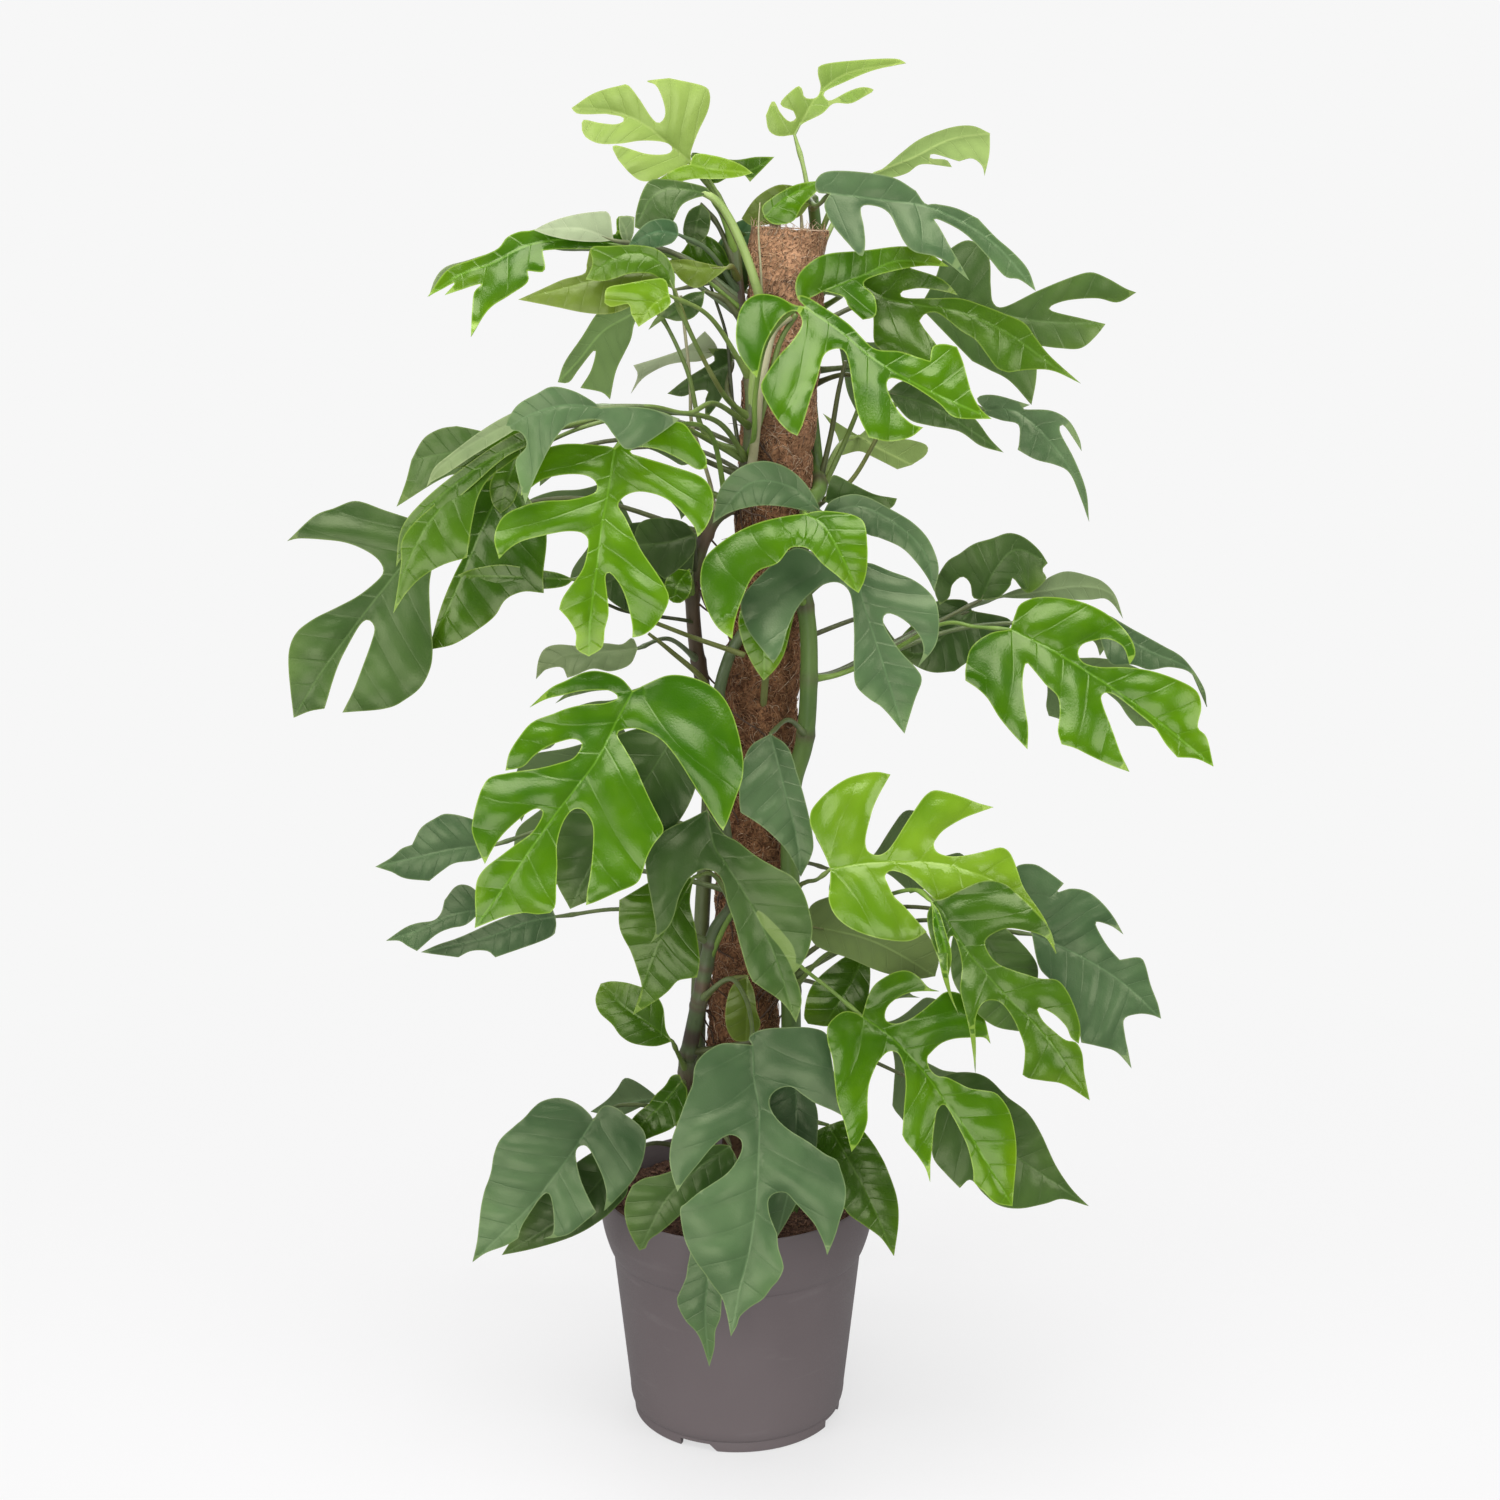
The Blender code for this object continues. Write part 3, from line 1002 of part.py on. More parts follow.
def blade_depth(row, rib, point):
    """How far in front of the plane the blade lies at a point of its picture."""
    off, along = rib_place(point, rib)
    base = rib[0]
    return (row["depth"] + row["tilt"] * (base.y - point.y)
            + row["side"] * (point.x - base.x) + row["fold"] * off
            - row["curl"] * (off / 50.0) ** 2
            + row["arch"] * 4 * along * (1 - along))


def inside(point, outline):
    """Whether a point lies within a closed outline."""
    hit = False
    for a, b in zip(outline, outline[1:] + outline[:1]):
        if (a.y > point.y) != (b.y > point.y):
            if point.x < (b.x - a.x) * (point.y - a.y) / (b.y - a.y) + a.x:
                hit = not hit
    return hit


def grid_points(outline, rib, spacing):
    """Points inside the outline, clear of its edge and of the rib."""
    xs = [p.x for p in outline]
    zs = [p.y for p in outline]
    found = []
    row = 0
    z = min(zs) + spacing / 2
    while z < max(zs):
        x = min(xs) + spacing * (0.5 if row % 2 else 0.25)
        while x < max(xs):
            point = Vector((x, z))
            if inside(point, outline):
                edge = min(line_distance(point, a, b)
                           for a, b in zip(outline, outline[1:] + outline[:1]))
                if edge > spacing * 0.4 and rib_place(point, rib)[0] > spacing * 0.4:
                    found.append(point)
            x += spacing
        z += spacing * 0.87
        row += 1
    return found


def blade(row):
    """A leaf's blade: one outline cut into triangles, alike on both faces."""
    rib = [Vector((x, z)) for x, z, _ in read_points(row["rib"])]
    ends = [(rib[0].x, rib[0].y, True)], [(rib[-1].x, rib[-1].y, True)]
    halves = []
    for side in ("left", "right"):
        edge = ends[0] + read_points(row[side]) + ends[1]
        halves.append([Vector(p[:2]) for p in thin_out(edge, OUTLINE_SLACK)])
    outline = halves[0] + halves[1][-2:0:-1]
    count = len(outline)
    tip = len(halves[0]) - 1
    points = outline + rib[1:-1] + grid_points(outline, rib, BLADE_SPACING)
    edges = [(i, (i + 1) % count) for i in range(count)]
    chain = [0] + list(range(count, count + len(rib) - 2)) + [tip]
    edges += list(zip(chain, chain[1:]))
    flat, _, faces, *_ = delaunay_2d_cdt(points, edges, [], 1, 1e-4)
    return thick_sheet(row, rib, flat, faces)


def thick_sheet(row, rib, flat, faces):
    """Bend a flat triangle net along the sight lines and give it both faces."""
    net = bmesh.new()
    for point in flat:
        net.verts.new(in_front(point.x, point.y, blade_depth(row, rib, point)))
    net.verts.ensure_lookup_table()
    for face in faces:
        net.faces.new([net.verts[i] for i in face])
    loose = [v for v in net.verts if not v.link_faces]
    bmesh.ops.delete(net, geom=loose, context="VERTS")
    net.normal_update()
    net.verts.index_update()
    shape = bmesh.new()
    front = [shape.verts.new(v.co + v.normal * BLADE_HALF) for v in net.verts]
    back = [shape.verts.new(v.co - v.normal * BLADE_HALF) for v in net.verts]
    for face in net.faces:
        ids = [v.index for v in face.verts]
        shape.faces.new([front[i] for i in ids])
        shape.faces.new([back[i] for i in reversed(ids)])
    for edge in net.edges:
        if len(edge.link_faces) == 1:
            a, b = (v.index for v in edge.verts)
            shape.faces.new((front[a], front[b], back[b]))
            shape.faces.new((front[a], back[b], back[a]))
    net.free()
    return mesh_object(row["name"], shape)


def stem_at(route, z):
    """The stem's point nearest to a height, in millimetres."""
    return min(route, key=lambda point: abs(point.z - z * MM))


def petiole(row, stem_route):
    """The stalk from the stem to a short way along the blade's rib."""
    rib = [Vector((x, z)) for x, z, _ in read_points(row["rib"])]
    base = in_front(*rib[0], blade_depth(row, rib, rib[0]))
    share = min(0.5, PETIOLE_RUN / (rib[1] - rib[0]).length)
    inner = rib[0].lerp(rib[1], share)
    end = in_front(*inner, blade_depth(row, rib, inner))
    start = stem_at(stem_route, row["joint"])
    via = read_route(row["stalk"])
    if not via:
        rise = Vector((0.0, 0.0, 0.12 * (base - start).length))
        via = [start.lerp(base, 0.5) + rise]
    route = smooth_route([start] + via + [base], 1 if row["stalk"] else 2) + [end]
    last = len(route) - 1
    radii = [PETIOLE_RADIUS + (PETIOLE_END_RADIUS - PETIOLE_RADIUS) * i / last
             for i in range(last + 1)]
    radii = [radius * row["thick"] for radius in radii]
    return tube(row["name"] + "_petiole", route, radii, PETIOLE_SIDES)


def shrunk(text, base, size):
    """The same points drawn nearer to the blade's base."""
    rows = []
    for x, z, sharp in read_points(text):
        star = "*" if sharp else ""
        rows.append(f"{star}{base[0] + (x - base[0]) * size:.1f} "
                    f"{base[1] + (z - base[1]) * size:.1f}")
    return ", ".join(rows)


def back_leaves():
    """The back stem's leaves, which face away and hang away from the viewer."""
    rows = []
    for name, source, joint, depth, size in BACK_LEAVES:
        row = dict(next(item for item in LEAVES if item["name"] == source))
        base = read_points(row["rib"])[0]
        for part in ("rib", "left", "right"):
            row[part] = shrunk(row[part], base, size)
        row.update(name=name, stem="back", joint=joint, depth=depth, stalk="",
                   tilt=-0.3, fold=-0.12, curl=-3.0, arch=-5.0, under=True)
        rows.append(row)
    return rows


def make_stems():
    """Four leafy stems, each fused with the petioles and blades that it carries."""
    finish = material("leaf_green", (0.09, 0.20, 0.045), 0.4)
    feet = []
    for name, (text, low_radius, high_radius) in STEMS.items():
        points = read_route(text)
        foot = points[0].copy()
        foot.z = STEM_FOOT_Z
        route = [foot, foot.lerp(points[0] + Vector((foot.x - points[0].x, 0, 0)), 0.5)]
        route += smooth_route(points, 2)
        last = len(route) - 1
        radii = [low_radius + (high_radius - low_radius) * i / last
                 for i in range(last + 1)]
        parts = [tube(name + "_stem", route, radii, STEM_SIDES)]
        for row in LEAVES + back_leaves():
            if row["stem"] == name:
                parts.append(petiole(row, route))
                parts.append(blade(row))
        fuse(name + "_leafy_stem", parts, finish)
        feet.append((foot, low_radius))
    return feet


def main():
    clear_scene()
    feet = make_stems()
    make_pot()
    make_soil(feet)
    make_stake()
    make_coir()


main()
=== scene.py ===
"""Finish for the mini monstera: fine leaves, stems, coir pole, soil and pot.

Metres, +Z up, -Y towards the viewer. The plant's own readings are in millimetres.
"""

import math
import random

import bmesh
import bpy
import numpy as np
from mathutils import Matrix, Vector
from mathutils.geometry import delaunay_2d_cdt


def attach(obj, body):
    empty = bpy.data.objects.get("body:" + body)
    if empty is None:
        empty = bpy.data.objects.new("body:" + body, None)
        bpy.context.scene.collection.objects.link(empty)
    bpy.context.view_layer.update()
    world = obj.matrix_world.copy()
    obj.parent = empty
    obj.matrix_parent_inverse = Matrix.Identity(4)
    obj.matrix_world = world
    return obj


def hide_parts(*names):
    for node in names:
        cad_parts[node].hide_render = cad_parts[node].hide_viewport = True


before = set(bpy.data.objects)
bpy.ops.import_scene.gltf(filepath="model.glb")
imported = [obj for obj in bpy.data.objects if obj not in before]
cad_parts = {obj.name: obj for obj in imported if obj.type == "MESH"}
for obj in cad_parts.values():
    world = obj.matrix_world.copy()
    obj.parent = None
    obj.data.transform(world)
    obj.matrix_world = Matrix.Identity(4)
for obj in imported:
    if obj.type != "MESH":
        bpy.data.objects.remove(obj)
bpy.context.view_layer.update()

# One millimetre in metres.
MM = 0.001

# Camera: the viewpoint that the leaf outlines were read from.
VIEW = Vector((0.010, -1.725, 0.937))
CAMERA_DROP = 0.233
CAMERA_LENS = 57.6
FRAME_WIDTH = 36.0

# Pot. Heights are above the floor.
POT_HEIGHT = 0.184
RIM_RADIUS = 0.105
RIM_LOW_RADIUS = 0.0972
RIM_LOW_HEIGHT = 0.135
NECK_RADIUS = 0.0957
BODY_LOW_RADIUS = 0.0840
FOOT_RADIUS = 0.0803
FOOT_HEIGHT = 0.008
POT_WALL = 0.002
POT_FLOOR = 0.009
PAD_RADIUS = 0.034
CHANNEL_HEIGHT = 0.006
NOTCHES = 4
NOTCH_WIDTH = 0.028
NOTCH_HEIGHT = 0.0058
FIRST_NOTCH_DEGREES = -112.0
POT_SIDES = 144
CORNER_STEPS = 6
CORNER_DEPTH = 0.0034
CORNER_HEIGHT = 0.0130
CORNER_TOP = 0.0215
FLARE_STEPS = 14
POT_SHARP = math.radians(38)

# Soil.
SOIL_LEVEL = 0.168
SOIL_RINGS = 40
SOIL_SIDES = 120
SOIL_SLACK = 0.0006
CHIPS = 1500
CHIP_REACH = 0.096

# Pole, which leans to the right.
POLE_AT = Vector((0.006, 0.0, 0.333))
POLE_TOP_AT = Vector((0.037, 0.0, 0.896))
STAKE_RADIUS = 0.011
COIR_RADIUS = 0.0262
COIR_FOOT_Z = 0.297
COIR_TOP_Z = 0.903
WIND_PITCH = 0.046
WIND_SWELL = 0.0025
COIR_INSET = 0.0018
LUMP = 0.0006
RIPPLE = 0.0003
SEAM_WIDTH = 0.0016
SEAM_LIP = 0.0008
SEAM_DEPTH = 0.0020
COIR_RINGS = 220
COIR_SIDES = 72
COIR_SLACK = 0.0004
COIR_GRAIN = (-0.0005, 0.0003)
COIR_RAGGED = (-0.003, 0.002)
CURL_PIECES = 5
LOOSE_ENDS = 110
ROOTLETS = 150
ROOTLET_STEP = 0.0022
ROOTLET_RADII = [0.32, 0.3, 0.28, 0.26, 0.22, 0.18, 0.12]

# Leaves: half the blade's thickness in metres, then lengths in millimetres.
BLADE_HALF = 0.0003
BLADE_SPACING = 3.6
EDGE_SPACING = 2.6
RIB_GROOVE = 1.5
LOBE_DOME = 2.0
QUILT = 1.0
DOME_REACH = 9.0
QUILT_REACH = 6.0
CURL_REACH = 50.0
LOBE_SWAY = 0.9
BLADE_SHARP = math.radians(55)

# Side veins: least gap, how many pairs, how they slant and bend, how far the two
# sides are out of step.
VEIN_GAP = 11.0
VEIN_PAIRS = 8.5
VEIN_SLANT = 0.62
VEIN_BEND = 0.0022
VEIN_STAGGER = 0.12

# Slow waves over a blade as (height, length).
WAVES = ((0.9, 80.0), (0.3, 38.0))

# The midrib's half width, and in metres its groove above and its ridge below.
RIB_WIDTH = 1.1
RIB_DIP = 0.00045
RIB_RIDGE = 0.0009

# Petioles, in millimetres: the sheath at the stem and the swollen joint at the blade.
PETIOLE_RADIUS = 2.1
PETIOLE_END_RADIUS = 1.2
PETIOLE_RUN = 14.0
PETIOLE_SIDES = 10
SHEATH_SWELL = 1.3
SHEATH_LENGTH = 12.0
JOINT_SWELL = 0.55
JOINT_LENGTH = 5.0
JOINT_BACK = 9.0

# Stems: the ring at each node, its half height in metres and swelling in millimetres.
STEM_SIDES = 18
STEM_FOOT_Z = 0.150
NODE_HALF = 0.0028
NODE_SWELL = 0.9

# Light of the room, of its dark reflection and of the paper as the camera sees it.
ROOM_LIGHT = 0.43
ROOM_GLOSS = 0.05
PAPER_TONE = 0.93
FLOOR_RADIUS = 9.0

# Lamps as name, place, size in metres and power in watts, and the point they face.
LAMP_AIM = Vector((0.0, 0.0, 0.5))
LAMPS = [
    ("top_light", (-0.1, -0.9, 2.9), 1.7, 60.0),
    ("left_light", (-2.0, -1.7, 1.8), 1.4, 27.0),
    ("right_light", (2.0, -1.6, 1.6), 1.4, 27.0),
    ("front_low_light", (-0.5, -2.4, 0.55), 1.5, 26.0),
    ("back_light", (0.2, 1.9, 2.0), 1.4, 16.0),
]

# The tint of a leaf's gloss, a yellowish green.
LEAF_SHEEN = (0.95, 1.0, 0.66, 1.0)

# Leaf tones: deep and light green, young tip, vein and margin, whose pale colour is partly painted
# light; then the roughness.
UNDERSIDE_GREY = (0.20, 0.27, 0.13)
LEAF_TONES = {
    "bright": (((0.027, 0.098, 0.001), (0.075, 0.185, 0.001), (0.200, 0.340, 0.006),
                (0.150, 0.330, 0.025), (0.330, 0.490, 0.070)), 0.22),
    "mid": (((0.024, 0.074, 0.002), (0.056, 0.134, 0.004), (0.130, 0.240, 0.010),
             (0.105, 0.215, 0.025), (0.230, 0.340, 0.050)), 0.25),
    "dark": (((0.023, 0.062, 0.009), (0.054, 0.112, 0.020), (0.120, 0.220, 0.020),
              (0.095, 0.175, 0.045), (0.190, 0.270, 0.070)), 0.36),
    "pale": (((0.180, 0.290, 0.045), (0.270, 0.380, 0.080), (0.330, 0.450, 0.090),
              (0.360, 0.480, 0.120), (0.400, 0.500, 0.130)), 0.36),
    "olive": (((0.064, 0.110, 0.006), (0.115, 0.175, 0.014), (0.160, 0.230, 0.020),
               (0.170, 0.250, 0.045), (0.250, 0.310, 0.070)), 0.34),
    # Painted sheen in part: grey is a greyed, paler green, partly the leaves' own colour and partly
    # the broad grey gloss of glossy leaves.
    "grey": (((0.100, 0.155, 0.062), (0.178, 0.242, 0.105), (0.220, 0.300, 0.100),
              (0.220, 0.290, 0.130), (0.300, 0.370, 0.170)), 0.40),
    "blue": (((0.024, 0.074, 0.024), (0.050, 0.125, 0.045), (0.080, 0.190, 0.060),
              (0.090, 0.190, 0.090), (0.190, 0.280, 0.120)), 0.38),
    "fresh": (((0.085, 0.190, 0.004), (0.170, 0.300, 0.015), (0.260, 0.400, 0.030),
               (0.270, 0.420, 0.060), (0.380, 0.520, 0.110)), 0.20),
    # Painted light: silver is a pale grey-green that lifts leaves lying in shade, with painted sheen
    # for the broad grey gloss.
    "silver": (((0.260, 0.320, 0.180), (0.360, 0.420, 0.260), (0.380, 0.440, 0.260),
                (0.400, 0.460, 0.280), (0.420, 0.460, 0.280)), 0.45),
    # Painted sheen in part, as for grey: slate is a greyed green, partly the leaves' own colour and
    # partly painted sheen and painted light on low leaves.
    "slate": (((0.038, 0.084, 0.030), (0.084, 0.152, 0.060), (0.120, 0.230, 0.060),
               (0.120, 0.210, 0.090), (0.210, 0.290, 0.110)), 0.36),
    # Painted shade: deep is a near-black green for leaves that sit inside and behind the plant, where
    # shade falls.
    "deep": (((0.010, 0.034, 0.002), (0.022, 0.062, 0.004), (0.050, 0.110, 0.010),
              (0.050, 0.100, 0.015), (0.110, 0.170, 0.040)), 0.44),
}

# Petiole tones: deep and light.
STALK_TONES = {
    "bright": ((0.130, 0.230, 0.030), (0.210, 0.330, 0.060)),
    "mid": ((0.110, 0.170, 0.030), (0.170, 0.240, 0.060)),
    "dark": ((0.075, 0.085, 0.030), (0.120, 0.140, 0.050)),
    "pale": ((0.220, 0.320, 0.080), (0.320, 0.420, 0.130)),
    "olive": ((0.120, 0.140, 0.030), (0.190, 0.220, 0.060)),
    "grey": ((0.140, 0.190, 0.090), (0.200, 0.260, 0.130)),
    "blue": ((0.070, 0.110, 0.050), (0.110, 0.160, 0.070)),
    "fresh": ((0.130, 0.200, 0.040), (0.210, 0.290, 0.070)),
    "silver": ((0.110, 0.130, 0.060), (0.170, 0.190, 0.090)),
    "slate": ((0.090, 0.130, 0.040), (0.150, 0.190, 0.070)),
    # Painted shade: the deep stalks sit inside the plant, where shade falls.
    "deep": ((0.040, 0.050, 0.020), (0.080, 0.095, 0.035)),
    "dry": ((0.300, 0.290, 0.150), (0.450, 0.430, 0.260)),
}

# Woody bark and aerial roots.
BARK_DEEP = (0.050, 0.034, 0.022)
BARK_LIGHT = (0.150, 0.105, 0.068)
ROOT_TONES = ((0.060, 0.032, 0.018), (0.110, 0.065, 0.040))

# Seams of the coir sleeve as (height, half rise round the pole) in metres.
SEAMS = [(0.848, 0.003), (0.790, 0.016), (0.741, 0.009), (0.668, 0.020), (0.596, 0.012),
         (0.548, 0.024), (0.497, 0.010), (0.430, 0.018), (0.362, 0.014)]

# Loose stalks as name, stem, tone, first and last radius in millimetres, and route.
LOOSE_STALKS = [
    ("crown_arc_sheath", "left", "pale", 2.2, 4.0,
     "-61,931,40 -41,933,42 -21,928,44 -9,918,44 3,896,44 13,869,42 17,850,40 14,810,38 11,776,34"),
    ("crown_thin_sheath", "left", "dry", 0.4, 1.5,
     "17,922,34 16,901,34 18,865,34 16,830,32 10,800,32"),
    ("pole_front_sheath", "left", "dry", 2.4, 3.6,
     "39,843,44 27,833,46 21,811,46 17,791,46 15,770,46 12,743,44 8,722,34"),
    ("pole_front_stalk", "left", "mid", 1.8, 2.2,
     "43,845,42 33,829,43 27,811,43 20,780,40 11,750,34"),
    ("left_dry_stalk", "left", "dry", 1.1, 1.6,
     "-39,858,10 -33,801,12 -32,770,12 -26,749,12 -18,722,10 -14,695,14"),
    ("left_dark_stalk", "left", "deep", 1.0, 1.6,
     "-18,865,4 -7,831,6 -4,801,10 -2,777,16 2,750,26"),
    ("middle_front_stalk", "left", "olive", 1.3, 2.2,
     "-64,625,66 -59,623,62 -31,612,50 -8,604,44 6,599,42"),
    ("coir_front_stalk", "front", "olive", 2.8, 2.4,
     "20,612,42 22,596,38 21,578,33 20,564,26 19,552,14"),
    ("middle_left_sheath", "left", "olive", 1.2, 3.4,
     "-64,615,40 -48,602,34 -24,580,20 -18,560,4 -19,530,-16"),
    ("middle_dark_stalk", "left", "deep", 1.2, 1.6,
     "-95,637,20 -78,631,10 -38,625,-6 -28,622,-16"),
    ("crown_green_stalk", "right", "mid", 1.8, 2.6,
     "70,926,-2 63,909,-6 56,890,-14 54,868,-28"),
    ("crown_dry_sheath_one", "right", "dry", 0.4, 2.4,
     "44,928,-2 46,912,-6 47,896,-8 50,880,-20"),
    ("crown_dry_sheath_two", "right", "dry", 0.4, 2.0,
     "27,918,-6 29,906,-8 32,894,-12 40,878,-26"),
    ("right_upright_one", "right", "dark", 1.5, 2.2,
     "78,812,10 73,790,4 68,760,-6 60,725,-8"),
    ("right_upright_two", "right", "mid", 1.4, 2.2,
     "96,806,14 88,780,6 78,755,-4 63,722,-2"),
    ("right_upright_three", "right", "olive", 1.3, 2.0,
     "112,782,16 98,752,10 82,726,4 62,712,4"),
]

# Crumbly finishes: deep and light tone, size of grain, and what else they set.
CRUMBS = {
    "coir_core": dict(deep=(0.100, 0.040, 0.018), light=(0.340, 0.170, 0.080),
                      scale=190.0, top=(0.620, 0.350, 0.200), grain=2.8),
    "coir_fibre": dict(deep=(0.290, 0.140, 0.070), light=(0.540, 0.305, 0.170),
                       scale=260.0, top=(0.760, 0.480, 0.280)),
    "coir_pale_fibre": dict(deep=(0.520, 0.330, 0.210), light=(0.74, 0.56, 0.40),
                            scale=200.0),
    "soil_crumb": dict(deep=(0.060, 0.030, 0.020), light=(0.130, 0.066, 0.042),
                       scale=220.0),
    "soil_chip": dict(deep=(0.110, 0.056, 0.034), light=(0.230, 0.130, 0.080),
                      scale=160.0),
    "stake_wood": dict(deep=(0.10, 0.055, 0.030), light=(0.17, 0.10, 0.06),
                       scale=60.0, relief=0.4),
}

# The pot's plastic: two tones and its scuffs.
PLASTIC_TONES = ((0.122, 0.099, 0.102), (0.140, 0.115, 0.118))
SCUFF_TONE = (0.26, 0.235, 0.235)

# Heights between which the coir turns from brown to a paler tan, partly its own paler top fibres and
# partly painted light where the pole rises clear of the leaves' shade.
COIR_PALER_HEIGHTS = (0.70, 0.87)

# Woody stretches of each stem as (height, half length) in metres.
WOODY = {
    "right": [(0.700, 0.004)],
    "front": [(0.357, 0.005), (0.315, 0.007), (0.270, 0.020), (0.440, 0.006)],
    "left": [(0.600, 0.075), (0.690, 0.012), (0.860, 0.012)],
    "back": [(0.450, 0.060), (0.700, 0.030)],
}
# Above this height the nodes neither swell nor get a bark ring, and the stems grow no aerial roots.
YOUNG_WOOD = 0.850

# Each stem's deep and light tone.
STEM_TONES = {
    "right": ((0.080, 0.150, 0.030), (0.140, 0.230, 0.050)),
    "front": ((0.075, 0.110, 0.040), (0.120, 0.160, 0.070)),
    "left": ((0.080, 0.110, 0.035), (0.120, 0.150, 0.055)),
    "back": ((0.070, 0.090, 0.035), (0.110, 0.130, 0.050)),
}

# The pot's inner wall as (radius, height), from the rim down.
INNER_WALL = [
    (RIM_RADIUS - POT_WALL - 0.0006, POT_HEIGHT - 0.014),
    (RIM_RADIUS - 0.0062, RIM_LOW_HEIGHT + 0.016),
    (RIM_LOW_RADIUS - POT_WALL, RIM_LOW_HEIGHT + 0.004),
    (NECK_RADIUS - POT_WALL, RIM_LOW_HEIGHT - 0.004),
    (BODY_LOW_RADIUS - POT_WALL, POT_FLOOR + 0.010),
    (FOOT_RADIUS - POT_WALL, POT_FLOOR),
]

# Each stem as "x,z,depth" points from the soil up, with its radius in millimetres
# at the soil and at the tip. Right and front stems pass in front of the pole.
STEMS = {
    "right": ("40,172,12 42,230,16 41,330,26 40,430,31 41,497,32 51,539,31 53,610,31 46,669,32 "
              "53,708,24 60,722,2 57,745,-22 52,800,-34 54,850,-36 56,900,-30 54,925,-14", 8.2, 4.0),
    "front": ("-38,172,22 -38,275,24 -37,289,25 -32,315,29 -28,335,33 -24,357,36 -20,375,38 "
              "-15,390,39 -1,412,40 -6,440,41 -12,500,40 -14,560,39 -6,596,34 6,618,16", 7.0, 4.0),
    "left": ("-24,188,-22 -30,280,-24 -26,400,-26 -20,500,-26 -24,570,-24 -30,610,-18 -31,655,-4 "
             "-18,695,18 4,720,32 11,776,34 8,820,30 2,860,22 -2,905,14", 6.5, 4.0),
    "back": ("16,200,-34 20,333,-42 26,500,-42 34,700,-42 30,800,-42 26,880,-40 30,925,-26", 6.5, 4.0),
}

# Leaves. Every outline is written in millimetres on the upright plane through the
# pole's foot, as seen from VIEW: x to the right, z up, "x,z" pairs parted by spaces.
# A star marks a sharp corner. left and right run from the blade's base to its tip
# and leave out both ends, which are the ends of rib. depth is how far the base lies
# in front of that plane, so a blade keeps its outline at any depth. tilt, fold, curl
# and arch bend the blade: nearer as it hangs, halves forward, edges back, middle
# forward. under marks a blade that shows its underside. joint is the height of its
# node on the stem, and stalk lists points "x,z,depth" between the stem and the blade.


def leaf(name, stem, joint, depth, rib, left, right, **shape):
    """One row of the leaf table."""
    row = dict(tilt=0.25, fold=0.12, curl=3.0, arch=5.0, stalk="", under=False,
               tone="mid")
    row.update(name=name, stem=stem, joint=joint, depth=depth, rib=rib,
               left=left, right=right)
    row.update(shape)
    return row


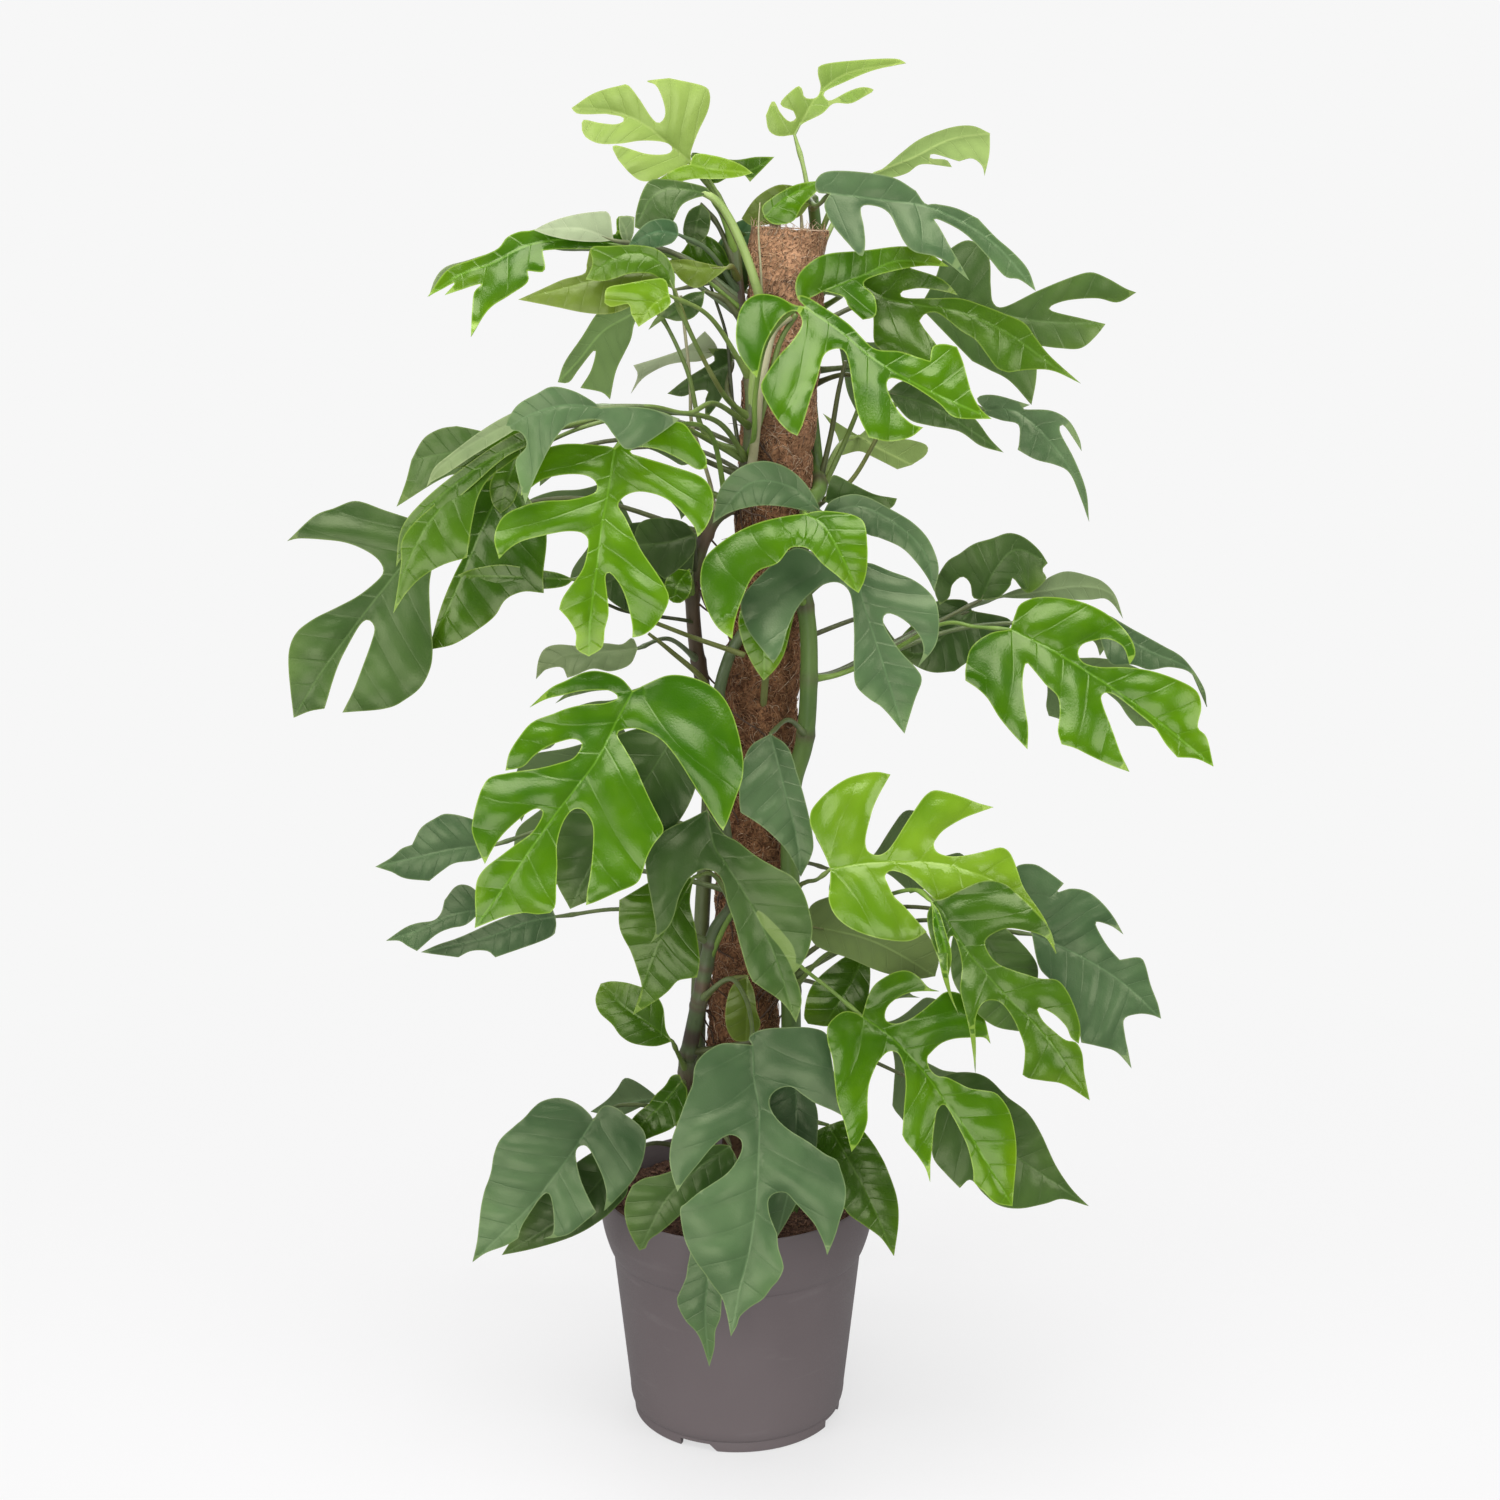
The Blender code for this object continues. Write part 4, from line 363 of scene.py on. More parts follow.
LEAVES = [
    leaf("crown_pale", "left", 905, 30, tone="pale", tilt=0.0, fold=0.2,
         rib="-31,949 -46,961 -64,975 -86,984 -114,986",
         left="-31,957 -26,970 -19,985 -18,996 -23,1001 *-46,1006 -62,1004 -55,1001 -50,990 -49,981 "
         "-53,976 -58,979 *-66,991 -74,1001 -80,1001 -98,996",
         right="-45,943 -58,937 -67,937 -75,943 *-82,951 -86,960 -79,960 -62,955 -48,955 -44,959 "
         "-50,963 -66,964 -80,962 -95,962 -104,966 *-107,971 -106,978 -95,976 -84,975 -78,977 "
         "-79,980 *-90,982 -109,982"),
    leaf("crown_pale_right", "left", 898, 34, tone="fresh", tilt=0.1,
         rib="-32,948 -18,945 12,942",
         left="-28,955 -16,954 -4,951 5,947",
         right="-40,946 -52,939 *-60,934 -44,935 -30,938 -14,938 0,939"),
    leaf("crown_under_arc", "left", 888, 42, tone="bright", tilt=0.2,
         rib="-20,929 -40,931 -54,927 -70,909",
         left="-28,933 -44,935 -56,932 -65,921",
         right="-30,925 -42,926 -52,922 -62,912"),
    leaf("crown_dark_inner", "left", 878, 22, tone="dark", tilt=0.2,
         rib="-24,921 -28,905 -30,892",
         left="-33,916 -37,904 -35,895",
         right="-18,914 -19,902 -25,894"),
    leaf("crown_curled", "right", 895, -40, tone="pale", tilt=0.1, fold=0.25,
         rib="41,968 50,984 60,998 80,1010 118,1016",
         left="30,967 23,971 *21,981 26,991 31,983 37,977 42,979 *40,984 31,989 42,1000 46,999 "
         "48,993 56,993 59,1000 57,1009 60,1015 85,1018 110,1019",
         right="46,975 60,982 68,989 80,989 *90,994 96,998 88,1000 78,997 66,991 62,993 62,997 "
         "75,1003 95,1011"),
    leaf("crown_arc", "right", 880, -62, tone="pale", under=True, tilt=0.1,
         rib="97,942 112,948 125,953 150,965 177,969",
         left="104,946 117,957 130,966 150,973 165,974",
         right="108,939 120,942 130,948 *151,946 147,951 136,952 138,955 *156,950 165,952 172,947 "
         "*174,940 177,955"),
    leaf("crown_big", "right", 925, 60, tone="slate", tilt=0.35, fold=0.2,
         stalk="52,924,8 57,920,34",
         rib="66,928 100,924 140,917 180,895 212,861",
         left="57,929 56,937 64,943 85,943 110,939 *126,930 133,921 140,921 155,918 *170,911 183,898 "
         "195,888 206,876",
         right="62,920 67,908 *76,897 88,885 91,892 90,905 88,919 100,919 108,914 113,905 119,894 "
         "126,888 140,885 150,880 *165,868 158,880 150,893 143,905 139,911 150,907 163,899 178,884 "
         "190,871 200,869"),
    leaf("crown_rolled", "left", 890, 45, tone="dark", tilt=0.4,
         rib="-18,927 -30,930 -48,931 -60,924 -66,913 -71,905",
         left="-20,932 -35,936 -50,938 -60,937 -66,928 -70,915",
         right="-28,925 -38,920 -45,908 *-55,905 -62,906 -65,903"),
    leaf("crown_edge_on", "left", 905, 15, tilt=0.0, fold=0.3,
         rib="-22,938 -5,946 10,944 27,953",
         left="-30,950 -30,956 -15,953 0,951 14,953",
         right="-14,935 -5,939 5,941 *10,936 16,942"),
    leaf("crown_pole_top", "right", 925, 22, tone="bright", tilt=0.2, stalk="37,926,6",
         rib="20,912 35,925 60,937",
         left="19,920 33,930 45,935",
         right="27,907 40,909 47,920 58,931"),
    leaf("left_arch", "left", 850, 50, tone="bright", tilt=0.45, fold=0.2,
         rib="-78,892 -110,897 -145,893 -172,880 -195,872 -218,857",
         left="-79,900 *-72,912 -83,912 -84,901 -89,901 -88,912 -93,916 -110,913 *-128,908 -143,903 "
         "-152,902 -161,898 -168,890 -185,883 -203,876",
         right="-90,890 -120,890 *-136,889 -135,875 *-147,875 -147,867 -160,858 -175,848 *-188,829 "
         "-187,845 -185,860 -180,866 *-206,858 -198,867 -208,862"),
    leaf("left_grey_lobe", "left", 853, 58, tone="silver", tilt=0.3,
         rib="-86,896 -110,904 -142,903",
         left="-87,905 -88,913 *-91,916 -105,915 -120,912 -132,908",
         right="-98,895 -115,896 -130,899"),
    leaf("left_finger", "left", 847, 40, tone="grey", tilt=0.3,
         rib="-128,891 -165,885 -200,877 -217,857",
         left="-150,892 -170,888 -190,882 -204,878 -212,870",
         right="-150,885 -172,880 -192,874 -206,867"),
    leaf("left_grey_small", "left", 856, 52, tone="grey", tilt=0.2,
         rib="-76,892 -77,902 -82,912",
         left="-80,897 -82,904",
         right="-72,900 *-71,912 -76,913"),
    leaf("left_second", "left", 775, 98, fold=0.2,
         stalk="0,779,42 -10,790,58 -25,817,74 -40,848,90",
         rib="-44,862 -50,876 -64,886 -85,884 -106,869",
         left="-43,872 -48,884 -58,891 *-72,893 -90,892 -102,891 -101,880",
         right="-52,868 -60,873 -75,873 -92,868"),
    leaf("left_second_upper", "left", 862, 60, tone="blue", tilt=0.2,
         rib="-40,900 -56,902 -76,892",
         left="-42,908 -50,911 -61,909 -70,901",
         right="-45,894 -56,891 -66,890"),
    leaf("left_pale_right", "left", 868, 56, tone="olive", tilt=0.1,
         rib="-6,877 -28,877 -47,882",
         left="-20,880 -35,883",
         right="-15,870 -28,863 -40,870"),
    leaf("left_dark_under", "left", 840, 40, tone="dark", tilt=0.2,
         rib="-22,861 -38,850 -62,834",
         left="-34,859 -48,850 -57,842",
         right="-24,850 -31,842 -42,840 -52,842"),
    leaf("left_olive", "left", 775, 82, tone="olive", tilt=0.3,
         stalk="0,779,42 -10,790,58 -25,817,74 -38,846,82",
         rib="-43,862 -58,873 -85,872 -112,865 -154,855",
         left="-44,875 -52,885 -68,891 -88,891 *-103,889 -105,880 -107,873 -122,869 -138,862",
         right="-55,866 -62,860 -75,850 -90,845 -108,846 -128,850"),
    leaf("left_young", "left", 800, 112, tone="fresh", tilt=0.2,
         rib="-47,858 -58,852 -69,836",
         left="-50,869 -61,869 -78,866 -91,863 *-93,853 -88,850 -76,852 -74,845",
         right="-46,853 -50,848 -60,842"),
    leaf("left_hanging", "left", 748, 42, under=True, tilt=0.4,
         stalk="-18,756,34 -27,772,38 -35,806,40 -53,843,41",
         rib="-66,848 -80,841 -95,832 -112,812 -127,797",
         left="-68,852 -80,851 -95,849 -110,828 -122,811",
         right="-72,838 -75,826 -85,806 *-90,785 -96,790 *-111,793 -103,806 -100,820 -112,806 "
         "-119,797"),
    # Painted light: this leaf lies in shade and takes the lighter silver tone.
    leaf("left_edge_grey", "back", 790, -42, tone="silver", tilt=0.2,
         rib="-12,818 -40,818 -60,812 -73,809",
         left="-15,825 *-22,833 -35,822 -50,816",
         right="-25,812 -40,811 -52,808 -66,800 *-75,789 -70,802"),
    leaf("left_edge_dark", "left", 770, -14, tone="dark", tilt=0.2,
         stalk="-6,790,18",
         rib="-2,812 -25,800 -49,789",
         left="-5,820 *-20,821 -15,813 -22,808 -35,800",
         right="-5,800 -10,786 *-22,770 -22,784 -20,791 -28,791 -38,787"),
    leaf("crown_blue", "left", 840, -26, tone="blue", tilt=0.0,
         rib="-14,862 -5,885 12,912",
         left="-19,868 -18,880 -12,895 0,908",
         right="2,866 10,880 15,895"),
    leaf("crown_bud", "left", 850, 12, tone="bright", tilt=0.0,
         rib="-4,880 -25,878 -47,882",
         left="-10,892 -20,899 -31,897 -38,888",
         right="-12,872 -25,868 -38,872"),
    leaf("right_bright", "left", 742, 100, tone="bright", tilt=0.45, fold=0.1,
         stalk="13,760,50 14,790,62 22,826,84 40,847,97",
         rib="50,849 75,832 100,812 140,790 183,771",
         left="43,857 50,857 65,848 80,838 98,821 115,819 128,815 *138,812 140,822 148,824 *157,822 "
         "162,810 168,790 175,778",
         right="40,852 30,857 18,859 8,855 2,845 0,830 2,818 8,808 *15,800 20,822 28,837 35,845 "
         "43,847 47,838 40,826 30,815 20,800 18,793 22,783 30,770 38,762 *44,759 48,768 53,785 "
         "58,800 62,815 68,820 76,820 80,812 83,795 87,775 *95,758 110,755 125,758 *134,765 125,768 "
         "115,778 108,792 108,798 112,800 125,795 145,782 157,772"),
    leaf("right_bright_upper", "right", 845, 66, tone="bright", tilt=0.2, fold=0.25,
         stalk="72,856,-16 73,858,26",
         rib="62,861 90,872 115,882 150,878",
         left="52,856 45,855 42,862 44,872 54,882 66,887 90,889 118,892 135,888",
         right="76,857 80,850 *90,841 99,844 98,857 90,866 100,872 128,878"),
    leaf("right_mid", "right", 850, 38, tilt=0.35, fold=0.2,
         rib="88,866 105,856 130,851 155,847 190,833 225,809 246,796",
         left="95,873 112,880 126,876 142,871 151,865 *157,858 145,861 130,863 *118,861 116,858 "
         "122,856 142,856 158,856 172,852 188,846 204,839 213,828 224,815",
         right="90,856 97,845 98,826 *104,819 122,817 140,806 *154,795 150,810 142,824 134,834 "
         "*130,840 134,845 142,846 150,841 160,833 170,827 178,817 186,807 *194,804 210,806 226,805"),
    leaf("right_dark", "right", 835, -58, tone="dark", fold=0.15,
         rib="130,850 170,848 213,840 262,838",
         left="140,868 145,882 152,891 165,896 178,885 180,865 182,853 190,850 213,861 235,870 "
         "250,874 262,870 275,863 *283,860 270,853 255,856 232,854 222,848 245,842",
         right="150,830 165,815 *168,812 180,806 195,798 *211,781 214,800 *214,823 230,821 245,821 "
         "255,829"),
    leaf("right_arching", "right", 800, 0, tone="slate", tilt=0.3, arch=15,
         rib="178,777 200,776 225,755 243,730 253,705 255,697",
         left="172,786 185,788 *210,781 205,778 225,777 238,770 246,757 *248,748 235,766 232,762 "
         "243,742 252,720",
         right="176,775 190,770 202,767 203,755 *202,749 215,742 230,738 240,732 248,715"),
    leaf("right_under", "right", 790, 32, tone="dark", tilt=0.3,
         rib="108,790 140,780 165,765 192,747",
         left="120,798 140,790 155,778 170,772 182,757",
         right="115,780 125,770 140,766 160,762 175,752"),
    leaf("pale_star", "right", 725, -78, under=True, tone="pale", tilt=0.3,
         rib="88,759 100,751 114,744 126,738",
         left="96,765 106,764 112,758 126,756 137,752 136,745",
         right="78,765 *62,775 72,760 *76,745 88,748 98,744 *116,735"),
    leaf("mid_bright", "left", 710, 140, tone="bright", tilt=0.3,
         stalk="-18,760,70 -45,768,110 -70,768,135",
         rib="-87,750 -92,720 -97,695 -101,665 -106,630 -108,598",
         left="-95,752 -125,753 -145,745 -153,730 *-155,716 -140,727 -125,731 -110,731 -102,727 "
         "-100,721 -104,717 -120,713 -140,712 -155,708 -167,702 -173,693 -175,683 *-172,670 -165,677 "
         "-155,683 -140,687 -125,690 -115,690 -110,688 -107,683 -109,670 -113,660 -122,648 -127,640 "
         "*-129,633 -122,625 -117,615 -117,604",
         right="-80,755 -66,760 -50,768 -38,768 -30,758 -22,745 *-21,736 -28,735 -40,742 -55,749 "
         "-70,751 -76,747 -65,743 -45,737 -30,732 -22,727 -17,718 -17,705 -22,693 *-28,686 -30,693 "
         "-37,702 -45,710 -55,716 -68,719 -78,717 -84,712 -85,708 -80,700 -74,687 -68,675 -60,663 "
         "-53,652 -49,642 -52,632 -60,620 -68,614 *-76,612 -76,622 -80,640 -85,652 -92,660 -95,657 "
         "-94,645 -93,630 -96,618 -98,605"),
    leaf("mid_grey", "left", 770, 162, tone="slate", tilt=0.15, fold=0.15,
         stalk="-15,782,90 -35,775,125 -66,780,158",
         rib="-97,779 -120,781 -145,775 -168,762",
         left="-103,784 -116,791 -131,794 -142,789 -157,780",
         right="-80,780 -60,778 *-40,771 -55,760 -70,751 -80,750 -88,760 -97,770 -115,769 -125,763 "
         "-135,748 -145,728 *-152,710 -157,730 -158,742 -150,752 -155,762"),
    leaf("mid_finger_upper", "left", 770, 158, tone="grey", tilt=0.15, fold=0.3,
         stalk="-15,782,90 -35,775,125 -66,780,158",
         rib="-108,780 -135,779 -165,766 -196,749 -216,733 -223,722",
         left="-125,784 -145,781 -165,773 -185,761 -205,746 -217,736",
         right="-135,773 -150,768 -165,759 -190,744 -208,732 -219,726"),
    leaf("mid_finger_lower", "left", 770, 154, tilt=0.15, fold=0.3,
         stalk="-15,782,90 -35,775,125 -66,780,158",
         rib="-112,772 -160,752 -192,732 -222,708 -240,688 -247,664",
         left="-140,767 -165,757 -195,737 -225,713 -242,692",
         right="-140,756 -165,744 -190,723 -218,699 -236,680"),
    leaf("mid_behind_bright", "left", 745, 128, tilt=0.2,
         stalk="-15,770,80 -60,775,120 -110,765,130",
         rib="-156,744 -166,722 -170,703",
         left="-168,740 -177,725 -176,711",
         right="-155,730 -160,712"),
    leaf("mid_folded", "left", 745, 150, fold=0.1,
         rib="-140,762 -180,738 -215,705 -238,668 -250,630",
         left="-150,768 -175,760 -198,748 *-222,724 -210,733 -190,738 -172,742 -190,730 -212,714 "
         "-232,697 -242,683 -243,668 -246,650",
         right="-150,750 -165,738 -178,728 -186,715 -190,700 -193,685 *-195,671 -212,666 -228,657 "
         "-240,645"),
    leaf("left_big_dark", "left", 690, 92, tone="dark", tilt=0.3, fold=0.15,
         rib="-222,690 -245,662 -275,625 -305,585 -326,552",
         left="-232,697 *-237,700 -255,706 -268,711 -277,712 -290,707 -305,701 *-325,683 -316,685 "
         "-298,684 -283,682 -270,677 -260,670 -256,662 -260,655 -275,643 -292,634 -308,626 -321,616 "
         "-327,603 -328,585",
         right="-220,670 -223,650 -223,625 -222,605 -224,590 -231,576 -243,566 -258,559 *-290,556 "
         "-281,573 -274,590 -267,608 -264,619 -268,625 -274,622 -284,606 -293,588 *-303,559 -314,557"),
    leaf("left_dark_upper", "left", 735, 104, tone="dark", tilt=0.2,
         rib="-150,742 -190,748 -233,742",
         left="-165,757 -185,763 *-200,766 -212,764 -224,757",
         right="-165,733 -190,730 -208,730 *-245,708 -238,725"),
    leaf("left_hanging_low", "left", 715, 72, tilt=0.3, fold=0.15,
         rib="-160,735 -180,700 -200,655 -225,603",
         left="-172,730 -185,722 -192,700 -194,680 -205,658 -215,635",
         right="-150,715 -140,700 -137,685 -140,660 *-140,645 -155,646 -168,640 -176,628 -190,617 "
         "-207,607"),
    leaf("left_narrow", "left", 640, 100, tilt=0.1, fold=0.2,
         rib="-118,655 -160,657 -203,658",
         left="-130,660 -150,663 -170,666 -190,663",
         right="-125,650 -140,648 -165,648 -190,652"),
    leaf("left_inner_dark", "left", 660, 62, tone="deep", tilt=0.2,
         rib="-29,688 -50,682 -75,680",
         left="-38,697 -55,700 -70,696",
         right="-30,676 -40,664 *-52,655 -60,662 -70,671"),
    leaf("left_small_grey", "left", 590, 62, tone="grey", tilt=0.2,
         rib="-72,604 -100,601 -128,598 -147,581",
         left="-76,612 -84,607 -98,608 -115,606 -130,607 -140,604 -145,595",
         right="-78,592 -92,587 -105,589 -118,584 *-124,582 -128,590 -140,588"),
    leaf("centre_arch", "right", 690, 112, tone="slate", tilt=0.2, arch=8,
         rib="62,703 40,722 10,725 -17,696",
         left="57,714 48,727 35,737 20,741 6,738 -5,730 -13,718",
         right="50,705 35,708 18,709 2,706 -8,702"),
    leaf("centre_bright", "right", 680, 130, tone="bright", tilt=0.35,
         rib="50,703 62,695 75,675 89,645",
         left="35,701 15,696 -2,688 -16,678 -24,668 -26,652 -22,635 -14,620 *-3,611 -1,625 4,640 "
         "10,654 17,662 30,667 38,677 44,679 53,677 62,667 73,658 82,650",
         right="60,705 75,704 87,701 93,695 95,680 95,665 93,654"),
    leaf("centre_bright_low", "right", 640, 88, tone="bright", tilt=0.3,
         rib="30,650 22,615 20,580",
         left="12,652 2,628 4,610 12,592",
         right="44,645 40,620 35,600 28,588"),
    leaf("centre_dark", "right", 650, 106, tone="slate", tilt=0.35, fold=0.2,
         rib="88,665 92,640 105,600 124,540",
         left="75,664 60,671 47,678 36,675 25,665 12,652 4,641 4,630 10,615 *27,593 33,603 38,620 "
         "46,636 58,648 70,653 79,650 84,640 86,615 86,590 88,576 98,566 108,559",
         right="97,667 112,661 128,655 139,647 146,637 148,620 145,605 *133,590 137,603 132,616 "
         "121,626 111,630 107,626 110,617 120,602 132,589 136,580 131,565"),
    leaf("centre_arch_right", "right", 670, 100, tone="slate", tilt=0.3, arch=10,
         rib="62,702 90,708 120,692 138,672 144,646",
         left="68,712 82,717 95,715 112,706 127,697 138,686 145,672 147,660",
         right="80,697 95,688 105,685 120,678 131,667 139,656"),
    leaf("centre_dark_small", "right", 690, 62, tone="dark", tilt=0.1,
         rib="64,712 85,715 116,714",
         left="66,722 70,731 85,724 100,717",
         right="74,706 90,704 104,704 113,708"),
    leaf("right_big", "right", 590, 62, tone="bright", tilt=0.45, fold=0.15,
         stalk="76,585,20 110,600,30 150,622,44 175,620,54",
         rib="200,618 225,606 250,591 275,575 310,550 353,515",
         left="203,628 207,637 220,642 240,641 258,636 275,626 288,612 292,600 *288,592 283,605 "
         "272,611 262,610 253,607 250,600 255,593 268,590 285,590 305,587 325,580 338,572 342,560 "
         "340,545 347,537",
         right="185,615 172,605 168,590 *168,580 177,574 185,566 193,553 202,542 *215,528 215,545 "
         "212,562 210,580 212,593 216,590 227,577 236,568 238,555 237,542 *240,532 250,529 262,523 "
         "277,516 *291,511 284,525 277,543 270,560 268,568 272,571 280,568 295,556 308,545 317,532 "
         "*326,522 340,521"),
    leaf("right_big_behind", "right", 590, 8, tone="slate",
         stalk="76,585,12 110,600,14 170,620,8", tilt=0.35,
         rib="262,625 300,603 332,588 346,560",
         left="268,630 290,618 312,606 328,596 343,575",
         right="268,605 275,592 290,592 303,588 318,590 334,585 343,568"),
    leaf("right_dark_low", "right", 590, -4, tone="dark",
         stalk="76,586,10 110,602,8 150,625,2", tilt=0.1,
         rib="178,640 188,662 203,677 226,667",
         left="172,642 170,652 164,657 157,651 155,642 *148,636 144,650 152,667 162,674 172,681 "
         "185,685 197,689 208,686 219,677",
         right="190,641 199,650 201,656 212,645 225,655 222,662"),
    leaf("right_grey_arch", "right", 590, -16, tone="grey",
         stalk="76,587,8 110,604,2 155,628,-8", under=True, tilt=0.2,
         rib="190,642 220,646 250,650 272,645 282,626",
         left="205,648 218,650 228,657 240,661 255,658 267,653 276,643",
         right="205,641 225,641 245,640 258,640 268,641 275,636"),
    leaf("right_inner_dark", "right", 590, -22, tone="dark",
         stalk="76,588,6 110,606,-4 145,624,-14", tilt=0.2,
         rib="172,632 150,612 134,600 117,605",
         left="165,640 143,638 132,625 122,615",
         right="200,625 190,610 *160,587 145,586 133,590 122,598"),
    leaf("low_left_big", "front", 575, 170, tone="bright", tilt=0.35,
         stalk="-30,575,80 -56,575,132",
         rib="-76,572 -88,550 -102,522 -118,500 -135,478 -165,435 -197,390",
         left="-85,582 -100,587 -112,586 -125,580 -137,574 *-152,560 -140,566 -128,569 -115,572 "
         "-100,573 -92,572 -87,567 -97,563 -112,562 -125,559 -135,555 -150,549 -160,538 -168,525 "
         "*-171,512 -158,515 -150,523 -140,530 -130,534 -120,536 -114,532 -120,522 -130,518 -145,514 "
         "-158,512 -170,510 -182,507 -188,500 -192,490 -196,475 -197,465 -193,452 *-188,440 -183,450 "
         "-175,462 -165,472 -155,480 -148,483 -144,479 -152,465 -165,455 -178,445 -188,437 -194,428 "
         "-196,415 -196,400",
         right="-65,578 -50,584 -35,583 -20,577 -10,568 -3,555 2,538 5,520 4,505 -1,490 -6,475 "
         "*-10,466 -15,473 -25,490 -35,507 -45,523 -55,535 -65,541 -75,544 -84,543 -88,539 -82,528 "
         "-75,515 -70,503 -63,487 -55,470 *-55,464 -62,455 -67,445 -70,435 -75,425 -90,418 -105,411 "
         "*-113,408 -112,418 -109,435 -107,455 -107,470 -112,480 -118,483 -124,480 -130,470 -134,455 "
         "-134,440 -135,425 -136,408 *-140,402 -150,401 -160,402 -175,399 -190,393"),
    leaf("low_star", "front", 440, 150, tone="dark", tilt=0.3, fold=0.15,
         stalk="-14,470,80 -22,492,120",
         rib="-22,482 -17,455 -8,440 10,410 28,370 45,315",
         left="-35,475 -50,468 -62,459 -68,449 -67,430 -63,405 -61,388 *-65,378 -52,390 -47,400 "
         "-43,415 -37,427 -30,434 -23,436 -15,433 -10,425 -7,410 -2,395 3,375 8,357 *12,348 20,342 "
         "30,335 38,327",
         right="-10,464 0,458 15,446 30,437 42,430 50,418 55,402 57,388 54,372 48,360 *43,354 44,365 "
         "42,375 35,385 28,393 20,401 15,403 18,395 25,385 33,375 40,363 45,350 48,340 49,330"),
    leaf("low_glossy", "front", 420, 128, tilt=0.2,
         rib="-32,430 -48,400 -62,370 -79,321",
         left="-50,428 -63,427 -75,420 *-88,412 -88,390 -80,372 -76,360 -72,345 -73,335",
         right="-35,410 -31,390 -28,365 *-30,351 -38,350 -45,348 -52,340 -62,332"),
    leaf("low_behind", "front", 510, 112, tone="dark", tilt=0.3,
         rib="-45,540 -70,500 -100,455 -125,405",
         left="-65,545 -90,538 -112,520 -130,490 -136,460 -136,430",
         right="-28,530 -30,500 -45,470 -70,445 -95,420"),
    leaf("low_centre_grey", "right", 545, 112, tone="slate", tilt=0.3, fold=0.2,
         rib="25,540 35,500 45,460 48,430",
         left="10,530 3,510 2,490 *3,480 18,470 30,459 39,448",
         right="38,530 45,510 52,485 57,460 56,447"),
    leaf("far_left_a", "front", 470, 122, tone="slate", tilt=0.15,
         rib="-180,455 -210,452 -240,445 -270,438",
         left="-185,468 -197,475 -215,479 -225,475 -235,468 *-242,455 -250,452 -258,445",
         right="-192,444 -210,441 -220,435 *-230,427 -248,429 -258,434"),
    leaf("far_left_b", "front", 430, 102, tone="slate", tilt=0.15,
         rib="-190,405 -215,400 -240,388 -264,380",
         left="-192,415 -200,423 -210,423 *-219,412 -222,402 -228,396 -240,394 -250,390",
         right="-203,393 -215,390 -226,385 *-241,372 -248,376 -254,380"),
    leaf("far_left_c", "front", 390, 84, tone="slate", tilt=0.2,
         rib="-136,399 -160,394 -190,382 -238,371",
         left="-140,406 -155,405 -180,396 -208,383 -225,377",
         right="-136,390 -142,382 *-182,367 -188,372 -200,372 *-210,367 -225,369"),
    leaf("low_round", "front", 285, 60, tilt=0.2, stalk="-44,288,40",
         rib="-49,300 -68,315 -88,330 -103,346",
         left="-54,310 -56,328 -64,340 -74,344 -84,347 -95,348",
         right="-62,296 -78,298 -88,304 -95,314 -104,323 -107,334"),
    leaf("low_right_glossy", "right", 400, 170, tone="fresh", tilt=0.4,
         stalk="46,420,60 52,426,110 60,428,150",
         rib="70,436 95,440 130,442 160,438 190,428 215,412 235,390 241,370",
         left="66,447 60,460 55,470 55,480 60,488 70,498 82,506 95,510 105,511 *114,509 108,498 "
         "102,485 98,470 96,458 98,450 105,447 112,450 118,458 125,470 133,483 140,493 147,497 "
         "158,495 170,491 180,487 *191,484 180,480 168,475 155,467 149,460 147,455 150,449 160,446 "
         "172,447 185,450 197,453 203,450 207,443 211,432 216,420 232,396",
         right="70,425 69,412 74,400 84,391 97,385 112,381 130,380 *143,387 132,400 125,408 118,415 "
         "113,425 111,431 116,435 128,431 140,421 *150,411 168,416 190,415 212,402 230,386"),
    leaf("low_right_large", "right", 380, 205, tilt=0.35, fold=0.15,
         stalk="48,395,60 90,408,120 130,420,180",
         rib="148,412 160,393 175,370 190,352 205,335 225,315 245,290 270,252",
         left="155,413 168,420 185,427 200,425 212,415 225,402 235,390 *240,376 230,384 218,388 "
         "205,390 195,387 187,380 190,370 197,362 208,357 220,353 230,350 242,349 250,340 257,325 "
         "261,310 *260,298 254,303 250,312 240,322 228,327 232,317 240,309 250,301 258,299 263,290 "
         "265,275",
         right="143,400 146,382 152,366 156,350 162,334 *168,322 163,336 160,352 159,368 160,381 "
         "163,384 167,375 170,360 169,342 172,328 176,312 179,295 *182,274 182,295 181,315 183,325 "
         "187,331 192,333 200,331 208,321 214,309 219,295 219,282 *218,273 223,270 235,268 250,265"),
    leaf("low_right_rolled", "right", 380, 212, tone="bright", tilt=0.2, fold=0.4,
         stalk="48,395,60 90,408,120 130,420,184",
         rib="146,411 152,392 157,374 160,352",
         left="147,400 148,388 153,368",
         right="152,403 157,388 162,369"),
    leaf("low_right_grey", "right", 365, 152, tone="slate", tilt=0.3, fold=0.15,
         rib="222,385 255,370 290,348 322,318",
         left="208,425 209,438 222,440 233,434 *245,425 240,418 250,421 262,419 273,411 283,399 "
         "*291,385 281,392 270,395 272,388 280,375 *289,365 303,367 308,362 313,345 319,330",
         right="228,360 238,348 250,333 258,317 *262,299 275,296 288,292 296,284 *301,278 298,292 "
         "295,305 294,318 305,322 315,321"),
    leaf("low_right_bright", "front", 372, 150, tone="bright", tilt=0.35,
         stalk="0,405,55 22,390,80 45,363,110 70,342,135",
         rib="95,320 115,305 130,290 145,272 160,250 175,230 190,205 213,165",
         left="99,335 104,345 113,352 122,356 130,356 138,351 145,343 *153,340 138,340 128,338 "
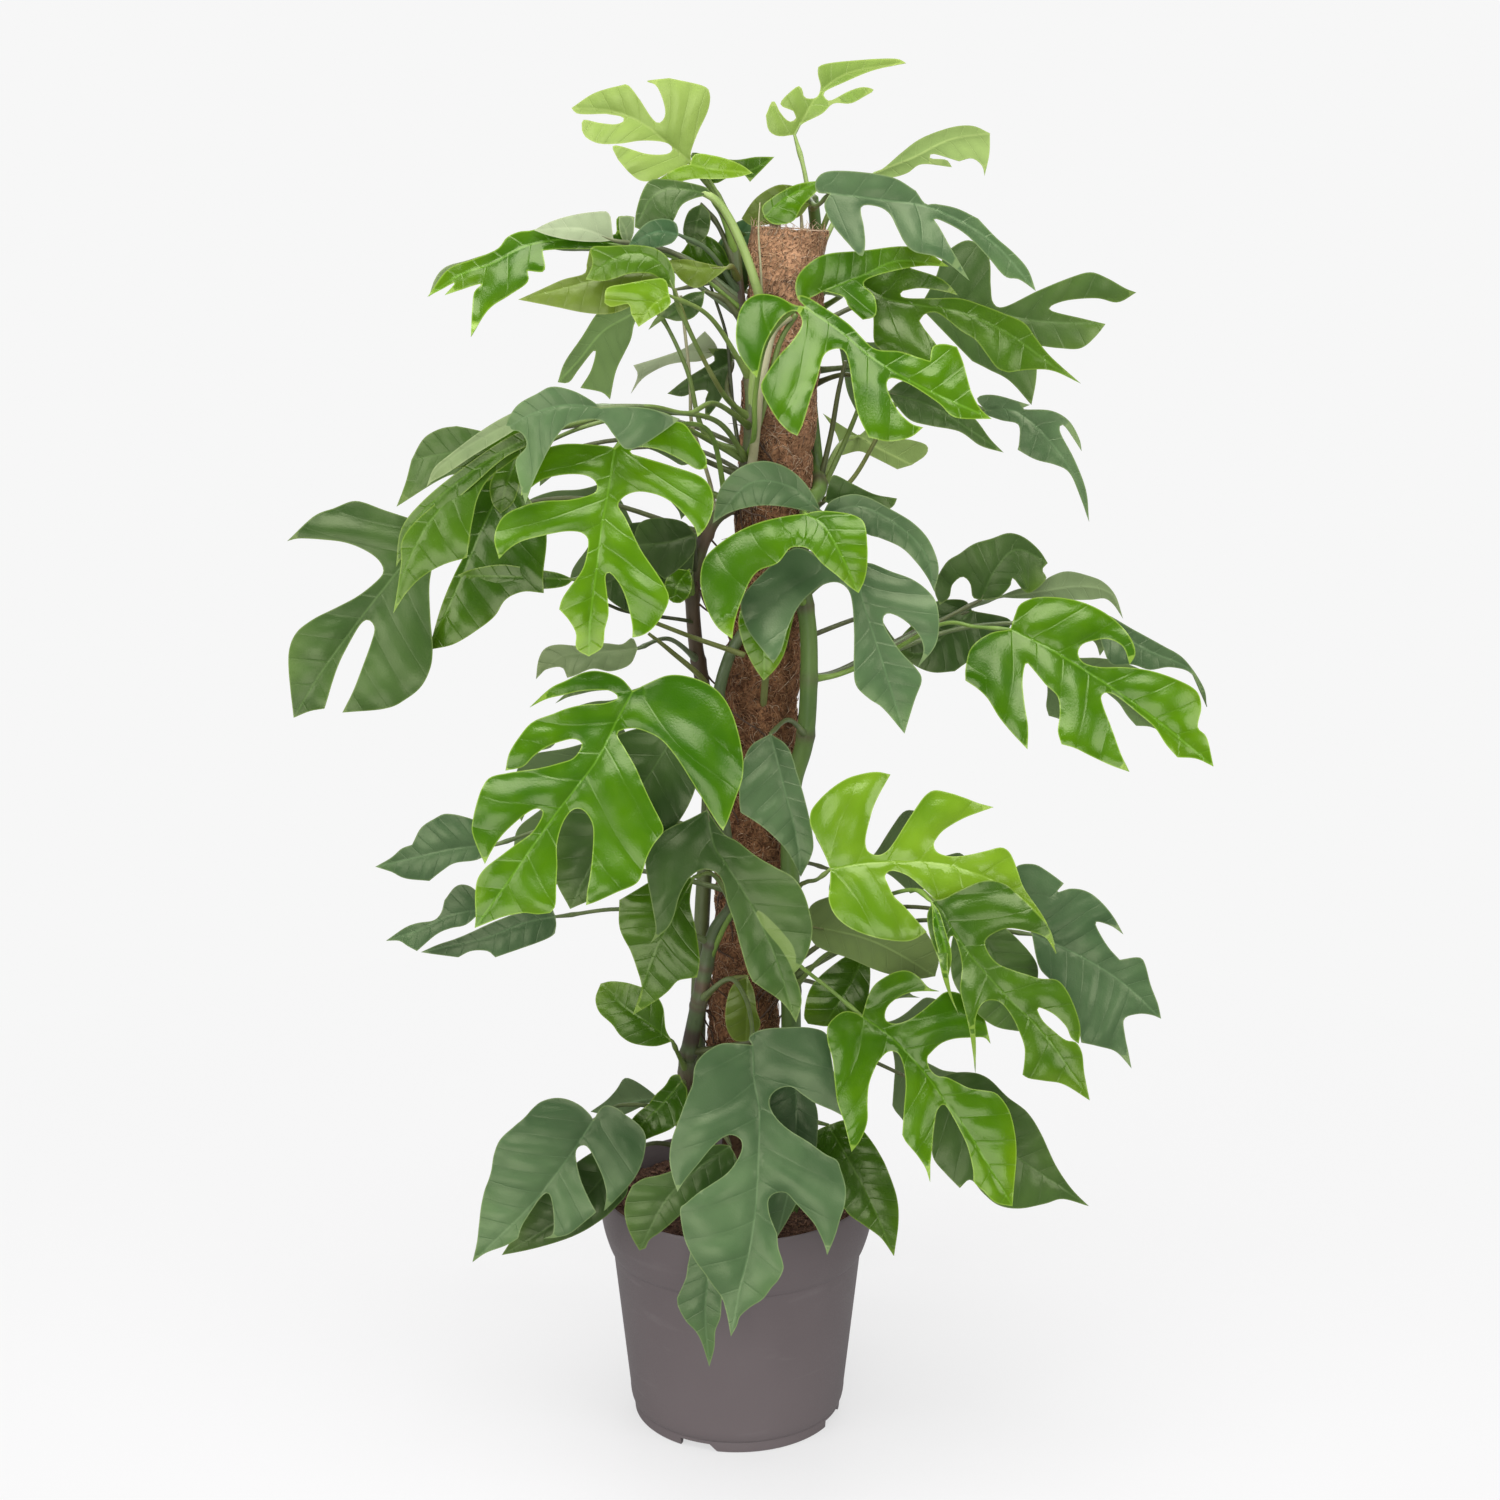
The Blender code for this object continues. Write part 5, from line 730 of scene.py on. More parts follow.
         "118,332 113,325 113,317 120,314 130,317 140,324 150,333 160,340 175,335 187,320 *193,298 "
         "188,303 178,303 165,302 155,298 147,290 145,286 147,278 153,272 160,271 168,267 178,262 "
         "190,260 198,258 205,250 210,240 214,222 215,205 214,185",
         right="90,323 82,324 75,320 69,312 69,300 73,285 75,265 77,250 82,235 *88,210 95,220 "
         "100,235 100,250 101,265 106,280 112,289 117,292 123,290 127,280 129,265 128,245 *127,224 "
         "130,218 138,208 145,197 *149,185 149,200 150,215 151,230 153,243 158,249 163,243 170,230 "
         "177,215 182,195 183,185 190,178 200,168"),
    leaf("low_right_behind", "front", 300, 108, tone="dark", tilt=0.3,
         rib="150,262 190,225 230,195 272,165",
         left="160,273 178,275 192,270 207,255 222,243 233,226 245,200 258,180",
         right="152,240 150,220 151,205 160,193 *172,180 180,187 190,176 202,166 218,163 238,167 "
         "252,171"),
    leaf("low_inner_dark", "right", 350, 88, tilt=0.2,
         rib="98,376 88,350 66,312",
         left="92,372 78,365 57,345 51,322 *54,314",
         right="101,353 98,325 *92,308 80,312"),
    leaf("low_under", "right", 385, 108, tone="olive", under=True, tilt=0.2,
         rib="52,392 90,384 118,372 150,352",
         left="58,410 90,418 118,412 140,390 152,368",
         right="60,376 85,366 110,355 135,350"),
    leaf("low_right_dark", "right", 372, 140, tone="dark", tilt=0.2,
         rib="178,402 192,370 205,340 214,308",
         left="200,392 225,365 227,345 224,325",
         right="163,385 163,350 180,325 196,312"),
    leaf("bottom_big", "front", 345, 148, tone="slate", tilt=0.3,
         stalk="-6,350,66 6,336,88 11,316,120",
         rib="12,297 13,270 17,245 17,220 16,190 14,160 10,130 3,100 -5,55",
         left="0,298 -12,298 -25,290 -32,280 -34,265 -38,255 -45,235 -50,220 -52,205 -50,190 "
         "*-46,177 -40,187 -30,200 -20,213 -12,221 -5,224 2,221 4,214 0,203 -8,192 -20,183 -30,176 "
         "-40,167 -44,163 -43,150 -40,135 -33,120 -25,108 -18,97 -12,88 -9,78 -7,68",
         right="9,303 18,309 35,311 55,311 68,306 71,292 75,270 80,252 *88,235 75,243 60,250 50,257 "
         "42,263 33,262 26,256 25,248 30,238 40,228 55,218 68,208 77,203 80,195 84,180 83,165 80,155 "
         "76,140 *70,124 67,135 60,150 52,160 45,168 38,176 30,176 25,172 24,165 26,155 *31,142 "
         "32,130 35,120 36,112 32,103 27,97 20,87 10,80 2,72 0,65"),
    leaf("bottom_sheath", "front", 340, 60, tone="olive", tilt=0.1,
         rib="8,352 8,325 7,300",
         left="-3,345 -8,330 -8,312 -2,301",
         right="13,340 15,325 18,313 12,303"),
    leaf("bottom_left_grey", "front", 240, 92, tone="slate", tilt=0.35, fold=0.15,
         stalk="-60,245,55 -90,248,78",
         rib="-110,236 -130,205 -160,165 -206,118",
         left="-113,241 -120,248 -130,253 -140,254 -150,251 -157,245 -163,238 -172,230 -182,220 "
         "-187,208 -190,192 -195,178 -198,165 -200,150 -202,135",
         right="-105,245 -100,248 -92,246 -85,240 -75,232 -70,222 -72,205 -78,190 -87,178 -97,167 "
         "*-103,161 -101,175 -104,190 -110,205 -115,214 -120,215 -124,210 -123,198 -120,185 -114,170 "
         "*-109,160 -118,152 -130,142 -140,139 *-150,138 -143,142 -142,155 -143,168 -146,176 "
         "-152,172 -160,160 -167,148 *-170,138 -180,132 -195,126"),
    leaf("bottom_left_olive", "front", 225, 66, tone="dark", tilt=0.3,
         rib="-92,205 -115,175 -145,148 -183,124",
         left="-100,215 -125,200 -150,175 -170,145",
         right="-84,180 -95,163 -110,150 -125,141 -140,135 -160,129"),
    leaf("bottom_left_under", "front", 230, -16, tone="slate", under=True,
         rib="-60,254 -78,251 -112,243",
         left="-68,261 -78,268 -86,270 -92,261 -100,252",
         right="-75,246 -88,240 -100,240"),
    leaf("bottom_left_glossy", "front", 255, 60, tilt=0.3,
         rib="-42,268 -58,248 -75,230 -88,205",
         left="-44,273 -50,272 -55,264 -62,257 -68,249 -78,240 -84,230 -87,217",
         right="-38,260 -40,245 -47,232 -54,227 -70,220 -80,212"),
    leaf("bottom_front_left", "front", 265, 112, tone="dark", tilt=0.3,
         rib="-5,215 -28,198 -55,170 -76,128",
         left="-15,216 -28,211 -45,197 -59,191 -72,188 *-81,182 -86,170 -87,157 -83,142",
         right="0,200 -12,185 -30,172 -40,162 -50,152 -60,143 -68,137 *-71,130"),
    leaf("bottom_tip", "front", 250, 126, tone="slate", tilt=0.2,
         rib="-15,150 -22,110 -25,75 -22,29",
         left="-32,140 -38,118 -40,105 *-47,88 -46,80 -40,68 -33,60 -28,50",
         right="-5,130 -8,110 -12,88 -13,72 -17,60 -18,45"),
    leaf("bottom_right_dark", "front", 235, 96, tilt=0.3,
         rib="70,232 85,205 105,165 122,123",
         left="85,236 98,226 110,208 118,190 124,170 125,150",
         right="60,225 62,205 75,180 85,160 100,148 112,138"),
    leaf("bottom_behind", "front", 270, 112, tone="slate", tilt=0.2,
         rib="45,275 45,225 40,180 31,139",
         left="28,262 22,230 20,190 24,160",
         right="60,250 62,225 58,195 48,172 40,155"),
    leaf("crown_behind_pole", "right", 918, -6, tone="olive", tilt=0.1,
         rib="52,921 30,923 4,911",
         left="46,931 30,934 14,925", right="44,912 28,908 12,906"),
    leaf("crown_dark_behind", "left", 852, -20, tone="deep", tilt=0.1,
         rib="-12,862 -4,880 8,900",
         left="-17,870 -14,884 -8,896 0,903", right="2,858 10,866 13,880"),
    leaf("middle_deep_leaf", "left", 648, 20, tone="deep", tilt=0.2,
         rib="-30,676 -62,668 -100,650",
         left="-40,690 -66,697 -92,690 -104,668",
         right="-34,654 -50,640 -72,630 -90,638"),
    leaf("middle_small_bright", "left", 640, 34, tone="bright", tilt=0.1,
         rib="-34,662 -42,652 -46,638",
         left="-46,662 -52,652 -50,642", right="-32,654 -34,644 -40,638"),
]

# Leaves of the back stem: copies of front leaves, smaller and straight behind them,
# as name, leaf copied, joint height, depth and size.
BACK_LEAVES = [
    ("back_mid_left", "mid_bright", 715, -95, 0.80),
    ("back_low_left", "low_left_big", 530, -100, 0.75),
    ("back_low_right", "low_right_glossy", 420, -95, 0.75),
    ("back_low_right_down", "low_right_bright", 340, -104, 0.75),
    ("back_centre", "centre_dark", 650, -88, 0.85),
    ("back_high_right", "right_bright", 835, -98, 0.80),
    ("back_high_left", "left_olive", 850, -78, 0.85),
    ("back_right", "right_big", 600, -88, 0.75),
    ("back_bottom", "bottom_big", 300, -130, 0.75),
    ("back_left", "mid_folded", 735, -84, 0.75),
]


def read_points(text):
    """Read "x,z *x,z" into (x, z, sharp) rows."""
    rows = []
    for item in text.split():
        x, z = item.lstrip("*").split(",")
        rows.append((float(x), float(z), item.startswith("*")))
    return rows


def in_front(x, z, depth):
    """The point that VIEW sees at (x, z) and that lies depth in front of the plane."""
    share = (-VIEW.y - depth * MM) / -VIEW.y
    return VIEW + (Vector((x * MM, 0.0, z * MM)) - VIEW) * share


def read_route(text):
    """Read "x,z,depth" triples into points in space."""
    return [in_front(*(float(v) for v in item.split(","))) for item in text.split()]


def smooth_route(points, steps):
    """A curve through the points, with steps pieces from each to the next."""
    ends = [2 * points[0] - points[1]] + points + [2 * points[-1] - points[-2]]
    out = []
    for i in range(1, len(ends) - 2):
        a, b, c, d = ends[i - 1:i + 3]
        for k in range(steps):
            t = k / steps
            out.append(0.5 * (2 * b + (c - a) * t + (2 * a - 5 * b + 4 * c - d) * t * t
                              + (3 * b - a - 3 * c + d) * t * t * t))
    out.append(points[-1])
    return out


def resampled(points, spacing):
    """Points at an even spacing along a line, with its ends kept."""
    points = np.asarray(points, float)
    steps = np.linalg.norm(np.diff(points, axis=0), axis=1)
    run = np.concatenate([[0.0], np.cumsum(steps)])
    count = max(2, int(round(run[-1] / spacing)) + 1)
    at = np.linspace(0.0, run[-1], count)
    return np.stack([np.interp(at, run, points[:, k])
                     for k in range(points.shape[1])], axis=1)


def flowing(rows, spacing):
    """A line that turns softly at plain points and keeps the sharp ones."""
    pieces = []
    start = 0
    for i in range(1, len(rows)):
        if rows[i][2] or i == len(rows) - 1:
            run = [Vector(row[:2]) for row in rows[start:i + 1]]
            curve = smooth_route(run, 6) if len(run) > 2 else run
            pieces.append(resampled([tuple(p) for p in curve], spacing))
            start = i
    return np.concatenate([pieces[0]] + [piece[1:] for piece in pieces[1:]])


def segment_distances(points, line):
    """For each point the distance to a line, how far along, and which side."""
    first, last = line[:-1], line[1:]
    span = last - first
    length = np.linalg.norm(span, axis=1)
    run = np.concatenate([[0.0], np.cumsum(length)])
    rel = points[:, None, :] - first[None]
    share = np.clip((rel * span).sum(2) / (length ** 2 + 1e-12), 0.0, 1.0)
    off = rel - share[..., None] * span[None]
    distance = np.linalg.norm(off, axis=2)
    best = distance.argmin(axis=1)
    rows = np.arange(len(points))
    along = (run[best] + share[rows, best] * length[best]) / run[-1]
    cross = span[best, 0] * off[rows, best, 1] - span[best, 1] * off[rows, best, 0]
    return distance[rows, best], along, np.sign(cross)


def inside(points, outline):
    """Which points lie within a closed outline."""
    hit = np.zeros(len(points), bool)
    x, z = points[:, 0], points[:, 1]
    for a, b in zip(outline, np.roll(outline, -1, axis=0)):
        crosses = (a[1] > z) != (b[1] > z)
        if crosses.any():
            at = (b[0] - a[0]) * (z - a[1]) / (b[1] - a[1] + 1e-12) + a[0]
            hit ^= crosses & (x < at)
    return hit


def blade_net(row, spacing):
    """The blade's flat triangle net in the picture plane, in millimetres."""
    rib_rows = read_points(row["rib"])
    rib_line = [Vector(p[:2]) for p in rib_rows]
    rib = resampled([tuple(p) for p in smooth_route(rib_line, 8)], spacing)
    ends = ([(*rib_rows[0][:2], True)], [(*rib_rows[-1][:2], True)])
    left = flowing(ends[0] + read_points(row["left"]) + ends[1], EDGE_SPACING)
    right = flowing(ends[0] + read_points(row["right"]) + ends[1], EDGE_SPACING)
    outline = np.concatenate([left, right[-2:0:-1]])
    closed = np.concatenate([outline, outline[:1]])
    tangent = np.gradient(rib, axis=0)
    tangent /= np.linalg.norm(tangent, axis=1)[:, None] + 1e-12
    across = np.stack([-tangent[:, 1], tangent[:, 0]], axis=1)
    banks = np.concatenate([rib + across * RIB_GROOVE, rib - across * RIB_GROOVE])
    banks = well_inside(banks, outline, closed, 0.8)
    inner = well_inside(rib[1:-1], outline, closed, 0.5)
    grid = net_grid(outline, closed, rib, spacing)
    points = np.concatenate([outline, inner, banks, grid])
    count = len(outline)
    edges = [(i, (i + 1) % count) for i in range(count)]
    chain = [0] + list(range(count, count + len(inner))) + [len(left) - 1]
    edges += list(zip(chain, chain[1:]))
    flat, faces = triangulated(points, edges)
    return flat, faces, rib, closed


def well_inside(points, outline, closed, gap):
    """The points that lie within an outline and clear of its edge."""
    points = points[inside(points, outline)]
    return points[segment_distances(points, closed)[0] > gap]


def net_grid(outline, closed, rib, spacing):
    """Points in staggered rows, clear of the blade's edge and of its midrib."""
    low, high = outline.min(0), outline.max(0)
    xs = np.arange(low[0], high[0], spacing)
    zs = np.arange(low[1], high[1], spacing * 0.87)
    grid = np.array([(x + (0.5 * spacing if k % 2 else 0.0), z)
                     for k, z in enumerate(zs) for x in xs])
    grid = well_inside(grid, outline, closed, spacing * 0.45)
    near_rib = segment_distances(grid, rib)[0]
    return grid[near_rib > RIB_GROOVE + spacing * 0.4]


def triangulated(points, edges):
    """A triangle net of flat points that keeps the given edges."""
    flat, _, faces, *_ = delaunay_2d_cdt([Vector(p) for p in points], edges, [], 1, 1e-4)
    flat = np.array([tuple(p) for p in flat])
    faces = np.array(faces, dtype=int)
    used = np.unique(faces)
    renumber = -np.ones(len(flat), int)
    renumber[used] = np.arange(len(used))
    return flat[used], renumber[faces]


def blade_depths(row, flat, rib):
    """How far in front of the plane each point of the net lies."""
    off, along, _ = segment_distances(flat, rib)
    soft = np.sqrt(off ** 2 + 9.0) - 3.0
    return (row["depth"] + row["tilt"] * (rib[0][1] - flat[:, 1])
            + row["fold"] * soft - row["curl"] * (off / CURL_REACH) ** 2
            + row["arch"] * 4 * along * (1 - along))


def softened(values, faces, rounds):
    """Average each value with its neighbours', a few times over."""
    pairs = face_edges(faces)
    for _ in range(rounds):
        total = np.zeros(len(values))
        count = np.zeros(len(values))
        for a, b in ((0, 1), (1, 0)):
            np.add.at(total, pairs[:, a], values[pairs[:, b]])
            np.add.at(count, pairs[:, a], 1.0)
        values = 0.5 * values + 0.5 * total / np.maximum(count, 1.0)
    return values


def vertex_normals(points, faces):
    """Area-weighted vertex normals of a triangle net."""
    face = np.cross(points[faces[:, 1]] - points[faces[:, 0]],
                    points[faces[:, 2]] - points[faces[:, 0]])
    normals = np.zeros_like(points)
    for k in range(3):
        np.add.at(normals, faces[:, k], face)
    return normals / (np.linalg.norm(normals, axis=1)[:, None] + 1e-12)


def make_blade(row, finishes):
    """One fine leaf blade with its midrib, side veins, quilting and wavy margin."""
    flat, faces, rib, closed = blade_net(row, BLADE_SPACING)
    off, along, hand = segment_distances(flat, rib)
    edge = segment_distances(flat, closed)[0]
    length = np.linalg.norm(np.diff(rib, axis=0), axis=1).sum()
    pitch = max(VEIN_GAP, length / VEIN_PAIRS)
    phase = (along * length - VEIN_SLANT * off + VEIN_BEND * off ** 2
             + VEIN_STAGGER * pitch * hand) / pitch
    depths = softened(blade_depths(row, flat, rib), faces, 6)
    depths += blade_relief(row, flat, faces, off, edge, phase)
    points, faces, normals = facing_net(row, flat, faces, depths)
    mesh = blade_mesh(row["name"], points, faces, normals, off, along, finishes)
    shade = np.full(len(flat), random.Random(row["name"] + "_shade").random())
    for name, values in (("rib_mm", off), ("vein_phase", phase), ("edge_mm", edge),
                         ("along", along), ("leaf_shade", shade)):
        add_layer(mesh, name, np.concatenate([values, values]))
    mesh.set_sharp_from_angle(angle=BLADE_SHARP)
    seat_on_stem(mesh, row["stem"])


def facing_net(row, flat, faces, depths):
    """The net set in space, turned so that its upper side faces the right way."""
    share = (-VIEW.y - depths * MM) / -VIEW.y
    on_plane = np.stack([flat[:, 0] * MM, np.zeros(len(flat)), flat[:, 1] * MM], axis=1)
    eye = np.array(VIEW)
    points = eye + (on_plane - eye) * share[:, None]
    normals = vertex_normals(points, faces)
    toward = ((eye - points) * normals).sum(1).mean()
    if (toward < 0) != row["under"]:
        return points, faces[:, ::-1], -normals
    return points, faces, normals


def blade_mesh(name, points, faces, normals, off, along, finishes):
    """A closed thin blade, grooved along its rib above and ridged below."""
    groove = np.exp(-(off / RIB_WIDTH) ** 2) * (1.0 - 0.6 * along)
    top = points + normals * (BLADE_HALF - groove * RIB_DIP)[:, None]
    bottom = points - normals * (BLADE_HALF + groove * RIB_RIDGE)[:, None]
    count = len(points)
    directed = face_edges(faces)
    _, first, uses = np.unique(np.sort(directed, axis=1), axis=0, return_index=True,
                               return_counts=True)
    rim = directed[first[uses == 1]]
    polygons = faces.tolist() + (faces[:, ::-1] + count).tolist()
    polygons += [(b, a, a + count, b + count) for a, b in rim.tolist()]
    upper, lower = finishes
    verts = np.concatenate([top, bottom]).tolist()
    mesh = smooth_mesh(name, verts, polygons, upper)
    mesh.materials.append(lower)
    sides = [0] * len(faces) + [1] * (len(faces) + len(rim))
    mesh.polygons.foreach_set("material_index", sides)
    return mesh


def face_edges(faces):
    """The three edges of every triangle, in its own turning sense."""
    return np.concatenate([faces[:, [0, 1]], faces[:, [1, 2]], faces[:, [2, 0]]])


def add_layer(mesh, name, values):
    """Store one value for each point of a mesh, for its material to read."""
    layer = mesh.attributes.new(name, "FLOAT", "POINT")
    layer.data.foreach_set("value", values)


def blade_relief(row, flat, faces, off, edge, phase):
    """Domed lobes, quilting between the side veins and slow waves, in millimetres."""
    chance = random.Random(row["name"])
    dome = softened(LOBE_DOME * (1.0 - np.exp(-edge / DOME_REACH)), faces, 5)
    near = np.minimum(off / 8.0, 1.0)
    quilt = QUILT * near * np.abs(np.sin(np.pi * phase)) ** 0.8
    quilt *= 1.0 - np.exp(-edge / QUILT_REACH)
    wave = np.zeros(len(flat))
    for size, length in WAVES:
        heading = chance.uniform(0.0, 2 * math.pi)
        across = flat[:, 0] * math.cos(heading) + flat[:, 1] * math.sin(heading)
        wave += size * np.sin(across * 2 * math.pi / length + chance.uniform(0, 6.28))
    lobes = LOBE_SWAY * np.clip(off / 40.0, 0.0, 1.0)
    lobes = lobes * np.sin(phase * math.pi + chance.uniform(0.0, 6.28))
    up = -1.0 if row["under"] else 1.0
    return up * (dome + quilt) + wave * np.clip(off / 15.0, 0.0, 1.0) + lobes


def placed(name, data):
    """A new object in the scene."""
    made = bpy.data.objects.new(name, data)
    bpy.context.scene.collection.objects.link(made)
    return made


def stand_for(piece, node):
    """Let a piece ride the one body and stand for a node of the frame."""
    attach(piece, "root")
    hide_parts(node)


def seat(mesh, node):
    """Show a mesh as a piece that stands for a node of the frame."""
    stand_for(placed(mesh.name, mesh), node)


def seat_on_stem(mesh, stem):
    """Show a green or brown part of one of the stems."""
    seat(mesh, stem + "_leafy_stem")


def smooth_mesh(name, verts, faces, finish):
    """A smoothly shaded mesh with one finish."""
    mesh = bpy.data.meshes.new(name)
    mesh.from_pydata(verts, [], faces)
    mesh.materials.append(finish)
    mesh.shade_smooth()
    return mesh


def band(low, high, sides):
    """The faces between two rings of points, whose first points are low and high."""
    return [(low + i, low + (i + 1) % sides, high + (i + 1) % sides, high + i)
            for i in range(sides)]


def tube_data(route, radii, sides):
    """The points and faces of a closed tube, with radii in millimetres."""
    verts = []
    across = Vector((1.0, 0.0, 0.0))
    for i, point in enumerate(route):
        ahead = route[min(i + 1, len(route) - 1)] - route[max(i - 1, 0)]
        ahead.normalize()
        if abs(across.dot(ahead)) > 0.95:
            across = Vector((0.0, 1.0, 0.0))
        across = (across - ahead * across.dot(ahead)).normalized()
        other = ahead.cross(across)
        for k in range(sides):
            turn = 2 * math.pi * k / sides
            offset = across * math.cos(turn) + other * math.sin(turn)
            verts.append(tuple(point + offset * radii[i] * MM))
    faces = []
    last = (len(route) - 1) * sides
    for low in range(0, last, sides):
        faces += band(low, low + sides, sides)
    faces.append(tuple(range(sides - 1, -1, -1)))
    faces.append(tuple(range(last, last + sides)))
    return verts, faces


def blade_point(row, x, z):
    """The point of the blade's middle at (x, z) of its picture."""
    rib = np.array([p[:2] for p in read_points(row["rib"])])
    depth = blade_depths(row, np.array([[x, z]]), rib)[0]
    return in_front(x, z, depth)


def make_petiole(row, stem_route, finish):
    """A petiole: a clasping sheath at the stem and a swollen joint at the blade."""
    rib = [Vector(p[:2]) for p in read_points(row["rib"])]
    base = blade_point(row, *rib[0])
    share = min(0.5, PETIOLE_RUN / (rib[1] - rib[0]).length)
    end = blade_point(row, *rib[0].lerp(rib[1], share))
    start = min(stem_route, key=lambda point: abs(point.z - row["joint"] * MM))
    via = read_route(row["stalk"])
    if not via:
        rise = Vector((0.0, 0.0, 0.12 * (base - start).length))
        via = [start.lerp(base, 0.5) + rise]
    route = smooth_route([start] + via + [base], 10) + smooth_route([base, end], 4)[1:]
    tube = tube_data(route, petiole_radii(route), PETIOLE_SIDES)
    seat_on_stem(smooth_mesh(row["name"] + "_petiole", *tube, finish), row["stem"])


def petiole_radii(route):
    """Wide at the stem, swollen before the blade and slender along its midrib."""
    run = [0.0]
    for a, b in zip(route, route[1:]):
        run.append(run[-1] + (b - a).length / MM)
    whole = run[-1]
    joint_at = whole - PETIOLE_RUN - JOINT_BACK
    radii = []
    for at in run:
        share = at / whole
        radius = PETIOLE_RADIUS + (PETIOLE_END_RADIUS - PETIOLE_RADIUS) * share
        radius += SHEATH_SWELL * math.exp(-(at / SHEATH_LENGTH) ** 2)
        radius += JOINT_SWELL * math.exp(-((at - joint_at) / JOINT_LENGTH) ** 2)
        radius *= 1.0 - 0.55 * max(0.0, (at - whole + PETIOLE_RUN) / PETIOLE_RUN)
        radii.append(radius)
    return radii


def shrunk(text, base, size):
    """The same points drawn nearer to the blade's base."""
    rows = []
    for x, z, sharp in read_points(text):
        star = "*" if sharp else ""
        rows.append(f"{star}{base[0] + (x - base[0]) * size:.1f},"
                    f"{base[1] + (z - base[1]) * size:.1f}")
    return " ".join(rows)


def back_leaves():
    """The back stem's leaves, which face away and hang away from the viewer."""
    rows = []
    for name, source, joint, depth, size in BACK_LEAVES:
        row = dict(next(item for item in LEAVES if item["name"] == source))
        base = read_points(row["rib"])[0]
        for part in ("rib", "left", "right"):
            row[part] = shrunk(row[part], base, size)
        row.update(name=name, stem="back", joint=joint, depth=depth, stalk="",
                   tilt=-0.3, fold=-0.12, curl=-3.0, arch=-5.0, under=True,
                   tone="dark")
        rows.append(row)
    return rows


def make_plants(leaf_looks, petiole_looks, stem_looks, root_look):
    """Every stem with its nodes, petioles, blades and aerial roots."""
    rows = LEAVES + back_leaves()
    for name, (text, low_radius, high_radius) in STEMS.items():
        points = read_route(text)
        foot = points[0].copy()
        foot.z = STEM_FOOT_Z
        route = smooth_route([foot] + points, 10)
        joints = [row["joint"] * MM for row in rows if row["stem"] == name]
        make_stem(name, route, low_radius, high_radius, joints, stem_looks[name])
        make_roots(name, route, joints, root_look)
        for row in rows:
            if row["stem"] == name:
                make_petiole(row, route, petiole_looks[row["tone"]])
                make_blade(row, leaf_looks[row["tone"]])


def make_loose_stalks(petiole_looks):
    """Old petioles and sheaths whose leaves are hidden or gone."""
    for name, stem, tone, low, high, text in LOOSE_STALKS:
        route = smooth_route(read_route(text), 8)
        last = len(route) - 1
        radii = [low + (high - low) * i / last for i in range(last + 1)]
        tube = tube_data(route, radii, PETIOLE_SIDES)
        seat_on_stem(smooth_mesh(name, *tube, petiole_looks[tone]), stem)


def make_stem(name, route, low_radius, high_radius, joints, finish):
    """A stem with a raised ring at each node."""
    radii, bark = [], []
    last = len(route) - 1
    for i, point in enumerate(route):
        ring = max((math.exp(-((point.z - z) / NODE_HALF) ** 2) for z in joints),
                   default=0)
        ring *= min(1.0, max(0.0, (YOUNG_WOOD - point.z) / 0.03))
        radius = low_radius + (high_radius - low_radius) * i / last
        radii.append(radius + NODE_SWELL * ring)
        woody = max((math.exp(-((point.z - z) / reach) ** 4)
                     for z, reach in WOODY[name]), default=0.0)
        bark.append(max(0.8 * ring, woody))
    mesh = smooth_mesh(name + "_stem", *tube_data(route, radii, STEM_SIDES), finish)
    add_layer(mesh, "bark", np.repeat(bark, STEM_SIDES))
    seat_on_stem(mesh, name)


def make_roots(name, route, joints, finish):
    """Thin brown aerial roots that run from the nodes into the coir."""
    chance = random.Random(name)
    verts, faces = [], []
    for z in sorted({z for z in joints if z < YOUNG_WOOD}):
        start = min(route, key=lambda point: abs(point.z - z))
        for _ in range(1 + (chance.random() < 0.4)):
            reach = pole_point(start.z - chance.uniform(0.010, 0.050))
            out = start - reach
            out.z = 0.0
            out.normalize()
            out.rotate(Matrix.Rotation(chance.uniform(-0.9, 0.9), 3, "Z"))
            landing = reach + out * COIR_RADIUS
            middle = start.lerp(landing, 0.5) + out * chance.uniform(0.0, 0.006)
            tail = landing + Vector((0, 0, -chance.uniform(0.01, 0.04)))
            line = smooth_route([start, middle, landing, tail], 6)
            radii = [0.9 - 0.5 * i / (len(line) - 1) for i in range(len(line))]
            add_tube(verts, faces, line, radii, 6)
    seat_on_stem(smooth_mesh(name + "_aerial_roots", verts, faces, finish), name)


def make_tangle(finish):
    """Dry, dark rootlets that stand out from the sleeve's left side."""
    chance = random.Random(23)
    verts, faces = [], []
    for _ in range(ROOTLETS):
        high = chance.random() < 0.8
        z = chance.uniform(0.735, 0.885) if high else chance.uniform(0.56, 0.70)
        turn = math.pi + chance.gauss(0.0, 0.45)
        point = pole_surface(turn, z, COIR_RADIUS - 0.001)
        step = Vector((-chance.uniform(0.4, 1.0), chance.uniform(-0.6, 0.6),
                       chance.uniform(-1.0, 0.6)))
        line = [point]
        for _ in range(6):
            step += Vector(chance.uniform(-0.7, 0.7) for _ in range(3))
            point = point + step.normalized() * ROOTLET_STEP
            line.append(point)
        add_tube(verts, faces, line, ROOTLET_RADII, 4)
    seat_on_stem(smooth_mesh("dry_rootlets", verts, faces, finish), "left")


def pole_point(z):
    """The point of the pole's axis at height z."""
    share = (z - POLE_AT.z) / (POLE_TOP_AT.z - POLE_AT.z)
    return POLE_AT.lerp(POLE_TOP_AT, share)


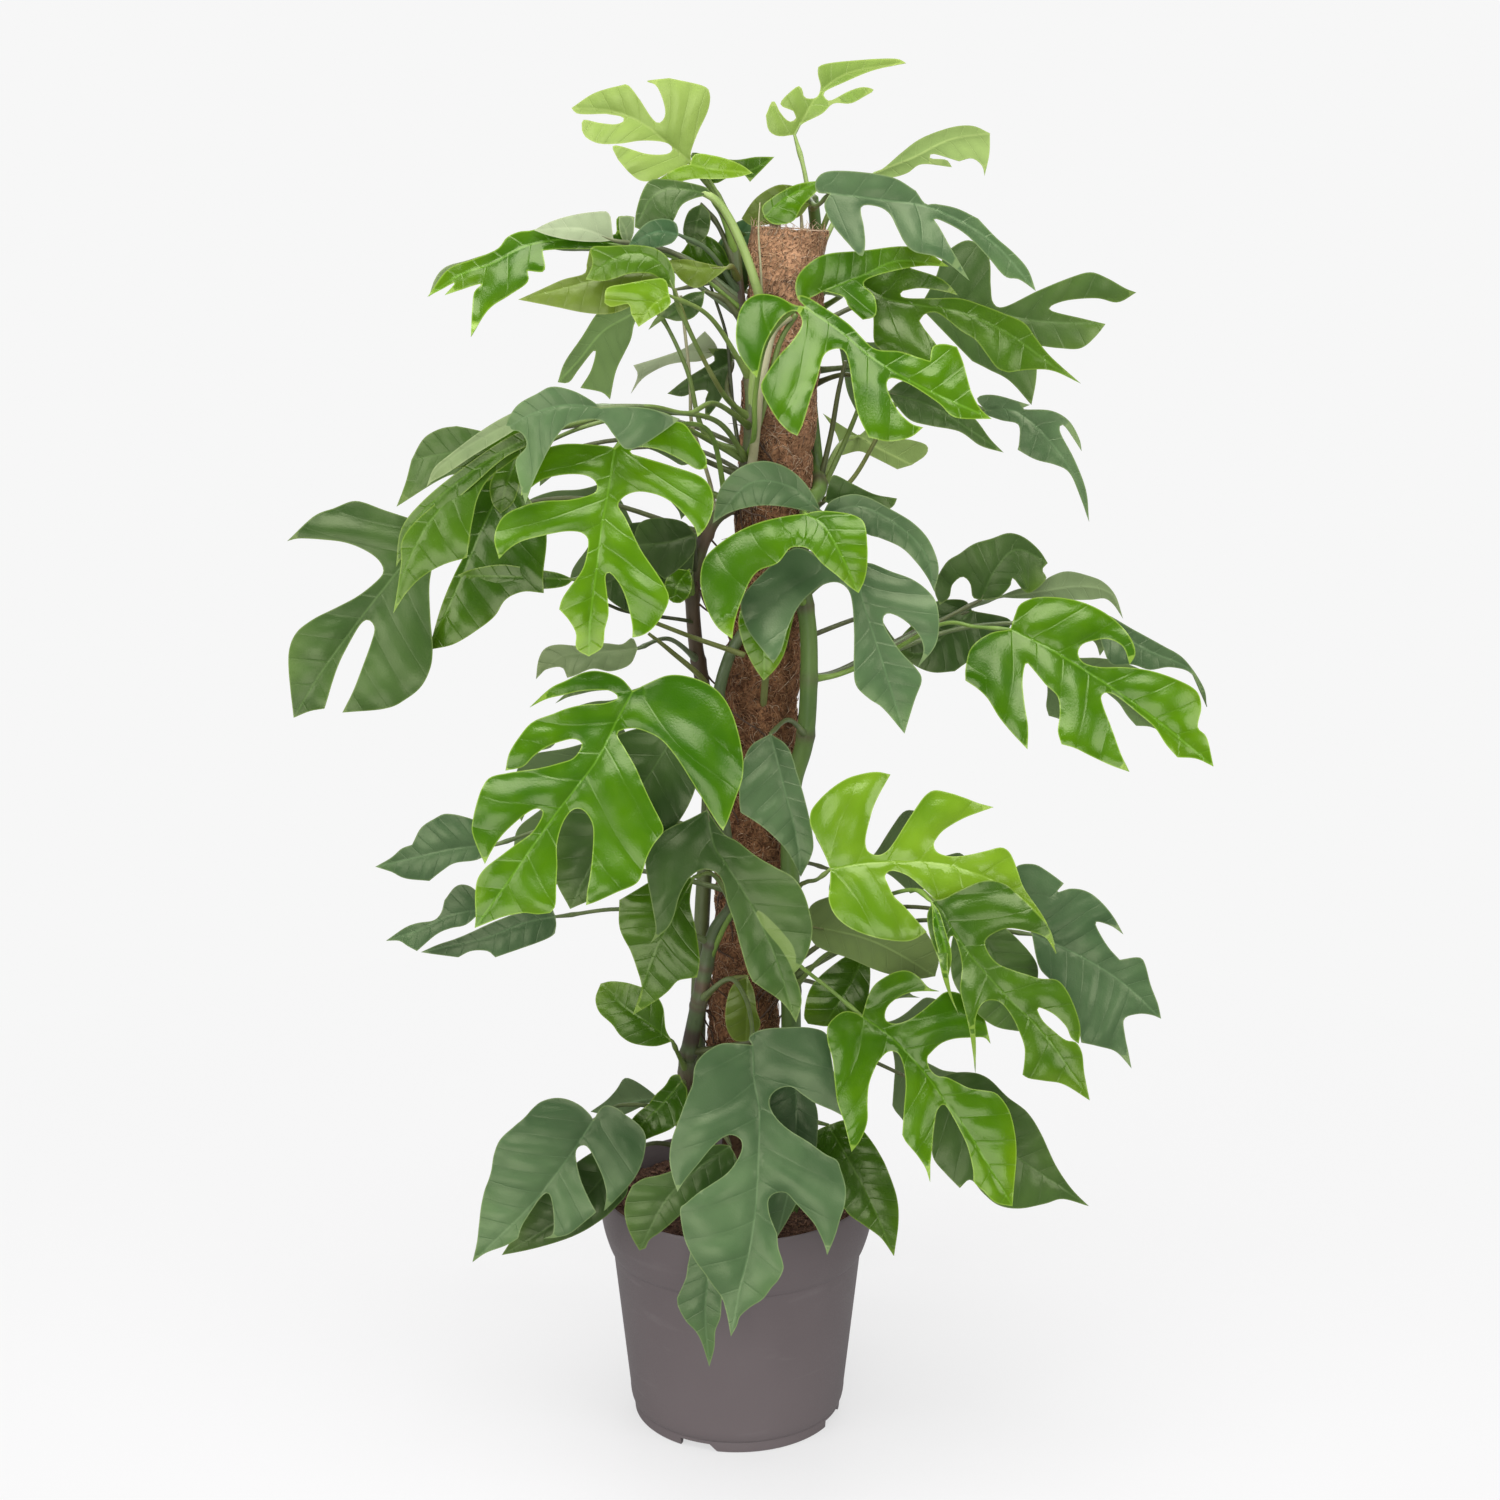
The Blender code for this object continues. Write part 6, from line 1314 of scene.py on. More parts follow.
def pole_surface(turn, z, radius):
    """A point on the pole's sleeve."""
    side = (POLE_TOP_AT - POLE_AT).to_track_quat("Z", "Y")
    across = Vector((radius * math.cos(turn), radius * math.sin(turn), 0.0))
    return pole_point(z) + side @ across


def make_coir(core_look, fibre_look, pale_look):
    """The sleeve: a wound, lumpy core under matted, curly fibres."""
    chance = random.Random(11)
    turns = [2 * math.pi * i / COIR_SIDES for i in range(COIR_SIDES)]
    verts, faces = [], []
    for k in range(COIR_RINGS + 1):
        z = COIR_FOOT_Z + (COIR_TOP_Z - COIR_FOOT_Z) * k / COIR_RINGS
        for turn in turns:
            radius = coir_radius(turn, z) + chance.uniform(*COIR_GRAIN)
            ragged = chance.uniform(*COIR_RAGGED) if k in (0, COIR_RINGS) else 0.0
            verts.append(tuple(pole_surface(turn, z + ragged, radius)))
    top = COIR_RINGS * COIR_SIDES
    for low in range(0, top, COIR_SIDES):
        faces += band(low, low + COIR_SIDES, COIR_SIDES)
    inner = len(verts)
    for z in (COIR_FOOT_Z, COIR_TOP_Z):
        verts += [tuple(pole_surface(turn, z, STAKE_RADIUS + COIR_SLACK)) for turn in turns]
    faces += band(inner, 0, COIR_SIDES)
    faces += band(top, inner + COIR_SIDES, COIR_SIDES)
    faces += band(inner + COIR_SIDES, inner, COIR_SIDES)
    seat(smooth_mesh("coir_core", verts, faces, core_look), "coir_sleeve")
    curls("coir_fibres", 3400, chance, fibre_look, (0.22, 0.34), (0.008, 0.022), 1.6)
    curls("coir_pale_fibres", 1100, chance, pale_look, (0.18, 0.28), (0.006, 0.018), 1.8)
    curls("coir_strands", 46, chance, pale_look, (0.30, 0.55), (0.045, 0.100), 0.25)
    loose_ends(chance, pale_look)


def coir_radius(turn, z):
    """The sleeve's radius: wound turns with a narrow valley between them."""
    wind = (z / WIND_PITCH + turn / (2 * math.pi)) % 1.0
    swell = WIND_SWELL * math.sin(math.pi * wind) ** 0.5
    lump = LUMP * math.sin(3 * turn + z * 95) * math.sin(z * 140 + 2 * turn)
    for height, slant in SEAMS:
        off = (z - height - slant * math.sin(turn + 200 * height)) / SEAM_WIDTH
        lump += SEAM_LIP * math.exp(-(off + 1.6) ** 2) - SEAM_DEPTH * math.exp(-off * off)
    ripple = RIPPLE * math.sin(9 * turn - z * 260)
    return COIR_RADIUS - COIR_INSET + swell + lump + ripple


def curls(name, count, chance, finish, thickness, lengths, curl):
    """Fibres that wander over the sleeve, each a thin three-sided tube."""
    verts, faces = [], []
    for _ in range(count):
        z = chance.uniform(COIR_FOOT_Z, COIR_TOP_Z)
        turn = chance.uniform(0.0, 2 * math.pi)
        heading = chance.gauss(0.9, 1.0)
        length = chance.uniform(*lengths)
        bend = chance.uniform(-curl, curl)
        lift = chance.uniform(0.0001, 0.0009)
        line = []
        for k in range(CURL_PIECES + 1):
            z = min(max(z, COIR_FOOT_Z - 0.003), COIR_TOP_Z + 0.001)
            arch = lift * math.sin(math.pi * k / CURL_PIECES)
            line.append(pole_surface(turn, z, coir_radius(turn, z) + 0.0002 + arch))
            turn += length / CURL_PIECES * math.cos(heading) / COIR_RADIUS
            z += length / CURL_PIECES * math.sin(heading)
            heading += bend / CURL_PIECES * 2.0
        width = chance.uniform(*thickness)
        add_tube(verts, faces, line, [width] * (CURL_PIECES + 1), 3)
    seat(smooth_mesh(name, verts, faces, finish), "coir_sleeve")


def loose_ends(chance, finish):
    """Pale ends that stand up round the sleeve's top and hang from its foot."""
    verts, faces = [], []
    for k in range(LOOSE_ENDS):
        turn = chance.uniform(0.0, 2 * math.pi)
        up = k % 3 > 0
        z = COIR_TOP_Z - 0.004 if up else COIR_FOOT_Z + 0.004
        rise = chance.uniform(0.004, 0.013) if up else -chance.uniform(0.002, 0.006)
        flare = chance.uniform(-0.003, 0.0015)
        line = [pole_surface(turn, z, COIR_RADIUS),
                pole_surface(turn + 0.1, z + rise * 0.7, COIR_RADIUS + flare * 0.4),
                pole_surface(turn + chance.uniform(-0.3, 0.3), z + rise,
                             COIR_RADIUS + flare)]
        add_tube(verts, faces, line, [0.30, 0.24, 0.12], 4)
    seat(smooth_mesh("coir_loose_ends", verts, faces, finish), "coir_sleeve")


def add_tube(verts, faces, line, radii, sides):
    """Add one tube to a growing list of points and faces."""
    new_verts, new_faces = tube_data(line, radii, sides)
    offset = len(verts)
    verts += new_verts
    faces += [tuple(i + offset for i in face) for face in new_faces]


def make_soil(soil_look, chip_look):
    """Loose coir soil: a bumpy bed with chips and short fibres on it."""
    chance = random.Random(5)
    rings, sides = SOIL_RINGS, SOIL_SIDES
    turns = [2 * math.pi * i / sides for i in range(sides)]
    wall = soil_reach(SOIL_LEVEL)
    verts = [(0.0, 0.0, SOIL_LEVEL)]
    for k in range(1, rings + 1):
        for turn in turns:
            radius = wall * k / rings
            x, y = radius * math.cos(turn), radius * math.sin(turn)
            bump = (0.0016 * math.sin(x * 210 + 1.3) * math.sin(y * 190)
                    + 0.0010 * math.sin(x * 480 + y * 300) + chance.uniform(-8e-4, 8e-4))
            edge = 0.002 if k == rings else 0.0
            verts.append((x, y, SOIL_LEVEL + bump * (k < rings) - edge))
    for z in (RIM_LOW_HEIGHT + 0.014, RIM_LOW_HEIGHT - 0.004, POT_FLOOR + 0.010,
              POT_FLOOR + 0.0004):
        reach = soil_reach(z)
        verts += [(reach * math.cos(turn), reach * math.sin(turn), z) for turn in turns]
    faces = [(0, 1 + i, 1 + (i + 1) % sides) for i in range(sides)]
    last = len(verts) - sides
    for low in range(1, last, sides):
        faces += band(low + sides, low, sides)
    faces.append(tuple(range(last + sides - 1, last - 1, -1)))
    seat(smooth_mesh("soil_bed", verts, faces, soil_look), "soil")
    make_chips(chance, chip_look)


def soil_reach(z):
    """How far the soil reaches at height z, just clear of the pot's wall."""
    walls = sorted((height, radius) for radius, height in INNER_WALL)
    for (low, near), (high, far) in zip(walls, walls[1:]):
        if low <= z <= high:
            return near + (far - near) * (z - low) / (high - low) - SOIL_SLACK
    return walls[0][1] - SOIL_SLACK


def make_chips(chance, chip_look):
    """Coir chips and short fibres scattered over the soil."""
    verts, faces = [], []
    for _ in range(CHIPS):
        radius = CHIP_REACH * math.sqrt(chance.random())
        turn = chance.uniform(0.0, 2 * math.pi)
        at = Vector((radius * math.cos(turn), radius * math.sin(turn),
                     SOIL_LEVEL + chance.uniform(0.0, 0.0018)))
        heading = Vector((chance.uniform(-1, 1), chance.uniform(-1, 1),
                          chance.uniform(-0.25, 0.25))).normalized()
        length = chance.uniform(0.002, 0.007)
        width = chance.uniform(0.25, 1.1)
        line = [at - heading * length / 2, at + Vector((0, 0, 0.0004)),
                at + heading * length / 2]
        add_tube(verts, faces, line, [width * 0.7, width, width * 0.6], 4)
    seat(smooth_mesh("soil_chips", verts, faces, chip_look), "soil")


def pot_outside():
    """The pot's outer side as (radius, height), from the middle of its base up."""
    outside = [(0.0, 0.0), (PAD_RADIUS, 0.0), (PAD_RADIUS + 0.003, CHANNEL_HEIGHT),
               (FOOT_RADIUS - 0.006, CHANNEL_HEIGHT), (FOOT_RADIUS - 0.004, 0.0),
               (FOOT_RADIUS - 0.0006, 0.0), (FOOT_RADIUS, 0.0006),
               (FOOT_RADIUS + 0.0004, FOOT_HEIGHT - 0.0006)]
    corner = BODY_LOW_RADIUS - 0.0002
    for k in range(CORNER_STEPS + 1):
        turn = math.pi / 2 * k / CORNER_STEPS
        outside.append((corner - CORNER_DEPTH * (1 - math.sin(turn)),
                        CORNER_TOP - CORNER_HEIGHT * math.cos(turn)))
    outside += [(NECK_RADIUS, RIM_LOW_HEIGHT - 0.0016),
                (NECK_RADIUS + 0.0004, RIM_LOW_HEIGHT - 0.0004),
                (RIM_LOW_RADIUS - 0.0006, RIM_LOW_HEIGHT - 0.0002),
                (RIM_LOW_RADIUS, RIM_LOW_HEIGHT + 0.0006)]
    for k in range(1, FLARE_STEPS + 1):
        share = k / FLARE_STEPS
        bulge = (RIM_RADIUS - RIM_LOW_RADIUS) * math.sin(math.pi / 2 * share) ** 0.9
        outside.append((RIM_LOW_RADIUS + bulge,
                        RIM_LOW_HEIGHT + (POT_HEIGHT - 0.014 - RIM_LOW_HEIGHT) * share))
    outside += [(RIM_RADIUS - 0.0002, POT_HEIGHT - 0.006),
                (RIM_RADIUS - 0.0005, POT_HEIGHT - 0.0015),
                (RIM_RADIUS - 0.0009, POT_HEIGHT - 0.0004),
                (RIM_RADIUS - 0.0014, POT_HEIGHT), (RIM_RADIUS - 0.0020, POT_HEIGHT - 0.0002),
                (RIM_RADIUS - 0.0024, POT_HEIGHT - 0.001)]
    return outside


def make_pot(pot_look):
    """The nursery pot, finely turned, with notches in its foot."""
    profile = pot_outside() + INNER_WALL + [(0.0, POT_FLOOR)]
    piece = placed("nursery_pot", turned_mesh("nursery_pot", profile, POT_SIDES))
    for i in range(NOTCHES):
        turn = math.radians(FIRST_NOTCH_DEGREES + i * 360.0 / NOTCHES)
        cut_notch(piece, turn)
    mesh = piece.data
    mesh.materials.clear()
    mesh.materials.append(pot_look)
    mesh.shade_smooth()
    mesh.set_sharp_from_angle(angle=POT_SHARP)
    stand_for(piece, "pot")


def cut_notch(piece, turn):
    """Cut one drainage notch, slanted at one end, through the foot ring."""
    shape = bmesh.new()
    half, high = NOTCH_WIDTH / 2, NOTCH_HEIGHT
    profile = [(-half, -0.004), (half + 0.004, -0.004), (half + 0.002, 0.0),
               (half - 0.004, high), (-half, high)]
    place = Matrix.Rotation(turn, 4, "Z")
    inner = [shape.verts.new(place @ Vector((FOOT_RADIUS - 0.012, y, z)))
             for y, z in profile]
    outer = [shape.verts.new(place @ Vector((FOOT_RADIUS + 0.012, y, z)))
             for y, z in profile]
    shape.faces.new(inner)
    shape.faces.new(outer[::-1])
    for i in range(len(profile)):
        j = (i + 1) % len(profile)
        shape.faces.new((inner[j], inner[i], outer[i], outer[j]))
    bmesh.ops.recalc_face_normals(shape, faces=shape.faces)
    mesh = bpy.data.meshes.new("notch")
    shape.to_mesh(mesh)
    shape.free()
    cutter = placed("notch", mesh)
    step = piece.modifiers.new("notch", "BOOLEAN")
    step.operation = "DIFFERENCE"
    step.solver = "EXACT"
    step.object = cutter
    graph = bpy.context.evaluated_depsgraph_get()
    result = bpy.data.meshes.new_from_object(piece.evaluated_get(graph))
    piece.modifiers.clear()
    piece.data = result
    bpy.data.objects.remove(cutter, do_unlink=True)


def turned_mesh(name, profile, sides):
    """A closed profile of (radius, z) points, turned about the Z axis."""
    shape = bmesh.new()
    rings = []
    for radius, z in profile:
        if radius == 0.0:
            rings.append([shape.verts.new((0.0, 0.0, z))])
            continue
        rings.append([shape.verts.new((radius * math.cos(2 * math.pi * i / sides),
                                       radius * math.sin(2 * math.pi * i / sides), z))
                      for i in range(sides)])
    for low, high in zip(rings, rings[1:]):
        for i in range(sides):
            j = (i + 1) % sides
            if len(low) == 1:
                shape.faces.new((low[0], high[i], high[j]))
            elif len(high) == 1:
                shape.faces.new((low[i], low[j], high[0]))
            else:
                shape.faces.new((low[i], low[j], high[j], high[i]))
    bmesh.ops.recalc_face_normals(shape, faces=shape.faces)
    mesh = bpy.data.meshes.new(name)
    shape.to_mesh(mesh)
    shape.free()
    return mesh


def add_node(tree, kind, values=None, **settings):
    """Add a shader node with its settings and socket values."""
    made = tree.nodes.new(kind)
    for key, value in settings.items():
        setattr(made, key, value)
    for key, value in (values or {}).items():
        made.inputs[key].default_value = value
    return made


def new_look(name):
    """A material with an empty Principled surface."""
    look = bpy.data.materials.new(name)
    look.use_nodes = True
    tree = look.node_tree
    return look, tree, tree.nodes["Principled BSDF"]


def mixed(tree, factor, first, second):
    """A colour mix, where each part is a socket or a plain colour."""
    mix = add_node(tree, "ShaderNodeMix", data_type="RGBA")
    for index, source in ((0, factor), (6, first), (7, second)):
        feed(tree, mix.inputs[index], source)
    return mix.outputs[2]


def feed(tree, socket, source):
    """Give an input a link, a plain colour or a plain number."""
    if hasattr(source, "is_output"):
        tree.links.new(source, socket)
    else:
        socket.default_value = (*source, 1.0) if isinstance(source, tuple) else source


def ranged(tree, source, low, high, out_low=0.0, out_high=1.0):
    """Map a value from one range to another, clamped."""
    step = add_node(tree, "ShaderNodeMapRange",
                    {"From Min": low, "From Max": high, "To Min": out_low,
                     "To Max": out_high})
    tree.links.new(source, step.inputs["Value"])
    return step.outputs["Result"]


def noise(tree, scale, detail=3.0, distortion=0.0, stretch=None):
    """A noise value over the object's own space."""
    spot = add_node(tree, "ShaderNodeTexCoord").outputs["Object"]
    if stretch:
        mapping = add_node(tree, "ShaderNodeMapping", {"Scale": stretch})
        tree.links.new(spot, mapping.inputs["Vector"])
        spot = mapping.outputs["Vector"]
    made = add_node(tree, "ShaderNodeTexNoise",
                    {"Detail": detail, "Distortion": distortion})
    feed(tree, made.inputs["Scale"], scale)
    tree.links.new(spot, made.inputs["Vector"])
    return made.outputs["Fac"]


def new_group(name, outputs, inputs=()):
    """An empty node group: its tree, its inputs and its outputs by name."""
    tree = bpy.data.node_groups.new(name, "ShaderNodeTree")
    for socket in inputs:
        tree.interface.new_socket(socket, in_out="INPUT", socket_type="NodeSocketFloat")
    for socket in outputs:
        tree.interface.new_socket(socket, in_out="OUTPUT", socket_type="NodeSocketFloat")
    given = add_node(tree, "NodeGroupInput").outputs
    return tree, given, add_node(tree, "NodeGroupOutput").inputs


def leaf_pattern_group():
    """Masks that every leaf shares: midrib, side veins, margin, age and relief."""
    tree, _, out = new_group("leaf_pattern", (
        "Midrib", "Side Veins", "Margin", "Mottle", "Young Tip", "Bulge", "Relief",
        "Gloss"))
    rib, edge, phase, along, shade = (
        add_node(tree, "ShaderNodeAttribute", attribute_name=name).outputs["Fac"]
        for name in ("rib_mm", "edge_mm", "vein_phase", "along", "leaf_shade"))
    veins, bulge = vein_marks(tree, rib, phase)
    marks = {
        "Midrib": ranged(tree, rib, 0.30, 1.10, 1.0, 0.0),
        "Side Veins": veins,
        "Margin": ranged(tree, edge, 0.20, 1.10, 1.0, 0.0),
        "Mottle": mottle_mark(tree, along, shade),
        "Young Tip": young_mark(tree, edge, along),
        "Bulge": bulge,
        "Relief": relief_mark(tree, veins, bulge),
        "Gloss": noise(tree, 55.0, 4.0, 0.6),
    }
    for name, mark in marks.items():
        tree.links.new(mark, out[name])
    return tree


def vein_marks(tree, rib, phase):
    """The side veins' lines and the swelling of the blade between them."""
    waver = math_node(tree, "MULTIPLY_ADD", noise(tree, 22.0, 1.0), 0.16, phase)
    bounce = math_node(tree, "PINGPONG", waver, 0.5)
    line = ranged(tree, bounce, 0.0, 0.05, 1.0, 0.0)
    veins = math_node(tree, "MULTIPLY", line, ranged(tree, rib, 4.0, 45.0, 1.0, 0.25))
    swell = math_node(tree, "POWER", math_node(tree, "MULTIPLY", bounce, 2.0), 0.55)
    away = ranged(tree, rib, 0.5, 10.0, 0.15, 1.0)
    return veins, math_node(tree, "MULTIPLY", swell, away)


def mottle_mark(tree, along, shade):
    """Cloudy light and dark, lighter towards the tip, with a shade for each leaf."""
    cloud = ranged(tree, noise(tree, 16.0, 4.0, 0.5), 0.35, 0.65, -0.25, 0.45)
    paler = math_node(tree, "MULTIPLY_ADD", along, 0.35, cloud)
    return ranged(tree, math_node(tree, "MULTIPLY_ADD", shade, 0.5, paler), 0.0, 1.0)


def young_mark(tree, edge, along):
    """Fresh patches along the edge of a blade's outer half."""
    patch = ranged(tree, noise(tree, 11.0, 2.0, 0.5), 0.42, 0.72, 0.0, 0.8)
    outer = ranged(tree, edge, 2.0, 16.0, 1.0, 0.0)
    young = math_node(tree, "MULTIPLY", patch, outer)
    return math_node(tree, "MULTIPLY", young, ranged(tree, along, 0.55, 1.0))


def relief_mark(tree, veins, bulge):
    """A fine net of cells with sunken veins and raised fields."""
    cells = add_node(tree, "ShaderNodeTexVoronoi", {"Scale": 420.0},
                     feature="DISTANCE_TO_EDGE")
    where = add_node(tree, "ShaderNodeTexCoord")
    tree.links.new(where.outputs["Object"], cells.inputs["Vector"])
    net = ranged(tree, cells.outputs["Distance"], 0.0, 0.25, 0.0, 0.07)
    relief = math_node(tree, "MULTIPLY_ADD", veins, -0.4, net)
    return math_node(tree, "MULTIPLY_ADD", bulge, 0.6, relief)


def stalk_pattern_group():
    """Long streaks, fine flecks and bark, which stems, petioles and roots share."""
    tree, _, out = new_group("stalk_pattern", ("Streak", "Fleck", "Bark"))
    bark = add_node(tree, "ShaderNodeAttribute", attribute_name="bark").outputs["Fac"]
    tree.links.new(noise(tree, 1.0, 4.0, 0.4, (60.0, 60.0, 14.0)), out["Streak"])
    tree.links.new(noise(tree, 320.0, 2.0), out["Fleck"])
    tree.links.new(bark, out["Bark"])
    return tree


def crumb_pattern_group():
    """Coarse and fine grains and the height, which coir, soil and wood share."""
    tree, given, out = new_group("crumb_pattern", ("Coarse", "Fine", "Height"),
                                 ("Coarse Scale", "Fine Scale"))
    where = add_node(tree, "ShaderNodeTexCoord").outputs["Object"]
    place = add_node(tree, "ShaderNodeSeparateXYZ")
    tree.links.new(where, place.inputs[0])
    tree.links.new(noise(tree, given["Coarse Scale"], 5.0, 0.6), out["Coarse"])
    tree.links.new(noise(tree, given["Fine Scale"], 4.0), out["Fine"])
    tree.links.new(place.outputs["Z"], out["Height"])
    return tree


def math_node(tree, operation, *sources):
    """A math step on sockets or plain numbers."""
    step = add_node(tree, "ShaderNodeMath", operation=operation)
    for socket, source in zip(step.inputs, sources):
        feed(tree, socket, source)
    return step.outputs[0]


def bumped(tree, shader, height, strength, distance):
    """Let a height value bend the surface's shading."""
    bump = add_node(tree, "ShaderNodeBump", {"Strength": strength, "Distance": distance})
    tree.links.new(height, bump.inputs["Height"])
    tree.links.new(bump.outputs["Normal"], shader.inputs["Normal"])


def leaf_look(name, pattern, colours, roughness, under=False):
    """A leaf side: two greens mottled together, with veins, painted shade in the valleys between the
    side veins, and a pale margin that is partly the blade's own paler edge and partly painted light.
    """
    deep, light, tip, vein, margin = colours
    look, tree, shader = new_look(name)
    marks = add_node(tree, "ShaderNodeGroup", node_tree=pattern).outputs
    colour = mixed(tree, marks["Mottle"], deep, light)
    colour = mixed(tree, marks["Young Tip"], colour, tip)
    # Painted shade: the colour turns to a darker green in the valleys between the bulges, along the
    # side veins.
    valley = ranged(tree, marks["Bulge"], 0.0, 0.8, 0.22, 0.0)
    colour = mixed(tree, valley, colour, tuple(0.6 * c for c in deep))
    side = math_node(tree, "MULTIPLY", marks["Side Veins"], 0.40 if under else 0.14)
    colour = mixed(tree, side, colour, vein)
    middle = math_node(tree, "MULTIPLY", marks["Midrib"], 0.85 if under else 0.34)
    colour = mixed(tree, middle, colour, vein)
    # The pale margin is partly the blade's own paler edge and partly painted light along the thin
    # edge.
    rim = math_node(tree, "MULTIPLY", marks["Margin"], 0.50)
    colour = mixed(tree, rim, colour, margin)
    tree.links.new(colour, shader.inputs["Base Color"])
    rough = ranged(tree, marks["Gloss"], 0.3, 0.7, roughness - 0.05, roughness + 0.06)
    tree.links.new(rough, shader.inputs["Roughness"])
    shader.inputs["Specular IOR Level"].default_value = 0.20 if under else 0.50
    shader.inputs["Specular Tint"].default_value = LEAF_SHEEN
    bumped(tree, shader, marks["Relief"], 0.5 if under else 0.4, 0.0008)
    return look


def stalk_look(name, pattern, deep, light, roughness=0.42):
    """A petiole, stem or root: two tones in long streaks, with bark where it is old."""
    look, tree, shader = new_look(name)
    marks = add_node(tree, "ShaderNodeGroup", node_tree=pattern).outputs
    streak, fleck = marks["Streak"], marks["Fleck"]
    colour = mixed(tree, ranged(tree, streak, 0.35, 0.68), deep, light)
    speck = ranged(tree, fleck, 0.62, 0.75, 0.0, 0.35)
    colour = mixed(tree, speck, colour, tuple(0.5 * c for c in deep))
    brown = mixed(tree, ranged(tree, streak, 0.35, 0.65), BARK_DEEP, BARK_LIGHT)
    colour = mixed(tree, marks["Bark"], colour, brown)
    tree.links.new(colour, shader.inputs["Base Color"])
    tree.links.new(ranged(tree, fleck, 0.3, 0.7, roughness - 0.06, roughness + 0.10),
                   shader.inputs["Roughness"])
    bumped(tree, shader, streak, 0.35, 0.0005)
    return look


def crumb_look(name, pattern, deep, light, scale, relief=1.0, top=None, grain=5.0):
    """Matted coir, soil or wood: grains of two browns, paler up high where top is set."""
    look, tree, shader = new_look(name)
    made = add_node(tree, "ShaderNodeGroup", node_tree=pattern)
    made.inputs["Coarse Scale"].default_value = scale
    made.inputs["Fine Scale"].default_value = scale * grain
    marks, fine = made.outputs, made.outputs["Fine"]
    colour = mixed(tree, ranged(tree, marks["Coarse"], 0.35, 0.65), deep, light)
    # Partly painted light: the coir is paler up high, where the pole rises clear of the leaves' shade,
    # and partly its own paler fibres.
    if top:
        paler_top = ranged(tree, marks["Height"], *COIR_PALER_HEIGHTS, 0.0, 0.75)
        colour = mixed(tree, paler_top, colour, top)
    colour = mixed(tree, ranged(tree, fine, 0.48, 0.66, 0.0, 0.75), colour,
                   tuple(0.35 * c for c in deep))
    tree.links.new(colour, shader.inputs["Base Color"])
    tree.links.new(ranged(tree, fine, 0.3, 0.7, 0.8, 1.0), shader.inputs["Roughness"])
    shader.inputs["Specular IOR Level"].default_value = 0.2
    bumped(tree, shader, fine, relief, 0.0012)
    return look


def plastic_look():
    """Moulded taupe-grey plastic: satin, with a faint grain and handling marks."""
    look, tree, shader = new_look("pot_plastic")
    cloud = noise(tree, 9.0, 3.0)
    grain = noise(tree, 900.0, 2.0)
    scuff = noise(tree, 1.0, 3.0, 0.5, (18.0, 18.0, 90.0))
    colour = mixed(tree, ranged(tree, cloud, 0.3, 0.7), *PLASTIC_TONES)
    colour = mixed(tree, ranged(tree, scuff, 0.62, 0.80, 0.0, 0.18), colour, SCUFF_TONE)
    tree.links.new(colour, shader.inputs["Base Color"])
    tree.links.new(ranged(tree, grain, 0.3, 0.7, 0.46, 0.60), shader.inputs["Roughness"])
    bumped(tree, shader, grain, 0.12, 0.0003)
    return look


def leaf_looks():
    """For each tone the upper side's and the underside's finish."""
    pattern = leaf_pattern_group()
    looks = {}
    for tone, (colours, roughness) in LEAF_TONES.items():
        upper = leaf_look("leaf_" + tone, pattern, colours, roughness)
        pale = [tuple(0.6 * c + 0.4 * g for c, g in zip(colour, UNDERSIDE_GREY))
                for colour in colours]
        below = leaf_look("leaf_" + tone + "_underside", pattern, pale, 0.55, True)
        looks[tone] = (upper, below)
    return looks


def make_world():
    """A dim room that the camera sees as pale paper and that glossy leaves see as dark."""
    world = bpy.data.worlds.new("studio")
    world.use_nodes = True
    tree = world.node_tree
    room = tree.nodes["Background"]
    room.inputs["Color"].default_value = (1.0, 1.0, 1.0, 1.0)
    path = add_node(tree, "ShaderNodeLightPath").outputs
    dim = math_node(tree, "MULTIPLY_ADD", path["Is Glossy Ray"],
                    ROOM_GLOSS - ROOM_LIGHT, ROOM_LIGHT)
    shown = math_node(tree, "MULTIPLY_ADD", path["Is Camera Ray"],
                      PAPER_TONE - ROOM_LIGHT, dim)
    tree.links.new(shown, room.inputs["Strength"])
    bpy.context.scene.world = world


def make_floor():
    """A pale floor, just below the pot, that fades into the pale surroundings."""
    shape = bmesh.new()
    bmesh.ops.create_circle(shape, cap_ends=True, segments=96, radius=FLOOR_RADIUS)
    mesh = bpy.data.meshes.new("studio_floor")
    shape.to_mesh(mesh)
    shape.free()
    floor = placed("studio_floor", mesh)
    floor.location.z = -0.0005
    mesh.materials.append(floor_look())


def make_lamps():
    """Soft square lamps that face the plant."""
    for name, place, size, power in LAMPS:
        data = bpy.data.lights.new(name, "AREA")
        data.size = size
        data.energy = power
        lamp = placed(name, data)
        lamp.location = place
        aim = LAMP_AIM - Vector(place)
        lamp.rotation_euler = aim.to_track_quat("-Z", "Y").to_euler()


def make_camera():
    """The camera at the photograph's angle."""
    data = bpy.data.cameras.new("photo_camera")
    data.lens = CAMERA_LENS
    data.sensor_width = FRAME_WIDTH
    camera = placed("photo_camera", data)
    camera.location = VIEW
    camera.rotation_euler = (math.pi / 2 - CAMERA_DROP, 0.0, 0.0)
    bpy.context.scene.camera = camera
    bpy.context.scene.view_settings.view_transform = "Standard"


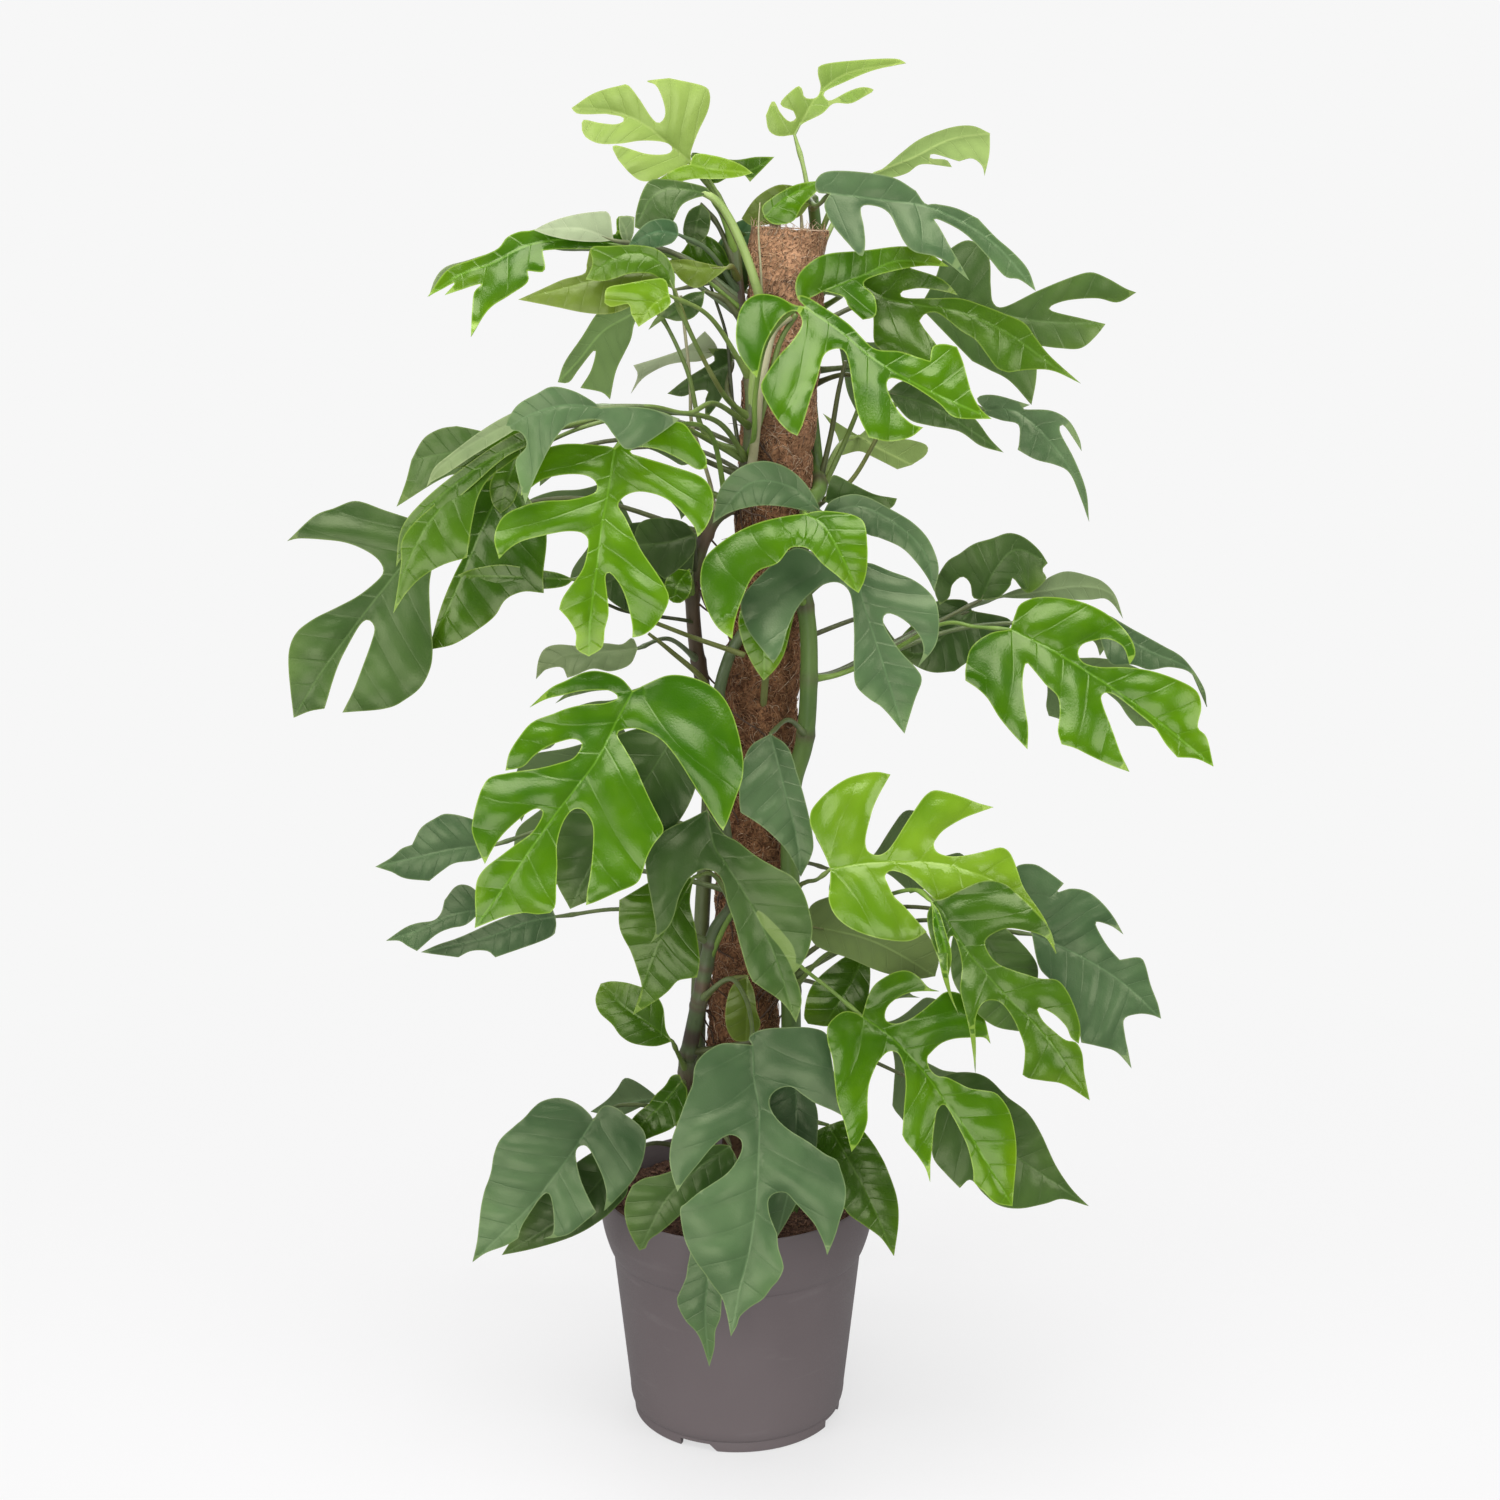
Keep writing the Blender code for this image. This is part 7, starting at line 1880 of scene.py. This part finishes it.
def floor_look():
    """White paper near the pot that turns into the pale surroundings further out."""
    look, tree, shader = new_look("floor_paper")
    shader.inputs["Base Color"].default_value = (0.74, 0.73, 0.74, 1.0)
    shader.inputs["Roughness"].default_value = 0.9
    shader.inputs["Specular IOR Level"].default_value = 0.1
    where = add_node(tree, "ShaderNodeTexCoord")
    reach = add_node(tree, "ShaderNodeVectorMath", operation="LENGTH")
    tree.links.new(where.outputs["Object"], reach.inputs[0])
    path = add_node(tree, "ShaderNodeLightPath").outputs["Is Camera Ray"]
    shown = math_node(tree, "MULTIPLY_ADD", path, PAPER_TONE - ROOM_LIGHT, ROOM_LIGHT)
    glow = add_node(tree, "ShaderNodeEmission")
    tree.links.new(shown, glow.inputs["Strength"])
    blend = add_node(tree, "ShaderNodeMixShader")
    tree.links.new(ranged(tree, reach.outputs["Value"], 0.0, 1.2, 0.66, 1.0),
                   blend.inputs[0])
    tree.links.new(shader.outputs[0], blend.inputs[1])
    tree.links.new(glow.outputs[0], blend.inputs[2])
    tree.links.new(blend.outputs[0], tree.nodes["Material Output"].inputs["Surface"])
    return look


def make_stake(finish):
    """Give the plain CAD stake its wooden finish."""
    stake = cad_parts["stake"]
    stake.data.materials.clear()
    stake.data.materials.append(finish)


def main():
    """Build the stage, the plant, its pole, the soil and the pot."""
    make_world()
    make_floor()
    make_lamps()
    make_camera()
    streaks = stalk_pattern_group()
    stalks = {tone: stalk_look("petiole_" + tone, streaks, *colours)
              for tone, colours in STALK_TONES.items()}
    stems = {name: stalk_look("stem_" + name, streaks, *colours)
             for name, colours in STEM_TONES.items()}
    roots = stalk_look("aerial_root", streaks, *ROOT_TONES, 0.7)
    make_plants(leaf_looks(), stalks, stems, roots)
    make_loose_stalks(stalks)
    make_tangle(roots)
    grains = crumb_pattern_group()
    crumbs = {name: crumb_look(name, grains, **row) for name, row in CRUMBS.items()}
    make_coir(crumbs["coir_core"], crumbs["coir_fibre"], crumbs["coir_pale_fibre"])
    make_soil(crumbs["soil_crumb"], crumbs["soil_chip"])
    make_pot(plastic_look())
    make_stake(crumbs["stake_wood"])


main()
